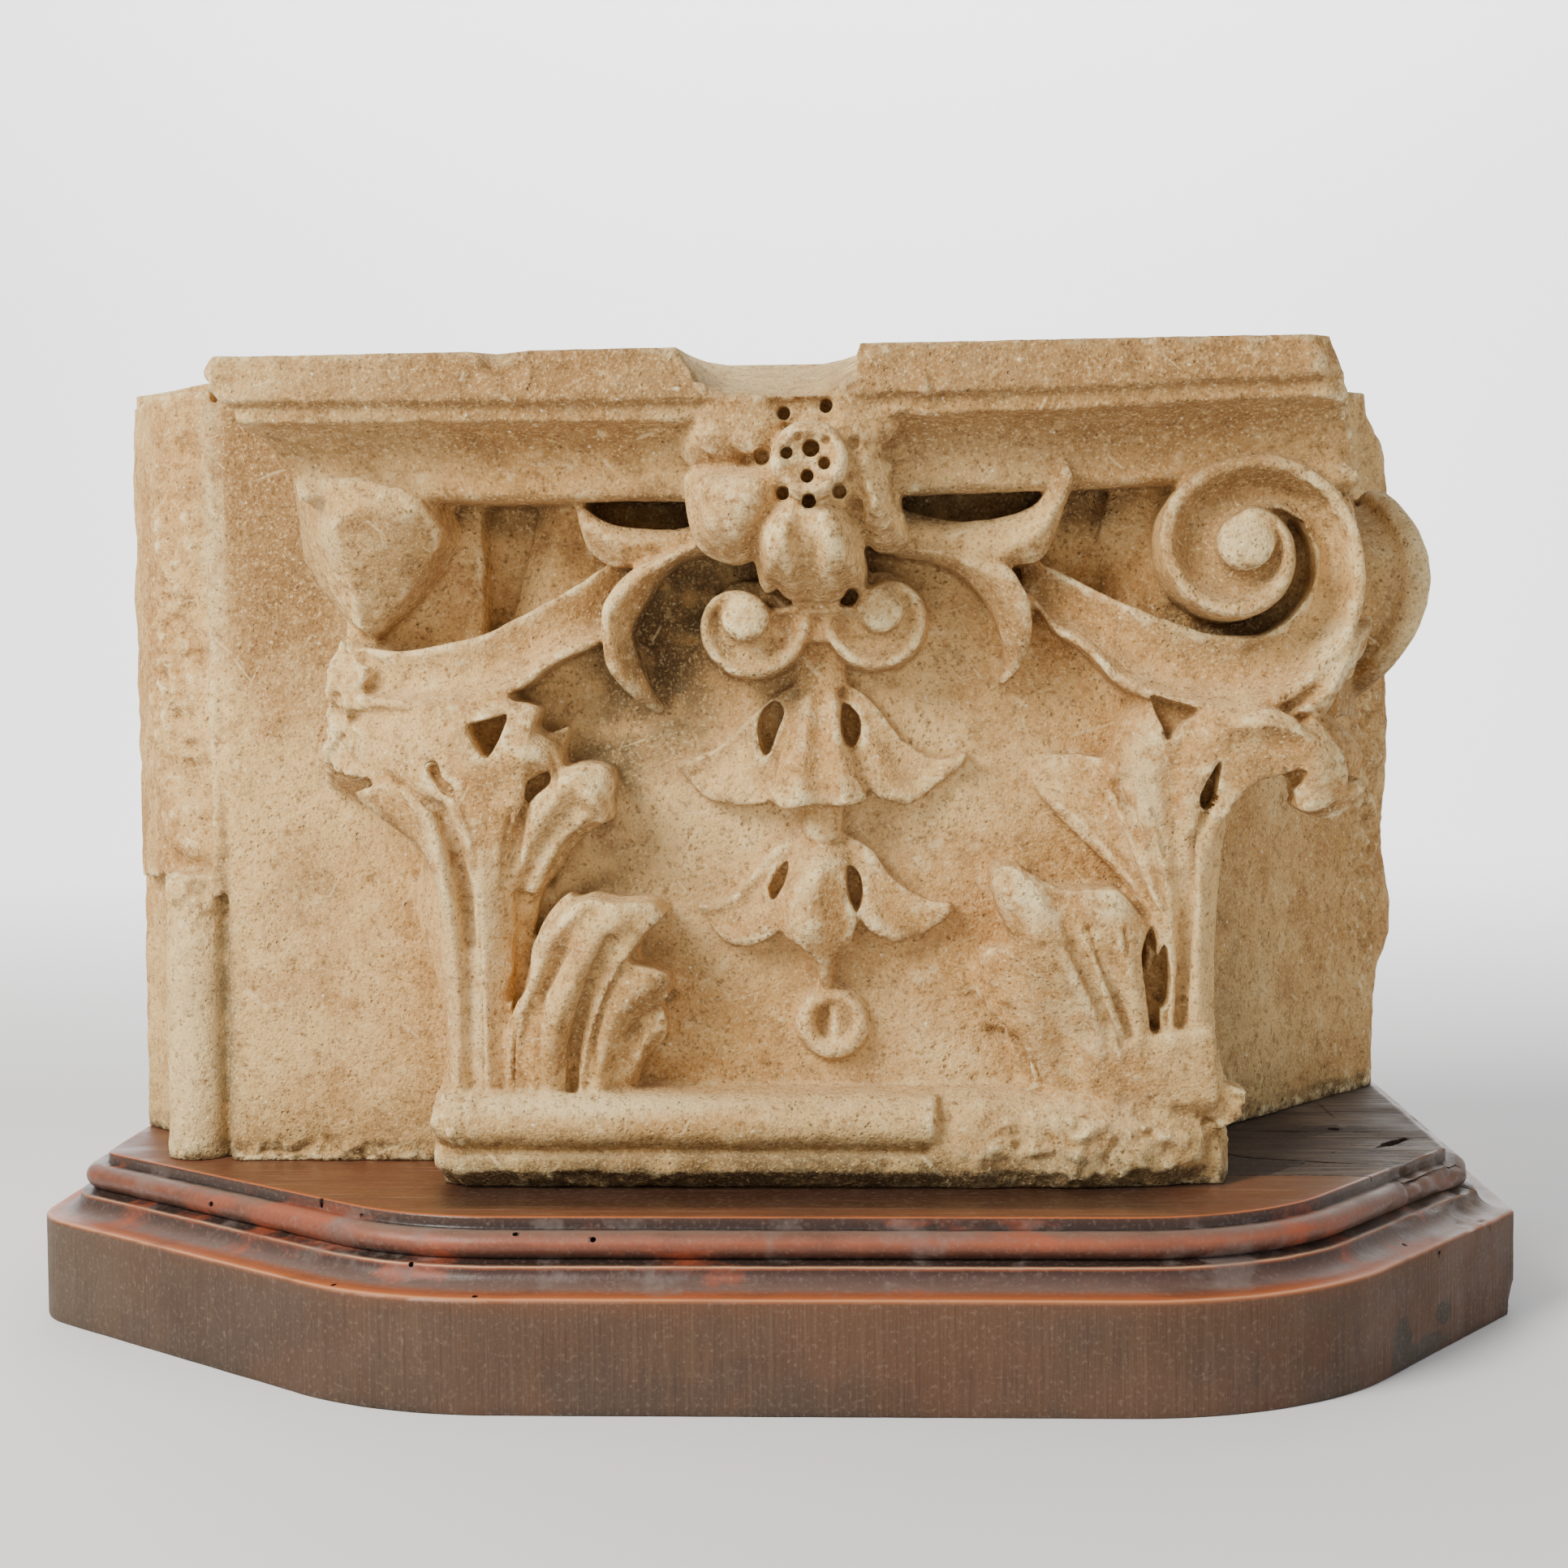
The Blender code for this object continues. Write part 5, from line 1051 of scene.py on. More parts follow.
def fractures():
    """Pieces knocked off the abacus: over the flower, at the left notch and at the right end."""
    lost = Carving()
    lost.hull([
        (-30, 301, 110), (-25, 285, 104), (-18, 273, 98), (-4, 268, 98), (22, 267, 98), (34, 274, 100),
        (42, 301, 110), (-22, 301, 4), (34, 301, 4), (-12, 286, 22), (24, 285.5, 22), (-16, 279, 70),
        (26, 279, 70),
    ])
    lost.hull([
        (180, 301, 110), (186, 289, 100), (193, 282, 96), (199, 270, 90), (208, 256, 70), (216, 301, 100),
        (192, 301, 50), (212, 262, 40),
    ])
    lost.hull([
        (-99, 301, 98), (-94, 282, 96), (-85, 277, 96), (-73, 280, 96), (-66, 301, 98), (-94, 301, 70),
        (-70, 301, 68), (-84, 286, 80),
    ])
    lost.hull([
        (-190, 301, 110), (-192, 262, 100), (-182, 270, 86), (-176, 285, 88), (-172, 301, 92), (-190, 301, 70),
        (-190, 274, 74),
    ])
    for across, up, out, wide, tall in (
        (-152, 287, 92, 8, 4), (-128, 286, 93, 12, 5), (-50, 286, 93, 13, 5),
        (60, 289, 93, 9, 4), (84, 290, 92, 15, 4), (112, 291, 93, 10, 5), (140, 291, 92, 13, 4),
        (164, 291, 93, 9, 6),
    ):
        lost.hull([
            (across - wide, up + 8, out - 4), (across + wide, up + 7, out - 2),
            (across - 0.5 * wide, up - tall, out + 6),
            (across + 0.4 * wide, up - 0.7 * tall, out + 7), (across + 0.2 * wide, up + 9, out - 12),
            (across, up - 0.6 * tall, out - 3),
            (across - wide, up + 9, out + 9), (across + wide, up + 9, out + 9),
        ])
    return lost


def level_tool(low):
    """What is cut off to leave a flat bed, or the top."""
    box = Carving()
    corners = [(across, -220) for across in (-290, *TOP_LINE[0], 290)]
    corners += [(across, 130) for across in (290, *TOP_LINE[0][::-1], -290)]
    if low:
        box.prism(corners, -60.0, 0.0)
    else:
        box.rings([[(across, top_of(across, out) + lift, out) for across, out in corners] for lift in (0.0, 60.0)])
    return box


# Noise read at points, seeded

def lattice(cell, seed):
    """A number from 0 to 1 for each cell, always the same for a seed."""
    mixed = cell[:, 0] * 374761393 + cell[:, 1] * 668265263 + cell[:, 2] * 2147483647 + seed * 974634777
    mixed = mixed & 0xFFFFFFFF
    mixed = ((mixed ^ (mixed >> 13)) * 1274126177) & 0xFFFFFFFF
    return ((mixed ^ (mixed >> 16)) & 0xFFFF) / 65535.0


def noise(points, size, seed):
    """Smooth noise from -1 to 1 over a lattice of the given size."""
    scaled = points / size
    cell = np.floor(scaled).astype(np.int64)
    part = scaled - cell
    part = part * part * (3 - 2 * part)
    total = np.zeros(len(points))
    for corner in range(8):
        step = np.array([corner & 1, corner >> 1 & 1, corner >> 2 & 1])
        weight = np.prod(np.where(step, part, 1 - part), axis=1)
        total += weight * lattice(cell + step, seed)
    return total * 2 - 1


def cells(points, size, seed):
    """Faceted noise from 0 to 1: distance to the nearest of scattered points."""
    scaled = points / size
    cell = np.floor(scaled).astype(np.int64)
    nearest = np.full(len(points), 9.0)
    for corner in range(27):
        step = np.array([corner % 3, corner // 3 % 3, corner // 9]) - 1
        there = cell + step
        spot = np.stack([lattice(there, seed + axis) for axis in range(3)], axis=1) + there
        nearest = np.minimum(nearest, np.linalg.norm(spot - scaled, axis=1))
    return np.minimum(nearest, 1.0)


def blob(points, centre, radii):
    """1 in the middle of a soft ball and 0 outside it."""
    reach = np.linalg.norm((points - np.array(centre, float)) / np.array(radii, float), axis=1)
    return np.clip(1.6 - 1.6 * reach, 0, 1) ** 0.7


def strongest(points, balls):
    """The strongest of some soft balls at each point."""
    values = np.zeros(len(points))
    for centre, radii, strength in balls:
        values = np.maximum(values, strength * blob(points, centre, radii))
    return values


ROUGH = [
    # centre, radii, strength
    ((112, 16, 50), (58, 18, 22), 1.0),
    ((164, 22, 30), (16, 16, 40), 1.0),
    ((-222, 190, -25), (26, 110, 40), 0.9),
    ((-214, 95, -12), (20, 14, 24), 1.0),
    ((-146, 205, 44), (16, 22, 30), 0.45),
    ((-150, 165, 40), (22, 34, 26), 1.0),
    ((199, 178, 55), (14, 26, 30), 0.45),
    ((196, 238, 62), (12, 12, 16), 0.8),
    ((6, 280, 85), (46, 14, 30), 1.0),
    ((-82, 281, 90), (20, 12, 20), 0.8),
    ((-184, 272, 80), (16, 20, 26), 0.8),
    ((205, 262, 40), (26, 24, 60), 0.8),
    ((44, 234, 78), (14, 24, 24), 0.55),
    ((-18, 256, 82), (10, 22, 18), 0.35),
    ((90, 105, 52), (22, 16, 18), 0.5),
    ((228, 120, -60), (20, 130, 60), 0.8),
    ((-108, 22, 48), (12, 18, 20), 0.8),
    ((-60, 3, 50), (60, 6, 16), 0.6),
    ((-170, 3, 0), (40, 7, 30), 0.8),
    ((-110, 286, 91), (95, 9, 14), 0.7),
    ((108, 289, 91), (100, 9, 14), 0.7),
    ((60, 276, 90), (16, 14, 12), 0.5),
    ((128, 284, 91), (16, 10, 12), 0.7),
    ((49, 262, 84), (7, 16, 14), 0.6),
    ((51, 232, 76), (7, 20, 20), 0.8),
    ((-78, 98, 62), (8, 10, 12), 0.4),
    ((-66, 120, 30), (24, 30, 14), 0.3),
    ((80, 60, 36), (14, 26, 14), 0.5),
    ((246, 150, -150), (14, 160, 40), 0.9),
]


GROOVES = [
    # half width, depth, line of (across, up)
    (1.3, 3.5, [(-98.5, 98), (-99, 76), (-98, 54), (-99, 31)]),
    (1.2, 3.0, [(-86, 58), (-87, 45), (-87.5, 31)]),
    (1.0, 2.0, [(-67, 84), (-75, 69), (-78, 54), (-79, 31)]),
    (1.6, 3.5, [(-50, 88), (-58, 73), (-63.5, 57), (-66, 46), (-67, 32)]),
    (0.9, 1.3, [(-46, 80), (-54, 65), (-58, 52), (-58.5, 37)]),
    (1.0, 2.0, [(-32, 65), (-41, 59), (-47, 52)]),
    (1.6, 3.5, [(154, 136), (148, 119), (147, 104), (146, 80), (145, 57)]),
    (1.4, 2.0, [(122, 140), (130, 124), (135, 111), (140, 97)]),
    (1.0, 1.4, [(101, 137), (112, 129), (120, 120), (128, 111), (138, 92)]),
    (0.9, 1.3, [(131, 143), (135, 131), (139, 115)]),
    (1.0, 2.0, [(139, 71), (139, 56)]),
    (1.2, 2.6, [(112, 91), (117, 79), (122, 68), (127, 53)]),
    (1.4, 2.0, [(106, 86), (113, 71), (119, 59), (124, 51)]),
    (1.2, 1.4, [(97, 85), (104, 71), (110, 59), (113, 50)]),
    (1.6, 3.5, [(80, 52), (88, 49), (93, 41), (96, 34)]),
    (0.8, 1.6, [(125, 91), (126, 82)]),
    (1.0, 2.4, [(-127, 143), (-118, 138), (-111, 132), (-106, 124), (-103, 112), (-99, 97), (-98.5, 88)]),
    (2.2, 2.2, [(-110, 131), (-106, 121), (-104, 111), (-102, 98), (-101, 85)]),
    (0.9, 2.2, [(-85, 132), (-87, 122), (-88, 112), (-89, 105)]),
    (0.9, 1.2, [(-101, 134), (-98, 125), (-97, 118), (-98, 109)]),
    (1.3, 2.8, [(-54, 126), (-64, 122), (-70, 114), (-75, 105)]),
    (0.9, 1.2, [(-81, 136), (-82, 125), (-84, 114)]),
    (1.0, 2.0, [(-70, 150), (-70, 141)]),
    (0.5, 0.6, [(74, 148), (84, 152), (90, 148), (88, 143), (78, 142), (74, 148)]),
]


def groove_depth(parts):
    """How deep the chisel lines run at each point of the front."""
    sunk = np.zeros(len(parts))
    flat = parts[:, :2]
    for half, depth, line in GROOVES:
        for start, end in zip(np.array(line[:-1], float), np.array(line[1:], float)):
            run = end - start
            share = np.clip((flat - start) @ run / (run @ run), 0, 1)
            gap = np.linalg.norm(flat - start - share[:, None] * run, axis=1)
            sunk = np.maximum(sunk, depth * np.exp(-((gap / half) ** 2)))
    return np.where(parts[:, 2] > 12, sunk, 0.0)


def mesh_arrays(mesh):
    points = np.empty(len(mesh.vertices) * 3)
    mesh.vertices.foreach_get("co", points)
    points = points.reshape(-1, 3)
    normals = np.empty(len(mesh.vertices) * 3)
    mesh.vertices.foreach_get("normal", normals)
    return points, normals.reshape(-1, 3)


def edge_ends(mesh):
    edges = np.empty(len(mesh.edges) * 2, dtype=np.int64)
    mesh.edges.foreach_get("vertices", edges)
    return edges.reshape(-1, 2)


def to_parts(points):
    return np.stack([
        points[:, 0] / ACROSS, (points[:, 2] - BED_HEIGHT) / UP, (WALL_FACE_Y - points[:, 1]) / OUT,
    ], axis=1)


def worn(mesh):
    """Wears the fresh carving: rough breaks, a fine tooled grain and dents."""
    points, normals = mesh_arrays(mesh)
    parts = to_parts(points)
    rough = strongest(parts, ROUGH)
    move = 0.22 * noise(parts, 5.0, 1) + 0.12 * noise(parts, 2.2, 2)
    move += 0.5 * noise(parts, 21.0, 3)
    facets = 4.0 * (cells(parts, 14.0, 11) - 0.6) + 2.8 * (cells(parts, 6.0, 21) - 0.55)
    move += rough * (facets + 1.2 * noise(parts, 2.6, 5))
    move += rough * 1.5 * (cells(parts, 3.6, 25) - 0.5)
    move += 0.35 * np.minimum(noise(parts, 9.0, 7), 0)
    back = parts[:, 2] < -40
    move = np.where(back, move * 1.3 + 0.8 * (cells(parts, 12.0, 31) - 0.5), move)
    facing = np.clip(-normals[:, 1] * 1.5 - 0.2, 0, 1)
    move -= facing * groove_depth(parts)
    pits = np.clip(noise(parts, 4.0, 41) - 0.62, 0, 1) * 2.4
    move -= pits * (0.35 + rough)
    points += normals * (move * OUT)[:, None]
    mesh.vertices.foreach_set("co", points.ravel())
    mesh.update()


def applied(item):
    """The item's mesh with its modifiers worked in."""
    bpy.context.view_layer.update()
    done = bpy.data.meshes.new_from_object(item.evaluated_get(bpy.context.evaluated_depsgraph_get()))
    item.modifiers.clear()
    old = item.data
    item.data = done
    bpy.data.meshes.remove(old)
    return done


def cut(item, tool):
    target = put(tool.name, tool)
    change = item.modifiers.new(tool.name, "BOOLEAN")
    change.operation = "DIFFERENCE"
    change.solver = "MANIFOLD"
    change.object = target
    applied(item)
    bpy.data.objects.remove(target, do_unlink=True)


def drop_crumbs(mesh):
    """Keeps the one large body, and deletes loose crumbs and sealed hollows."""
    edges = edge_ends(mesh)
    label = np.arange(len(mesh.vertices))
    settled = False
    while not settled:
        low = np.minimum(label[edges[:, 0]], label[edges[:, 1]])
        lower = label.copy()
        for side in (0, 1):
            np.minimum.at(lower, edges[:, side], low)
        lower = lower[lower]
        settled = bool((lower == label).all())
        label = lower
    bodies, sizes = np.unique(label, return_counts=True)
    if len(bodies) == 1:
        return
    loose = np.flatnonzero(label != bodies[sizes.argmax()])
    work = bmesh.new()
    work.from_mesh(mesh)
    work.verts.ensure_lookup_table()
    bmesh.ops.delete(work, geom=[work.verts[spot] for spot in loose], context="VERTS")
    work.to_mesh(mesh)
    work.free()


def build_stone():
    stone = Carving()
    for form in (
        wall_block, angle_roll, bell, abacus, astragal, right_volute, side_volute, left_volute,
        inner_scrolls, left_leaf, lower_left_leaf, right_leaf, lower_right_leaf, fronds, flower, husks,
    ):
        form(stone)
    item = put("carved_stone", stone.mesh("carved_stone"))
    grow = item.modifiers.new("grow together", "REMESH")
    grow.mode = "VOXEL"
    grow.voxel_size = VOXEL_PARTS * OUT
    applied(item)
    cut(item, drill_holes().mesh("holes"))
    cut(item, fractures().mesh("fractures"))
    soften = item.modifiers.new("soften", "SMOOTH")
    soften.factor = 0.4
    soften.iterations = 2
    applied(item)
    worn(item.data)
    grid = relief(item.data)
    cut(item, level_tool(True).mesh("bed level"))
    cut(item, level_tool(False).mesh("top level"))
    drop_crumbs(item.data)
    thin = item.modifiers.new("fewer faces", "DECIMATE")
    item.data.calc_loop_triangles()
    thin.ratio = min(1.0, STONE_TRIANGLES / len(item.data.loop_triangles))
    thin.use_collapse_triangulate = True
    applied(item)
    item.data.shade_smooth()
    surface_values(item.data, grid)
    return item


# The base that the stone rests on

def straight(start, end, count):
    """Even points from the start up to the end, which is left out."""
    shares = [step / count for step in range(count)]
    return [(start[0] + (end[0] - start[0]) * part, start[1] + (end[1] - start[1]) * part) for part in shares]


def base_outline(inset):
    """A level of the base's plan, moved in from the fascia; every level has the same points."""
    half, front, back = BASE_WIDTH / 2, -BASE_DEPTH / 2, BASE_DEPTH / 2
    plan = [
        (-half, back), (-half, front + LEFT_CANT_DEEP), (-half + LEFT_CANT_ACROSS, front),
        (half - RIGHT_CANT_ACROSS, front), (half, front + RIGHT_CANT_DEEP), (half, back),
    ]
    # radius, steps round the corner, steps along the side before it
    corners = (
        (BASE_LEFT_RADIUS, 16, 40), (BASE_FRONT_RADIUS, 34, 50), (BASE_FRONT_RADIUS, 46, 76),
        (BASE_RIGHT_RADIUS, 4, 46),
    )
    outline = []
    here = (-half + inset, back)
    for place, (whole_radius, steps, before) in enumerate(corners, 1):
        (back_x, back_y), (x, y), (next_x, next_y) = plan[place - 1:place + 2]
        way = math.atan2(y - back_y, x - back_x)
        turn = math.atan2(next_y - y, next_x - x) - way
        radius = max(whole_radius - inset, LEAST_RADIUS)
        middle_way = way + turn / 2 + math.pi / 2
        reach = (inset + radius) / math.cos(turn / 2)
        middle = (x + reach * math.cos(middle_way), y + reach * math.sin(middle_way))
        arc = []
        for step in range(steps + 1):
            angle = way + turn * step / steps - math.pi / 2
            arc.append((middle[0] + radius * math.cos(angle), middle[1] + radius * math.sin(angle)))
        outline += straight(here, arc[0], before) + arc[:-1]
        here = arc[-1]
    outline += straight(here, (half - inset, back), 44)
    return outline + straight((half - inset, back), (-half + inset, back), 60)


def base_rows():
    """(inset, height, place on the profile) from the foot up and in over the top."""
    rows = [(0.0008, 0.0, 0.0), (0.0002, 0.0003, 0.0), (0.0, 0.0010, 0.01)]
    for height in np.linspace(0.004, FASCIA_HEIGHT - 0.002, 9):
        rows.append((0.0, height, 0.01 + 0.11 * height / FASCIA_HEIGHT))
    rows += [
        (0.0, FASCIA_HEIGHT - 0.0006, 0.135), (0.0005, FASCIA_HEIGHT, 0.15),
        (0.0014, FASCIA_HEIGHT + 0.0002, 0.16),
    ]
    shares = []
    for turn in np.linspace(0, 1, 12):
        lean = turn * math.pi / 2
        shares.append((0.12 + 0.41 * math.sin(lean), 0.02 + 0.29 * (1 - math.cos(lean)), 0.18 + 0.28 * turn))
    shares += [
        (0.535, 0.325, 0.48), (0.538, 0.345, 0.5), (0.55, 0.36, 0.52), (0.60, 0.37, 0.56), (0.66, 0.385, 0.58),
    ]
    for turn in np.linspace(0, 1, 16):
        lean = -1.15 + 2.5 * turn
        shares.append((0.86 - 0.235 * math.cos(lean), 0.615 + 0.215 * math.sin(lean), 0.62 + 0.2 * turn))
    shares += [
        (0.90, 0.815, 0.85), (0.96, 0.825, 0.87), (0.972, 0.85, 0.89), (0.974, 0.90, 0.9), (0.976, 0.965, 0.92),
        (0.982, 0.985, 0.94), (1.0, 1.0, 0.95), (1.04, 1.0, 0.97),
    ]
    for inset, height, place in shares:
        rows.append((inset * MOULDING_SETBACK, FASCIA_HEIGHT + height * MOULDING_HEIGHT, place))
    for inset in (0.003, 0.006, 0.010, 0.014, 0.018, 0.022, 0.026, 0.030):
        rows.append((MOULDING_SETBACK + inset, BASE_HEIGHT, 1.0))
    return rows


# Millimetres: centre, radii, how far the wood is lost inwards, how far down
LOST_WOOD = [
    ((240, -56, 54), (22, 26, 11), 3.4, 1.6),
    ((258, -34, 54), (14, 18, 12), 3.0, 3.0),
    ((226, -74, 48), (16, 18, 5), 1.5, 0.6),
    ((262, -42, 42), (16, 12, 6), 2.0, 1.0),
    ((252, -56, 38), (5, 5, 5), 1.6, 1.2),
    ((260, -47, 38), (3, 3, 4), 1.8, 1.0),
    ((275, -28, 3), (5, 5, 9), 2.6, 0.0),
    ((-275, -28, 1), (7, 7, 6), 1.5, 0.0),
]

# Millimetres: where a woodworm left, its way in, and half the hole's width
WORM_HOLES = [
    ((-151, -114, 60), (0.2, 0.3, -1), 0.9),
    ((-136, -130, 58), (0.5, 0.87, -0.3), 0.9),
    ((-79, -148, 56), (0, 0.62, -0.78), 0.95),
    ((-53, -149, 54), (0, 0.95, -0.32), 0.95),
    ((-114, -150, 46), (0.2, 0.94, -0.27), 0.9),
    ((-90, -162, 38), (0, 0.4, -0.9), 1.0),
    ((-198, -89, 53), (0.6, 0.75, -0.3), 1.0),
    ((-140, -148, 39), (0.4, 0.7, -0.6), 0.8),
    ((203, -103, 42), (-0.8, 0.6, -0.4), 0.8),
    ((224, -91, 40), (-0.8, 0.6, -0.5), 0.8),
    ((236, -84, 35), (-0.8, 0.58, 0), 0.8),
    ((60, 165, 22), (0, -1, 0), 0.9),
    ((-95, 165, 30), (0.2, -1, 0), 0.9),
    ((275, 62, 18), (-1, 0.1, 0), 0.9),
]


def worn_wood(mesh, places):
    """Softens the mouldings by handling, and takes away what broke off at the right angle."""
    points, normals = mesh_arrays(mesh)
    sizes = points * 1000
    away = normals * (1, 1, 0)
    away /= np.maximum(np.linalg.norm(away, axis=1), 0.2)[:, None]
    move = 0.10 * noise(sizes, 9.0, 61) + 0.05 * noise(sizes, 3.0, 62)
    move = np.minimum(move, 0.05) * np.where(places > 0.95, 0.0, 1.0)
    points += normals * (move / 1000)[:, None]
    lumps = cells(sizes, 9.0, 65)
    for centre, radii, inwards, down in LOST_WOOD:
        share = blob(sizes, centre, radii) * (0.35 + 1.1 * lumps)
        points -= away * (share * inwards / 1000)[:, None]
        points[:, 2] -= share * down / 1000
    streaks = noise(sizes * (0.07, 0.6, 1.0), 2.0, 66)
    aged = (places >= 1.0) & (sizes[:, 0] > 150) & (sizes[:, 1] > -72)
    points[:, 2] -= np.where(aged, 0.5 * np.maximum(streaks, 0), 0) / 1000
    points[:, 2] = np.clip(points[:, 2], 0.0, BASE_HEIGHT)
    mesh.vertices.foreach_set("co", points.ravel())
    mesh.update()


def wood_holes():
    """Worm holes, the knot hole and the shakes in the top, as tools to cut with."""
    tool = Carving()
    for start, way, radius in WORM_HOLES:
        start, way = Vector(start), Vector(way).normalized()
        side = way.orthogonal().normalized()
        other = way.cross(side)
        rings = []
        for deep, size in ((-3.0, 1.0), (4.0, 1.0), (4.5, 0.5)):
            ring = []
            for step in range(12):
                turn = math.pi * step / 6
                spot = start + way * deep + (side * math.cos(turn) + other * math.sin(turn)) * radius * size
                ring.append(tuple(spot))
            rings.append(ring)
        tool.rings(rings)
    for outline, depth in (
        ([(225, -23), (230, -19), (236, -13), (242, -3), (240, -1.5), (235, -6), (229, -14)], 3.2),
        ([(214, 15), (218, 14), (219, 18), (215, 19)], 1.6),
        (
            [
                (167, -33), (176, -42), (199, -48.5), (224, -53), (224, -52.2), (199, -47.3), (177, -40.8),
                (168, -32),
            ],
            1.5,
        ),
        ([(168, -73.2), (190, -72.6), (214, -75.2), (214, -74.2), (190, -71.8), (168, -72.4)], 1.8),
        ([(160, 20), (186, 12), (206, 10), (206, 10.8), (186, 13), (160, 21)], 1.0),
    ):
        tool.rings([[(*spot, level) for spot in outline] for level in (60.0 - depth, 63.0)])
    return tool


def build_base():
    rows = base_rows()
    board = Carving()
    board.rings([[(*spot, height) for spot in base_outline(inset)] for inset, height, _ in rows])
    places = np.repeat([place for _, _, place in rows], len(board.points) // len(rows))
    item = put("moulded_base", board.mesh("moulded_base", in_metres))
    worn_wood(item.data, places)
    known = KDTree(len(places))
    for index, vert in enumerate(item.data.vertices):
        known.insert(vert.co, index)
    known.balance()
    cut(item, wood_holes().mesh("wood holes", in_millimetres))
    drop_crumbs(item.data)
    nearest = [known.find(vert.co) for vert in item.data.vertices]
    add_value(item.data, "place", np.array([places[index] for _, index, _ in nearest]))
    add_value(item.data, "hole", np.array([distance for _, _, distance in nearest]) / HOLE_SHADE_REACH)
    item.data.shade_smooth()
    item.data.set_sharp_from_angle(angle=SHARP_ANGLE)
    return item


# What the shaders read from the carved surface

def blurred(grid, size):
    """The grid averaged three times over a square window."""
    for _ in range(3):
        for axis in (0, 1):
            pad = [(0, 0), (0, 0)]
            pad[axis] = (size + 1, size)
            total = np.cumsum(np.pad(grid, pad, mode="edge"), axis=axis)
            wide = 2 * size + 1
            if axis == 0:
                grid = (total[wide:] - total[:-wide]) / wide
            else:
                grid = (total[:, wide:] - total[:, :-wide]) / wide
    return grid


def relief_cells(parts):
    return tuple(
        np.clip((parts[:, axis] - RELIEF_CORNER[axis]).astype(int), 0, RELIEF_SIZE[axis] - 1) for axis in (0, 1)
    )


def relief(mesh):
    """How far out the stone stands over each square millimetre of its front."""
    points, _ = mesh_arrays(mesh)
    parts = to_parts(points)
    grid = np.full(RELIEF_SIZE, RELIEF_LOWEST)
    np.maximum.at(grid, relief_cells(parts), np.maximum(parts[:, 2], RELIEF_LOWEST))
    return grid


def add_value(mesh, name, values):
    layer = mesh.attributes.new(name, "FLOAT", "POINT")
    layer.data.foreach_set("value", np.clip(values, 0, 1).astype(np.float32))


FRESH = [
    # centre, radii, strength
    ((93, 103, 55), (15, 13, 20), 1.0),
    ((120, 101, 56), (11, 9, 20), 1.0),
    ((197, 180, 60), (12, 18, 20), 0.9),
    ((-155, 158, 36), (9, 14, 20), 0.8),
    ((-51, 200, 60), (4, 7, 10), 1.0),
    ((102, 148, 44), (5, 5, 12), 0.8),
    ((-100, 60, 48), (6, 32, 10), 0.6),
    ((-96, 80, 50), (8, 50, 14), 0.5),
    ((-110, 118, 56), (9, 26, 14), 0.6),
    ((130, 130, 56), (10, 30, 16), 0.7),
    ((-205, 220, 0), (8, 90, 16), 0.5),
    ((0, 290, 60), (40, 16, 60), 0.6),
    ((112, 20, 52), (40, 16, 18), 0.35),
    ((110, 60, 50), (26, 24, 16), 0.4),
]

# Painted light and shade: the abacus' shadow on the upper wall, a shaded fascia, hollow and volute band, a lit
# roll top, eye, side volute and lump face
PAINTED_LIGHT_AND_SHADE = [
    # centre, radii, painted light (paler) above 0 and painted shade (browner) below
    ((0, 120, 30), (90, 70, 14), 0.3),
    ((50, 45, 32), (60, 30, 16), 0.25),
    ((-176, 250, 0), (44, 100, 30), -1.0),
    ((-176, 70, 0), (24, 50, 14), 0.2),
    ((-214, 45, -8), (18, 90, 26), 0.5),
    ((-60, 277, 92), (160, 22, 20), -0.75),
    ((110, 281, 92), (120, 22, 20), -0.7),
    ((110, 252, 76), (100, 20, 20), -0.6),
    ((163, 221, 70), (36, 36, 16), -0.7),
    ((163, 221, 82), (12, 12, 12), 0.5),
    ((-60, 31, 54), (70, 7, 16), 0.6),
    ((234, 205, -4), (22, 60, 60), 0.6),
    ((-103, 70, 45), (16, 60, 24), 0.35),
    ((146, 90, 50), (12, 60, 20), 0.3),
    ((-150, 220, 66), (8, 40, 30), 0.5),
    ((-92, 222, 30), (26, 22, 12), -0.15),
]

# Grime and painted shade: under the abacus and the volute, in deep recesses, in the groove by the angle roll and
# along the roll's foot
DIRT_AND_SHADE = [
    # centre, radii, strength
    ((-24, 200, 32), (34, 34, 30), 1.0),
    ((-38, 184, 32), (30, 44, 30), 1.0),
    ((-52, 150, 30), (16, 26, 26), 0.9),
    ((-50, 112, 28), (20, 18, 20), 0.5),
    ((170, 105, 10), (14, 34, 60), 1.0),
    ((168, 145, 40), (14, 12, 30), 0.9),
    ((108, 238, 22), (50, 16, 24), 0.9),
    ((-92, 236, 22), (34, 10, 16), 0.6),
    ((-20, 238, 40), (40, 10, 40), 0.8),
    ((60, 238, 40), (40, 10, 40), 0.8),
    ((160, 195, 40), (34, 20, 30), 0.7),
    ((-105, 70, 15), (12, 60, 26), 0.7),
    ((205, 190, 0), (30, 60, 40), 0.4),
    ((190, 60, -40), (60, 60, 60), 0.35),
    ((5, 170, 40), (16, 26, 20), 0.5),
    ((-201, 50, -6), (5, 100, 16), 1.0),
    ((20, 8, 56), (180, 8, 12), 0.8),
]


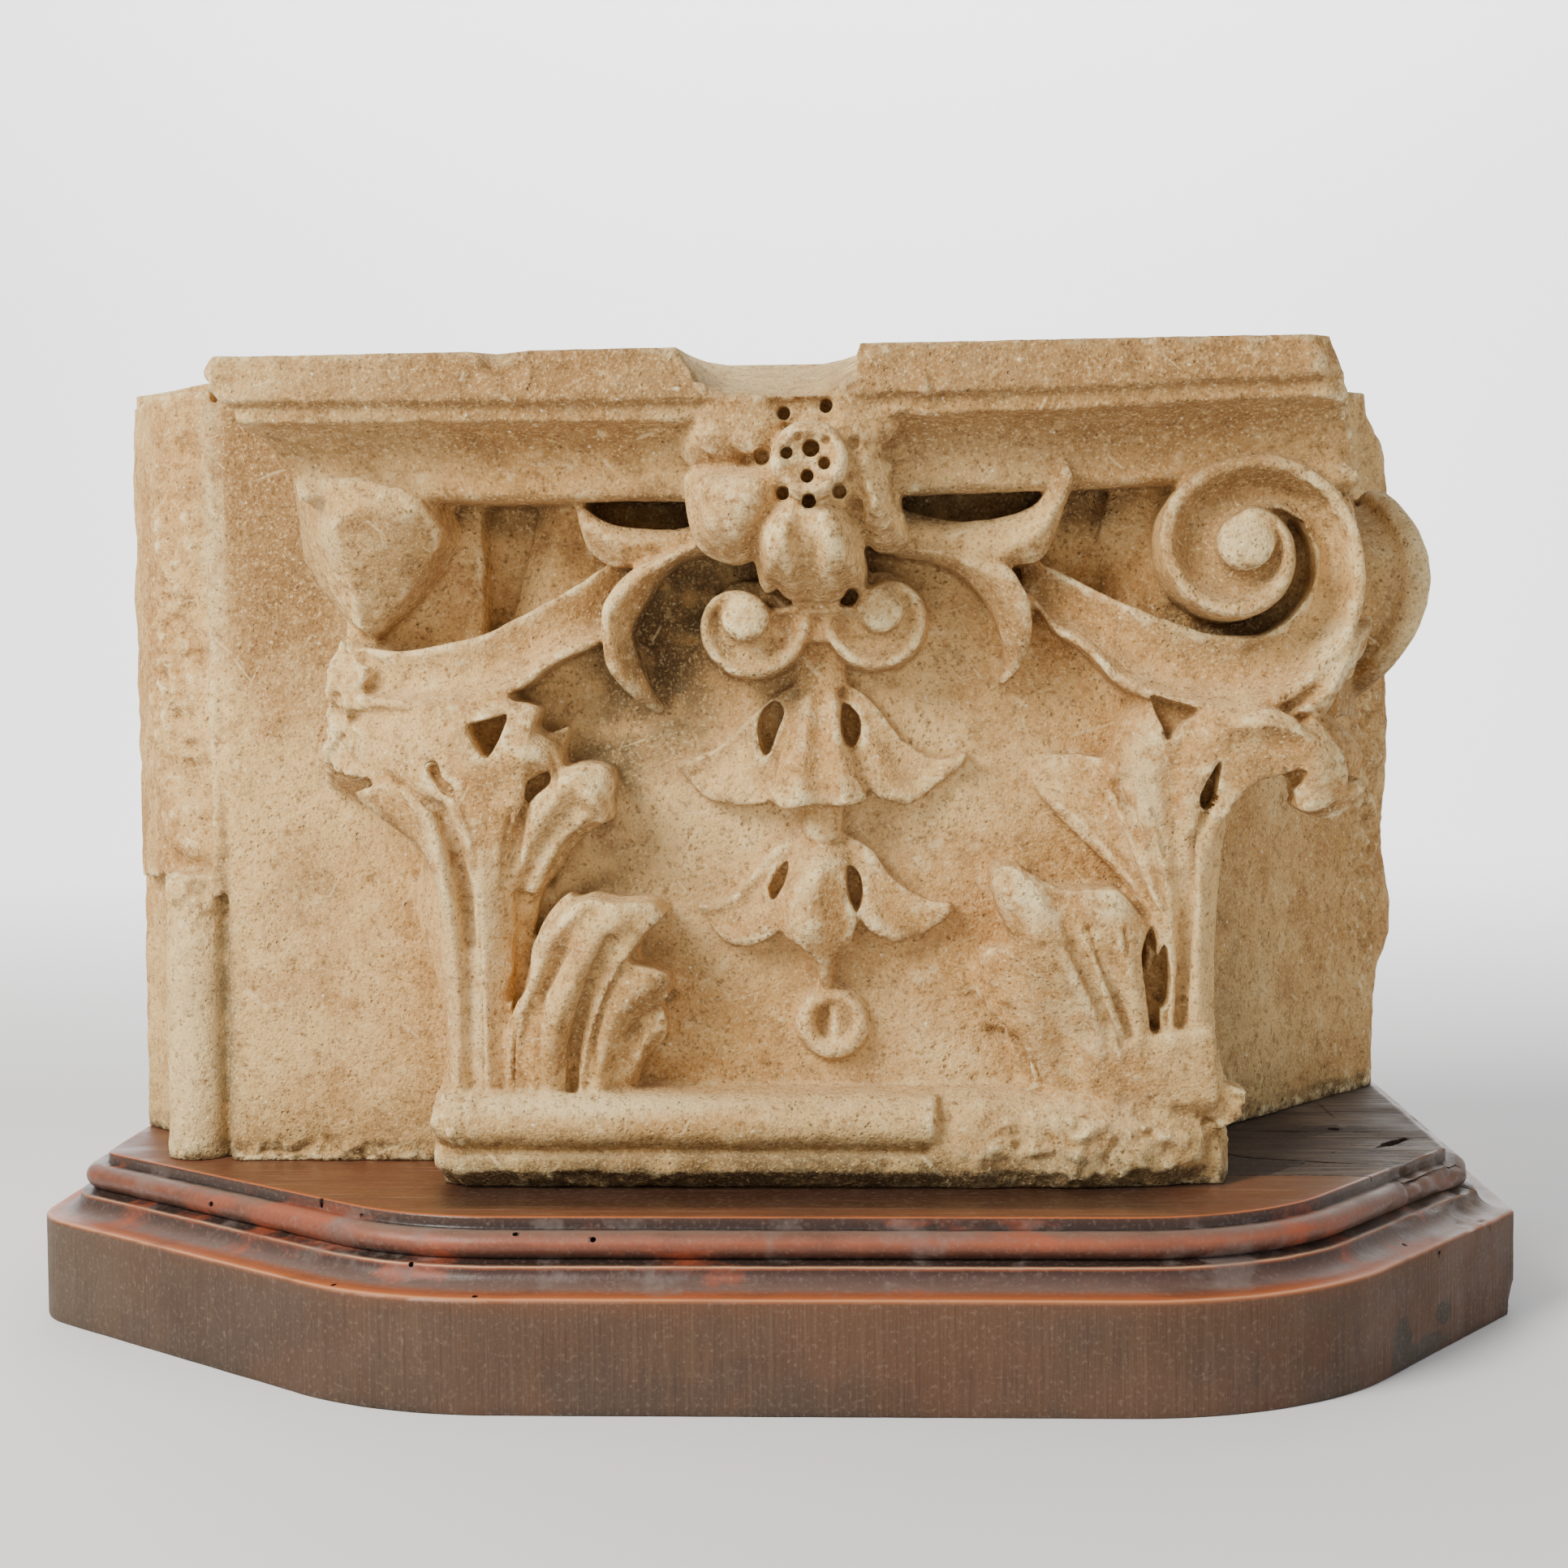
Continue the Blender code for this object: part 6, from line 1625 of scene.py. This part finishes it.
def surface_values(mesh, grid):
    """Stores how deep, how exposed and how freshly broken each point is, where grime and painted shade lie, and
    where light and shade are painted.
    """
    points, normals = mesh_arrays(mesh)
    parts = to_parts(points)
    near, far = (blurred(grid, size)[relief_cells(parts)] for size in (3, 8))
    deep = np.maximum((near - parts[:, 2] - 1.5) / 13, (far - parts[:, 2] - 4.0) / 30)
    deep = np.where(parts[:, 2] > -30, deep, 0.0)
    edges = edge_ends(mesh)
    total = np.zeros_like(points)
    count = np.zeros(len(points))
    reach = np.zeros(len(points))
    span = np.linalg.norm(points[edges[:, 0]] - points[edges[:, 1]], axis=1)
    for here, there in ((0, 1), (1, 0)):
        np.add.at(total, edges[:, here], points[edges[:, there]])
        np.add.at(count, edges[:, here], 1)
        np.add.at(reach, edges[:, here], span)
    bend = np.sum((points - total / count[:, None]) * normals, axis=1) / (reach / count)
    for _ in range(2):
        total = np.zeros(len(points))
        for here, there in ((0, 1), (1, 0)):
            np.add.at(total, edges[:, here], bend[edges[:, there]])
        bend = 0.4 * bend + 0.6 * total / count
    add_value(mesh, "deep", deep)
    add_value(mesh, "edge", 0.5 + bend * 2.2)
    add_value(mesh, "fresh", strongest(parts, FRESH))
    add_value(mesh, "dirt_and_shade", strongest(parts, DIRT_AND_SHADE))
    light_and_shade = np.zeros(len(parts))
    for centre, radii, amount in PAINTED_LIGHT_AND_SHADE:
        share = blob(parts, centre, radii)
        light_and_shade = light_and_shade * (1 - share) + amount * share
    add_value(mesh, "light_and_shade", 0.5 + 0.5 * light_and_shade)


def linear(*colour):
    """An sRGB colour from 0 to 255 as the shader's own."""
    out = []
    for value in colour:
        share = value / 255.0
        out.append(share / 12.92 if share <= 0.04045 else ((share + 0.055) / 1.055) ** 2.4)
    return (*out, 1.0)


class Shader:
    """Short calls that add nodes to a material."""

    def __init__(self, name, roughness):
        self.material = bpy.data.materials.new(name)
        self.material.use_nodes = True
        self.nodes = self.material.node_tree.nodes
        self.links = self.material.node_tree.links
        self.surface = self.nodes["Principled BSDF"]
        self.surface.inputs["Roughness"].default_value = roughness
        self.place = self.nodes.new("ShaderNodeTexCoord").outputs["Object"]
        self.colour = None

    def feed(self, socket, value):
        if isinstance(value, bpy.types.NodeSocket):
            self.links.new(value, socket)
        else:
            socket.default_value = value

    def stretched(self, scale, turn=(0.0, 0.0, 0.0)):
        node = self.nodes.new("ShaderNodeMapping")
        node.vector_type = "TEXTURE"
        node.inputs["Scale"].default_value = [1 / share for share in scale]
        node.inputs["Rotation"].default_value = turn
        self.links.new(self.place, node.inputs["Vector"])
        return node.outputs["Vector"]

    def noise(self, size, detail=4.0, rough=0.55, where=None, distortion=0.0):
        """Noise whose lumps measure the size, in metres."""
        node = self.nodes.new("ShaderNodeTexNoise")
        self.links.new(where or self.place, node.inputs["Vector"])
        node.inputs["Scale"].default_value = 1.0 / size
        node.inputs["Detail"].default_value = detail
        node.inputs["Roughness"].default_value = rough
        node.inputs["Distortion"].default_value = distortion
        return node.outputs["Fac"]

    def spots(self, size):
        node = self.nodes.new("ShaderNodeTexVoronoi")
        self.links.new(self.place, node.inputs["Vector"])
        node.inputs["Scale"].default_value = 1.0 / size
        return node.outputs["Distance"]

    def span(self, value, low, high, start=0.0, end=1.0):
        node = self.nodes.new("ShaderNodeMapRange")
        node.interpolation_type = "SMOOTHSTEP"
        self.links.new(value, node.inputs["Value"])
        for name, amount in (("From Min", low), ("From Max", high), ("To Min", start), ("To Max", end)):
            node.inputs[name].default_value = amount
        return node.outputs["Result"]

    def math(self, kind, first, second):
        node = self.nodes.new("ShaderNodeMath")
        node.operation = kind
        self.feed(node.inputs[0], first)
        self.feed(node.inputs[1], second)
        return node.outputs[0]

    def times(self, first, second):
        return self.math("MULTIPLY", first, second)

    def plus(self, first, second):
        return self.math("ADD", first, second)

    def coat(self, share, colour):
        """Lays a share of a colour over what is there."""
        self.colour = self.mix(share, self.colour, colour)

    def mix(self, share, first, second):
        node = self.nodes.new("ShaderNodeMix")
        node.data_type = "RGBA"
        self.feed(node.inputs["Factor"], share)
        self.feed(node.inputs[6], first)
        self.feed(node.inputs[7], second)
        return node.outputs[2]

    def near(self, centre, radii):
        """1 inside an egg shape about a point, with a soft and uneven edge."""
        node = self.nodes.new("ShaderNodeMapping")
        node.inputs["Scale"].default_value = [1 / radius for radius in radii]
        node.inputs["Location"].default_value = [-spot / radius for spot, radius in zip(centre, radii)]
        self.links.new(self.place, node.inputs["Vector"])
        size = self.nodes.new("ShaderNodeVectorMath")
        size.operation = "LENGTH"
        self.links.new(node.outputs["Vector"], size.inputs[0])
        uneven = self.math("ADD", size.outputs["Value"], self.noise(0.006, 3.0, 0.6))
        return self.span(uneven, 1.7, 1.25)

    def value(self, name):
        node = self.nodes.new("ShaderNodeAttribute")
        node.attribute_name = name
        return node.outputs["Fac"]

    def axis(self, source, which):
        node = self.nodes.new("ShaderNodeSeparateXYZ")
        self.links.new(source, node.inputs["Vector"])
        return node.outputs[which]

    def facing(self, which):
        return self.axis(self.nodes.new("ShaderNodeNewGeometry").outputs["Normal"], which)

    def bump(self, height, distance, strength=1.0, below=None):
        node = self.nodes.new("ShaderNodeBump")
        node.inputs["Strength"].default_value = strength
        node.inputs["Distance"].default_value = distance
        self.links.new(height, node.inputs["Height"])
        if below:
            self.links.new(below, node.inputs["Normal"])
        return node.outputs["Normal"]


def limestone():
    """Old limestone: golden tan, browner in its hollows with grime and painted shade, paler on worn edges and
    fresh breaks; painted light on upward faces and painted shade on undersides and in spots.
    """
    look = Shader("limestone", 0.93)
    tan, light, pale = linear(194, 148, 90), linear(222, 184, 124), linear(242, 220, 168)
    brown, dark, grey = linear(140, 104, 64), linear(62, 47, 32), linear(168, 146, 104)
    broad = look.noise(0.09, 3.0, 0.6)
    middle = look.noise(0.022, 5.0, 0.62)
    small = look.noise(0.008, 5.0, 0.68)
    fine = look.noise(0.003, 4.0, 0.65)
    grain = look.noise(0.0011, 2.0, 0.6)
    look.colour = look.mix(look.span(broad, 0.38, 0.64), tan, light)
    look.coat(look.span(middle, 0.5, 0.7, 0.0, 0.6), light)
    look.coat(look.span(look.noise(0.035, 4.0, 0.6), 0.52, 0.7, 0.0, 0.6), linear(172, 122, 70))
    look.coat(look.span(look.noise(0.05, 4.0, 0.6, look.stretched((1.3, 1, 1))), 0.56, 0.74, 0.0, 0.4), grey)
    look.coat(look.span(middle, 0.47, 0.3, 0.0, 0.4), brown)
    look.coat(look.span(small, 0.5, 0.3, 0.0, 0.6), brown)
    look.coat(look.span(small, 0.54, 0.72, 0.0, 0.5), pale)
    # Painted light on upward faces and painted shade on downward faces
    up = look.facing("Z")
    look.coat(look.span(up, 0.25, 0.95, 0.0, 0.4), linear(212, 184, 138))
    look.coat(look.span(up, -0.15, -0.8, 0.0, 0.6), linear(110, 78, 46))
    height = look.axis(look.place, "Z")
    low = look.span(height, BED_HEIGHT + 0.045, BED_HEIGHT)
    look.coat(look.times(low, look.span(middle, 0.35, 0.6, 0.1, 0.4)), linear(140, 118, 76))
    # Painted shade under the roll, with some grime, on downward faces just above the bed
    foot = look.times(look.span(height, BED_HEIGHT + 0.0085, BED_HEIGHT + 0.0055), look.span(up, 0.2, -0.2))
    look.coat(look.times(foot, look.span(middle, 0.3, 0.7, 0.9, 0.55)), linear(88, 72, 52))
    # Painted shade, with some grime, in recesses that lie below the surrounding relief; darkest in the deepest
    uneven = look.plus(look.value("deep"), look.times(look.math("SUBTRACT", middle, 0.5), 0.7))
    deep = look.span(uneven, 0.08, 0.75)
    look.coat(look.times(deep, 0.7), brown)
    look.coat(look.span(uneven, 0.6, 1.15, 0.0, 0.6), dark)
    edge = look.value("edge")
    # Painted shade in concave creases; worn convex edges turn paler below
    look.coat(look.span(edge, 0.42, 0.12, 0.0, 0.5), brown)
    patchy = look.times(look.span(small, 0.42, 0.6, 0.15, 1.0), look.span(fine, 0.35, 0.6, 0.5, 1.0))
    look.coat(look.times(look.span(edge, 0.57, 0.82), patchy), pale)
    # Painted shade with grime, as dark patches, under overhangs and in recesses
    crust_and_shade = look.times(look.value("dirt_and_shade"), look.span(look.noise(0.012, 6.0, 0.7), 0.32, 0.54))
    look.coat(look.times(crust_and_shade, 0.85), dark)
    # Painted light and painted shade in spots over the stone
    light_and_shade = look.value("light_and_shade")
    look.coat(look.span(light_and_shade, 0.5, 1.0, 0.0, 0.85), pale)
    look.coat(look.span(light_and_shade, 0.5, 0.0, 0.0, 0.85), brown)
    fresh = look.times(look.value("fresh"), look.span(look.noise(0.009, 5.0, 0.6), 0.36, 0.56))
    look.coat(look.times(fresh, 0.85), pale)
    look.coat(look.span(fine, 0.5, 0.72, 0.0, 0.5), light)
    look.coat(look.span(fine, 0.47, 0.3, 0.0, 0.75), brown)
    look.coat(look.span(grain, 0.54, 0.76, 0.0, 0.55), pale)
    look.coat(look.span(grain, 0.44, 0.24, 0.0, 0.7), dark)
    chips = look.times(look.span(look.spots(0.006), 0.13, 0.06), look.span(fine, 0.5, 0.58))
    look.coat(look.times(chips, 0.7), linear(244, 232, 200))
    lines = None
    for turn, size in ((0.5, 0.0019), (1.25, 0.0023), (-0.7, 0.0021), (2.3, 0.0026)):
        streak = look.noise(size, 1.0, 0.4, look.stretched((1.0, 0.3, 0.05), (0.0, turn, 0.0)))
        line = look.times(look.span(streak, 0.69, 0.73), look.span(look.noise(0.011 + size, 1.0), 0.6, 0.64))
        lines = line if lines is None else look.math("MAXIMUM", lines, line)
    look.coat(look.times(lines, 0.35), pale)
    look.links.new(look.colour, look.surface.inputs["Base Color"])
    look.surface.inputs["Specular IOR Level"].default_value = 0.2
    pits = look.span(look.spots(0.0028), 0.28, 0.05)
    pits = look.times(pits, look.span(middle, 0.45, 0.65))
    rise = look.math("SUBTRACT", look.plus(fine, look.times(grain, 0.4)), pits)
    rise = look.plus(rise, look.times(small, 1.6))
    look.links.new(look.bump(rise, 0.0009, 1.0), look.surface.inputs["Normal"])
    return look.material


PROFILE_COLOUR_AND_SHADING_STOPS = [
    # place on the profile, colour: the stain, wear and dust of each band, with painted highlights on the arris,
    # fillet, torus and top edge, and painted shade in the hollow, the groove, under the torus and between torus
    # and riser
    (0.0, (52, 40, 31)), (0.02, (72, 54, 41)), (0.10, (80, 58, 42)), (0.125, (98, 62, 38)),
    (0.138, (150, 88, 50)),
    (0.15, (200, 140, 100)), (0.165, (168, 92, 50)), (0.22, (140, 76, 44)), (0.29, (104, 84, 76)),
    (0.37, (82, 60, 52)), (0.45, (62, 38, 30)), (0.485, (142, 74, 40)), (0.505, (190, 150, 116)),
    (0.53, (110, 78, 58)),
    (0.56, (46, 34, 30)), (0.63, (52, 38, 33)), (0.69, (92, 54, 40)), (0.74, (142, 78, 52)),
    (0.79, (118, 86, 74)),
    (0.83, (120, 102, 92)), (0.865, (36, 27, 24)), (0.91, (60, 38, 28)), (0.935, (80, 46, 28)),
    (0.948, (180, 100, 54)), (0.965, (120, 66, 38)), (1.0, (104, 62, 40)),
]


def stained_wood():
    """Stained and waxed wood: dull sawn fascia, rubbed mouldings, dust in the hollows, an aged top; painted
    highlights and shade along the profile, the stone's painted shadow on the top, painted shade on left faces and
    in holes.
    """
    look = Shader("stained_wood", 0.5)
    place = look.value("place")
    x, y = (look.axis(look.place, which) for which in "XY")
    broad = look.noise(0.06, 3.0, 0.6)
    patch = look.noise(0.022, 4.0, 0.6, look.stretched((0.45, 1.0, 1.0)))
    fine = look.noise(0.0016, 3.0, 0.6)
    # The profile's colours, with painted highlights and painted shade in their stops
    ramp = look.nodes.new("ShaderNodeValToRGB")
    wander = look.times(look.math("SUBTRACT", look.noise(0.008, 3.0, 0.6), 0.5), 0.03)
    inside = look.times(look.span(place, 0.17, 0.22), look.span(place, 0.95, 0.9))
    look.links.new(look.plus(place, look.times(wander, inside)), ramp.inputs["Fac"])
    stops = ramp.color_ramp.elements
    stops[0].position, stops[1].position = 0.0, 1.0
    stops[0].color, stops[1].color = linear(*PROFILE_COLOUR_AND_SHADING_STOPS[0][1]), linear(*PROFILE_COLOUR_AND_SHADING_STOPS[-1][1])
    for position, colour in PROFILE_COLOUR_AND_SHADING_STOPS[1:-1]:
        stops.new(position).color = linear(*colour)
    look.colour = ramp.outputs["Color"]
    moulded = look.times(look.span(place, 0.155, 0.18), look.span(place, 0.94, 0.9))
    worn = look.times(look.span(patch, 0.52, 0.66), moulded)
    look.coat(look.times(worn, 0.55), linear(168, 78, 42))
    dusty = look.times(look.span(look.noise(0.03, 4.0, 0.65), 0.54, 0.68), moulded)
    look.coat(look.times(dusty, 0.5), linear(124, 110, 104))
    smudge = look.span(look.noise(0.012, 4.0, 0.65, look.stretched((0.3, 1.0, 1.0))), 0.5, 0.72)
    look.coat(look.times(smudge, 0.4), linear(62, 44, 38))
    fascia = look.span(place, 0.138, 0.12)
    look.coat(look.times(fascia, look.span(broad, 0.42, 0.62, 0.0, 0.5)), linear(98, 64, 42))
    green = look.times(fascia, look.span(x, -0.2, -0.27))
    look.coat(look.times(green, 0.5), linear(92, 84, 68))
    saw = look.noise(0.0011, 2.0, 0.5, look.stretched((1.0, 1.0, 0.03)))
    look.coat(look.times(fascia, look.span(saw, 0.45, 0.8, 0.0, 0.4)), linear(106, 84, 62))
    look.coat(look.times(fascia, look.span(saw, 0.45, 0.2, 0.0, 0.5)), linear(52, 42, 34))
    dull = look.times(look.span(x, 0.17, 0.235), look.span(place, 0.13, 0.16))
    look.coat(look.times(dull, look.span(patch, 0.35, 0.6, 0.9, 0.55)), linear(92, 76, 63))
    top = look.span(place, 0.955, 0.99)
    grain = look.noise(0.0024, 4.0, 0.6, look.stretched((0.05, 1.0, 1.0)), 0.4)
    look.coat(look.times(top, look.span(grain, 0.48, 0.3, 0.0, 0.5)), linear(66, 44, 34))
    look.coat(look.times(top, look.span(grain, 0.55, 0.75, 0.0, 0.45)), linear(164, 132, 110))
    shade = look.times(top, look.times(look.span(y, -0.134, -0.124), look.span(x, 0.17, 0.12)))
    shade = look.times(shade, look.span(x, -0.125, -0.1))
    look.coat(look.times(shade, 0.75), linear(34, 24, 18))
    # Painted shade on faces that turn to the left
    left_face_shade = look.span(look.facing("X"), -0.35, -0.6, 0.0, 0.4)
    look.coat(left_face_shade, linear(60, 46, 36))
    aged = look.times(top, look.span(x, 0.10, 0.15))
    aged = look.times(aged, look.span(y, -0.0745, -0.0725))
    weathered = look.mix(look.span(grain, 0.36, 0.62), linear(40, 30, 24), linear(112, 96, 80))
    look.coat(aged, weathered)
    knots = None
    for centre, radii in (
        ((0.238, -0.08, 0.013), (0.006, 0.008, 0.0045)), ((0.218, -0.108, 0.006), (0.007, 0.010, 0.014)),
        ((0.23, -0.092, 0.004), (0.014, 0.018, 0.004)), ((0.226, 0.02, 0.06), (0.005, 0.004, 0.01)),
    ):
        spot = look.near(centre, radii)
        knots = spot if knots is None else look.math("MAXIMUM", knots, spot)
    look.coat(look.times(knots, 0.75), linear(52, 50, 42))
    # Painted shade inside the cut worm holes, knot hole and shakes
    hole = look.span(look.value("hole"), 0.15, 0.5)
    look.coat(look.times(hole, 0.85), linear(42, 26, 18))
    look.coat(look.span(fine, 0.5, 0.8, 0.0, 0.3), linear(150, 128, 112))
    look.links.new(look.colour, look.surface.inputs["Base Color"])
    shine = look.plus(look.span(patch, 0.35, 0.65, 0.34, 0.52), look.times(fascia, 0.28))
    shine = look.plus(shine, look.times(dusty, 0.2))
    look.links.new(look.plus(shine, look.times(aged, 0.25)), look.surface.inputs["Roughness"])
    look.surface.inputs["Specular IOR Level"].default_value = 0.45
    sawn = look.bump(look.times(saw, fascia), 0.0005, 0.6)
    rise = look.plus(look.times(grain, look.plus(aged, 0.25)), look.times(fine, 0.25))
    look.links.new(look.bump(rise, 0.0007, 0.7, sawn), look.surface.inputs["Normal"])
    return look.material


def main():
    base, stone = build_base(), build_stone()
    for item, look, node, slot in (
        (base, stained_wood(), "wooden_base", "stained_wood"),
        (stone, limestone(), "capital_stone", "limestone"),
    ):
        item.data.materials.clear()
        item.data.materials.append(look)
        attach(item, "root")
        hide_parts(node)


def camera():
    """The camera at the photo's angle, from its vanishing points."""
    yaw, pitch = (math.atan(shift / FOCAL_LENGTH) for shift in VANISHING_SHIFT)
    forward = Vector((-math.sin(yaw) * math.cos(pitch), math.cos(yaw) * math.cos(pitch), -math.sin(pitch)))
    right = Vector((math.cos(yaw), math.sin(yaw), 0.0))
    top = right.cross(forward)
    across = right * math.cos(CAMERA_ROLL) - top * math.sin(CAMERA_ROLL)
    top = top * math.cos(CAMERA_ROLL) + right * math.sin(CAMERA_ROLL)
    lens = bpy.data.cameras.new("camera")
    lens.sensor_width = SENSOR_WIDTH
    lens.lens = SENSOR_WIDTH * FOCAL_LENGTH / PHOTO_SIZE
    lens.clip_start = 0.01
    item = bpy.data.objects.new("camera", lens)
    bpy.context.scene.collection.objects.link(item)
    frame_turn = Matrix((across, top, -forward)).transposed().to_4x4()
    item.matrix_world = Matrix.Translation(CAMERA_SPOT) @ frame_turn
    bpy.context.scene.camera = item


def area_light(name, spot, aim, size, power, colour):
    lamp = bpy.data.lights.new(name, "AREA")
    lamp.shape = "RECTANGLE"
    lamp.size, lamp.size_y = size
    lamp.energy = power
    lamp.color = colour
    item = bpy.data.objects.new(name, lamp)
    bpy.context.scene.collection.objects.link(item)
    item.location = spot
    way = Vector(aim) - Vector(spot)
    item.rotation_euler = way.to_track_quat("-Z", "Y").to_euler()


def studio():
    """A pale floor that rises into a backdrop, a soft key from the upper left and a weak fill."""
    rows = [(-FLOOR_SIDE, 0.0), (FLOOR_BEND_Y, 0.0)]
    bend = FLOOR_BEND_RADIUS
    for turn in np.linspace(0, math.pi / 2, 12):
        rows.append((FLOOR_BEND_Y + bend * math.sin(turn), bend - bend * math.cos(turn)))
    rows.append((FLOOR_BEND_Y + bend, BACKDROP_TOP))
    points = [(side, along, height) for along, height in rows for side in (-FLOOR_SIDE, FLOOR_SIDE)]
    faces = [(step, step + 1, step + 3, step + 2) for step in range(0, len(points) - 2, 2)]
    mesh = bpy.data.meshes.new("floor")
    mesh.from_pydata(points, [], faces)
    mesh.shade_smooth()
    floor = put("floor", mesh)
    look = bpy.data.materials.new("floor")
    look.use_nodes = True
    shader = look.node_tree.nodes["Principled BSDF"]
    shader.inputs["Base Color"].default_value = FLOOR_COLOUR
    shader.inputs["Roughness"].default_value = 0.9
    mesh.materials.append(look)
    world = bpy.data.worlds.new("studio")
    world.use_nodes = True
    background = world.node_tree.nodes["Background"]
    background.inputs["Color"].default_value = WORLD_COLOUR
    background.inputs["Strength"].default_value = WORLD_STRENGTH
    bpy.context.scene.world = world
    area_light("key", (-0.95, -1.0, 1.1), (0, 0, 0.2), (0.7, 0.7), 38, (1.0, 0.965, 0.885))
    area_light("fill", (1.5, -1.5, 0.9), (0, 0, 0.2), (1.2, 1.2), 4, (1.0, 0.98, 0.95))
    area_light("backdrop", (0, 1.2, 2.6), (0, 3.5, 1.9), (4.0, 1.0), 300, (1.0, 1.0, 1.0))


main()
camera()
studio()
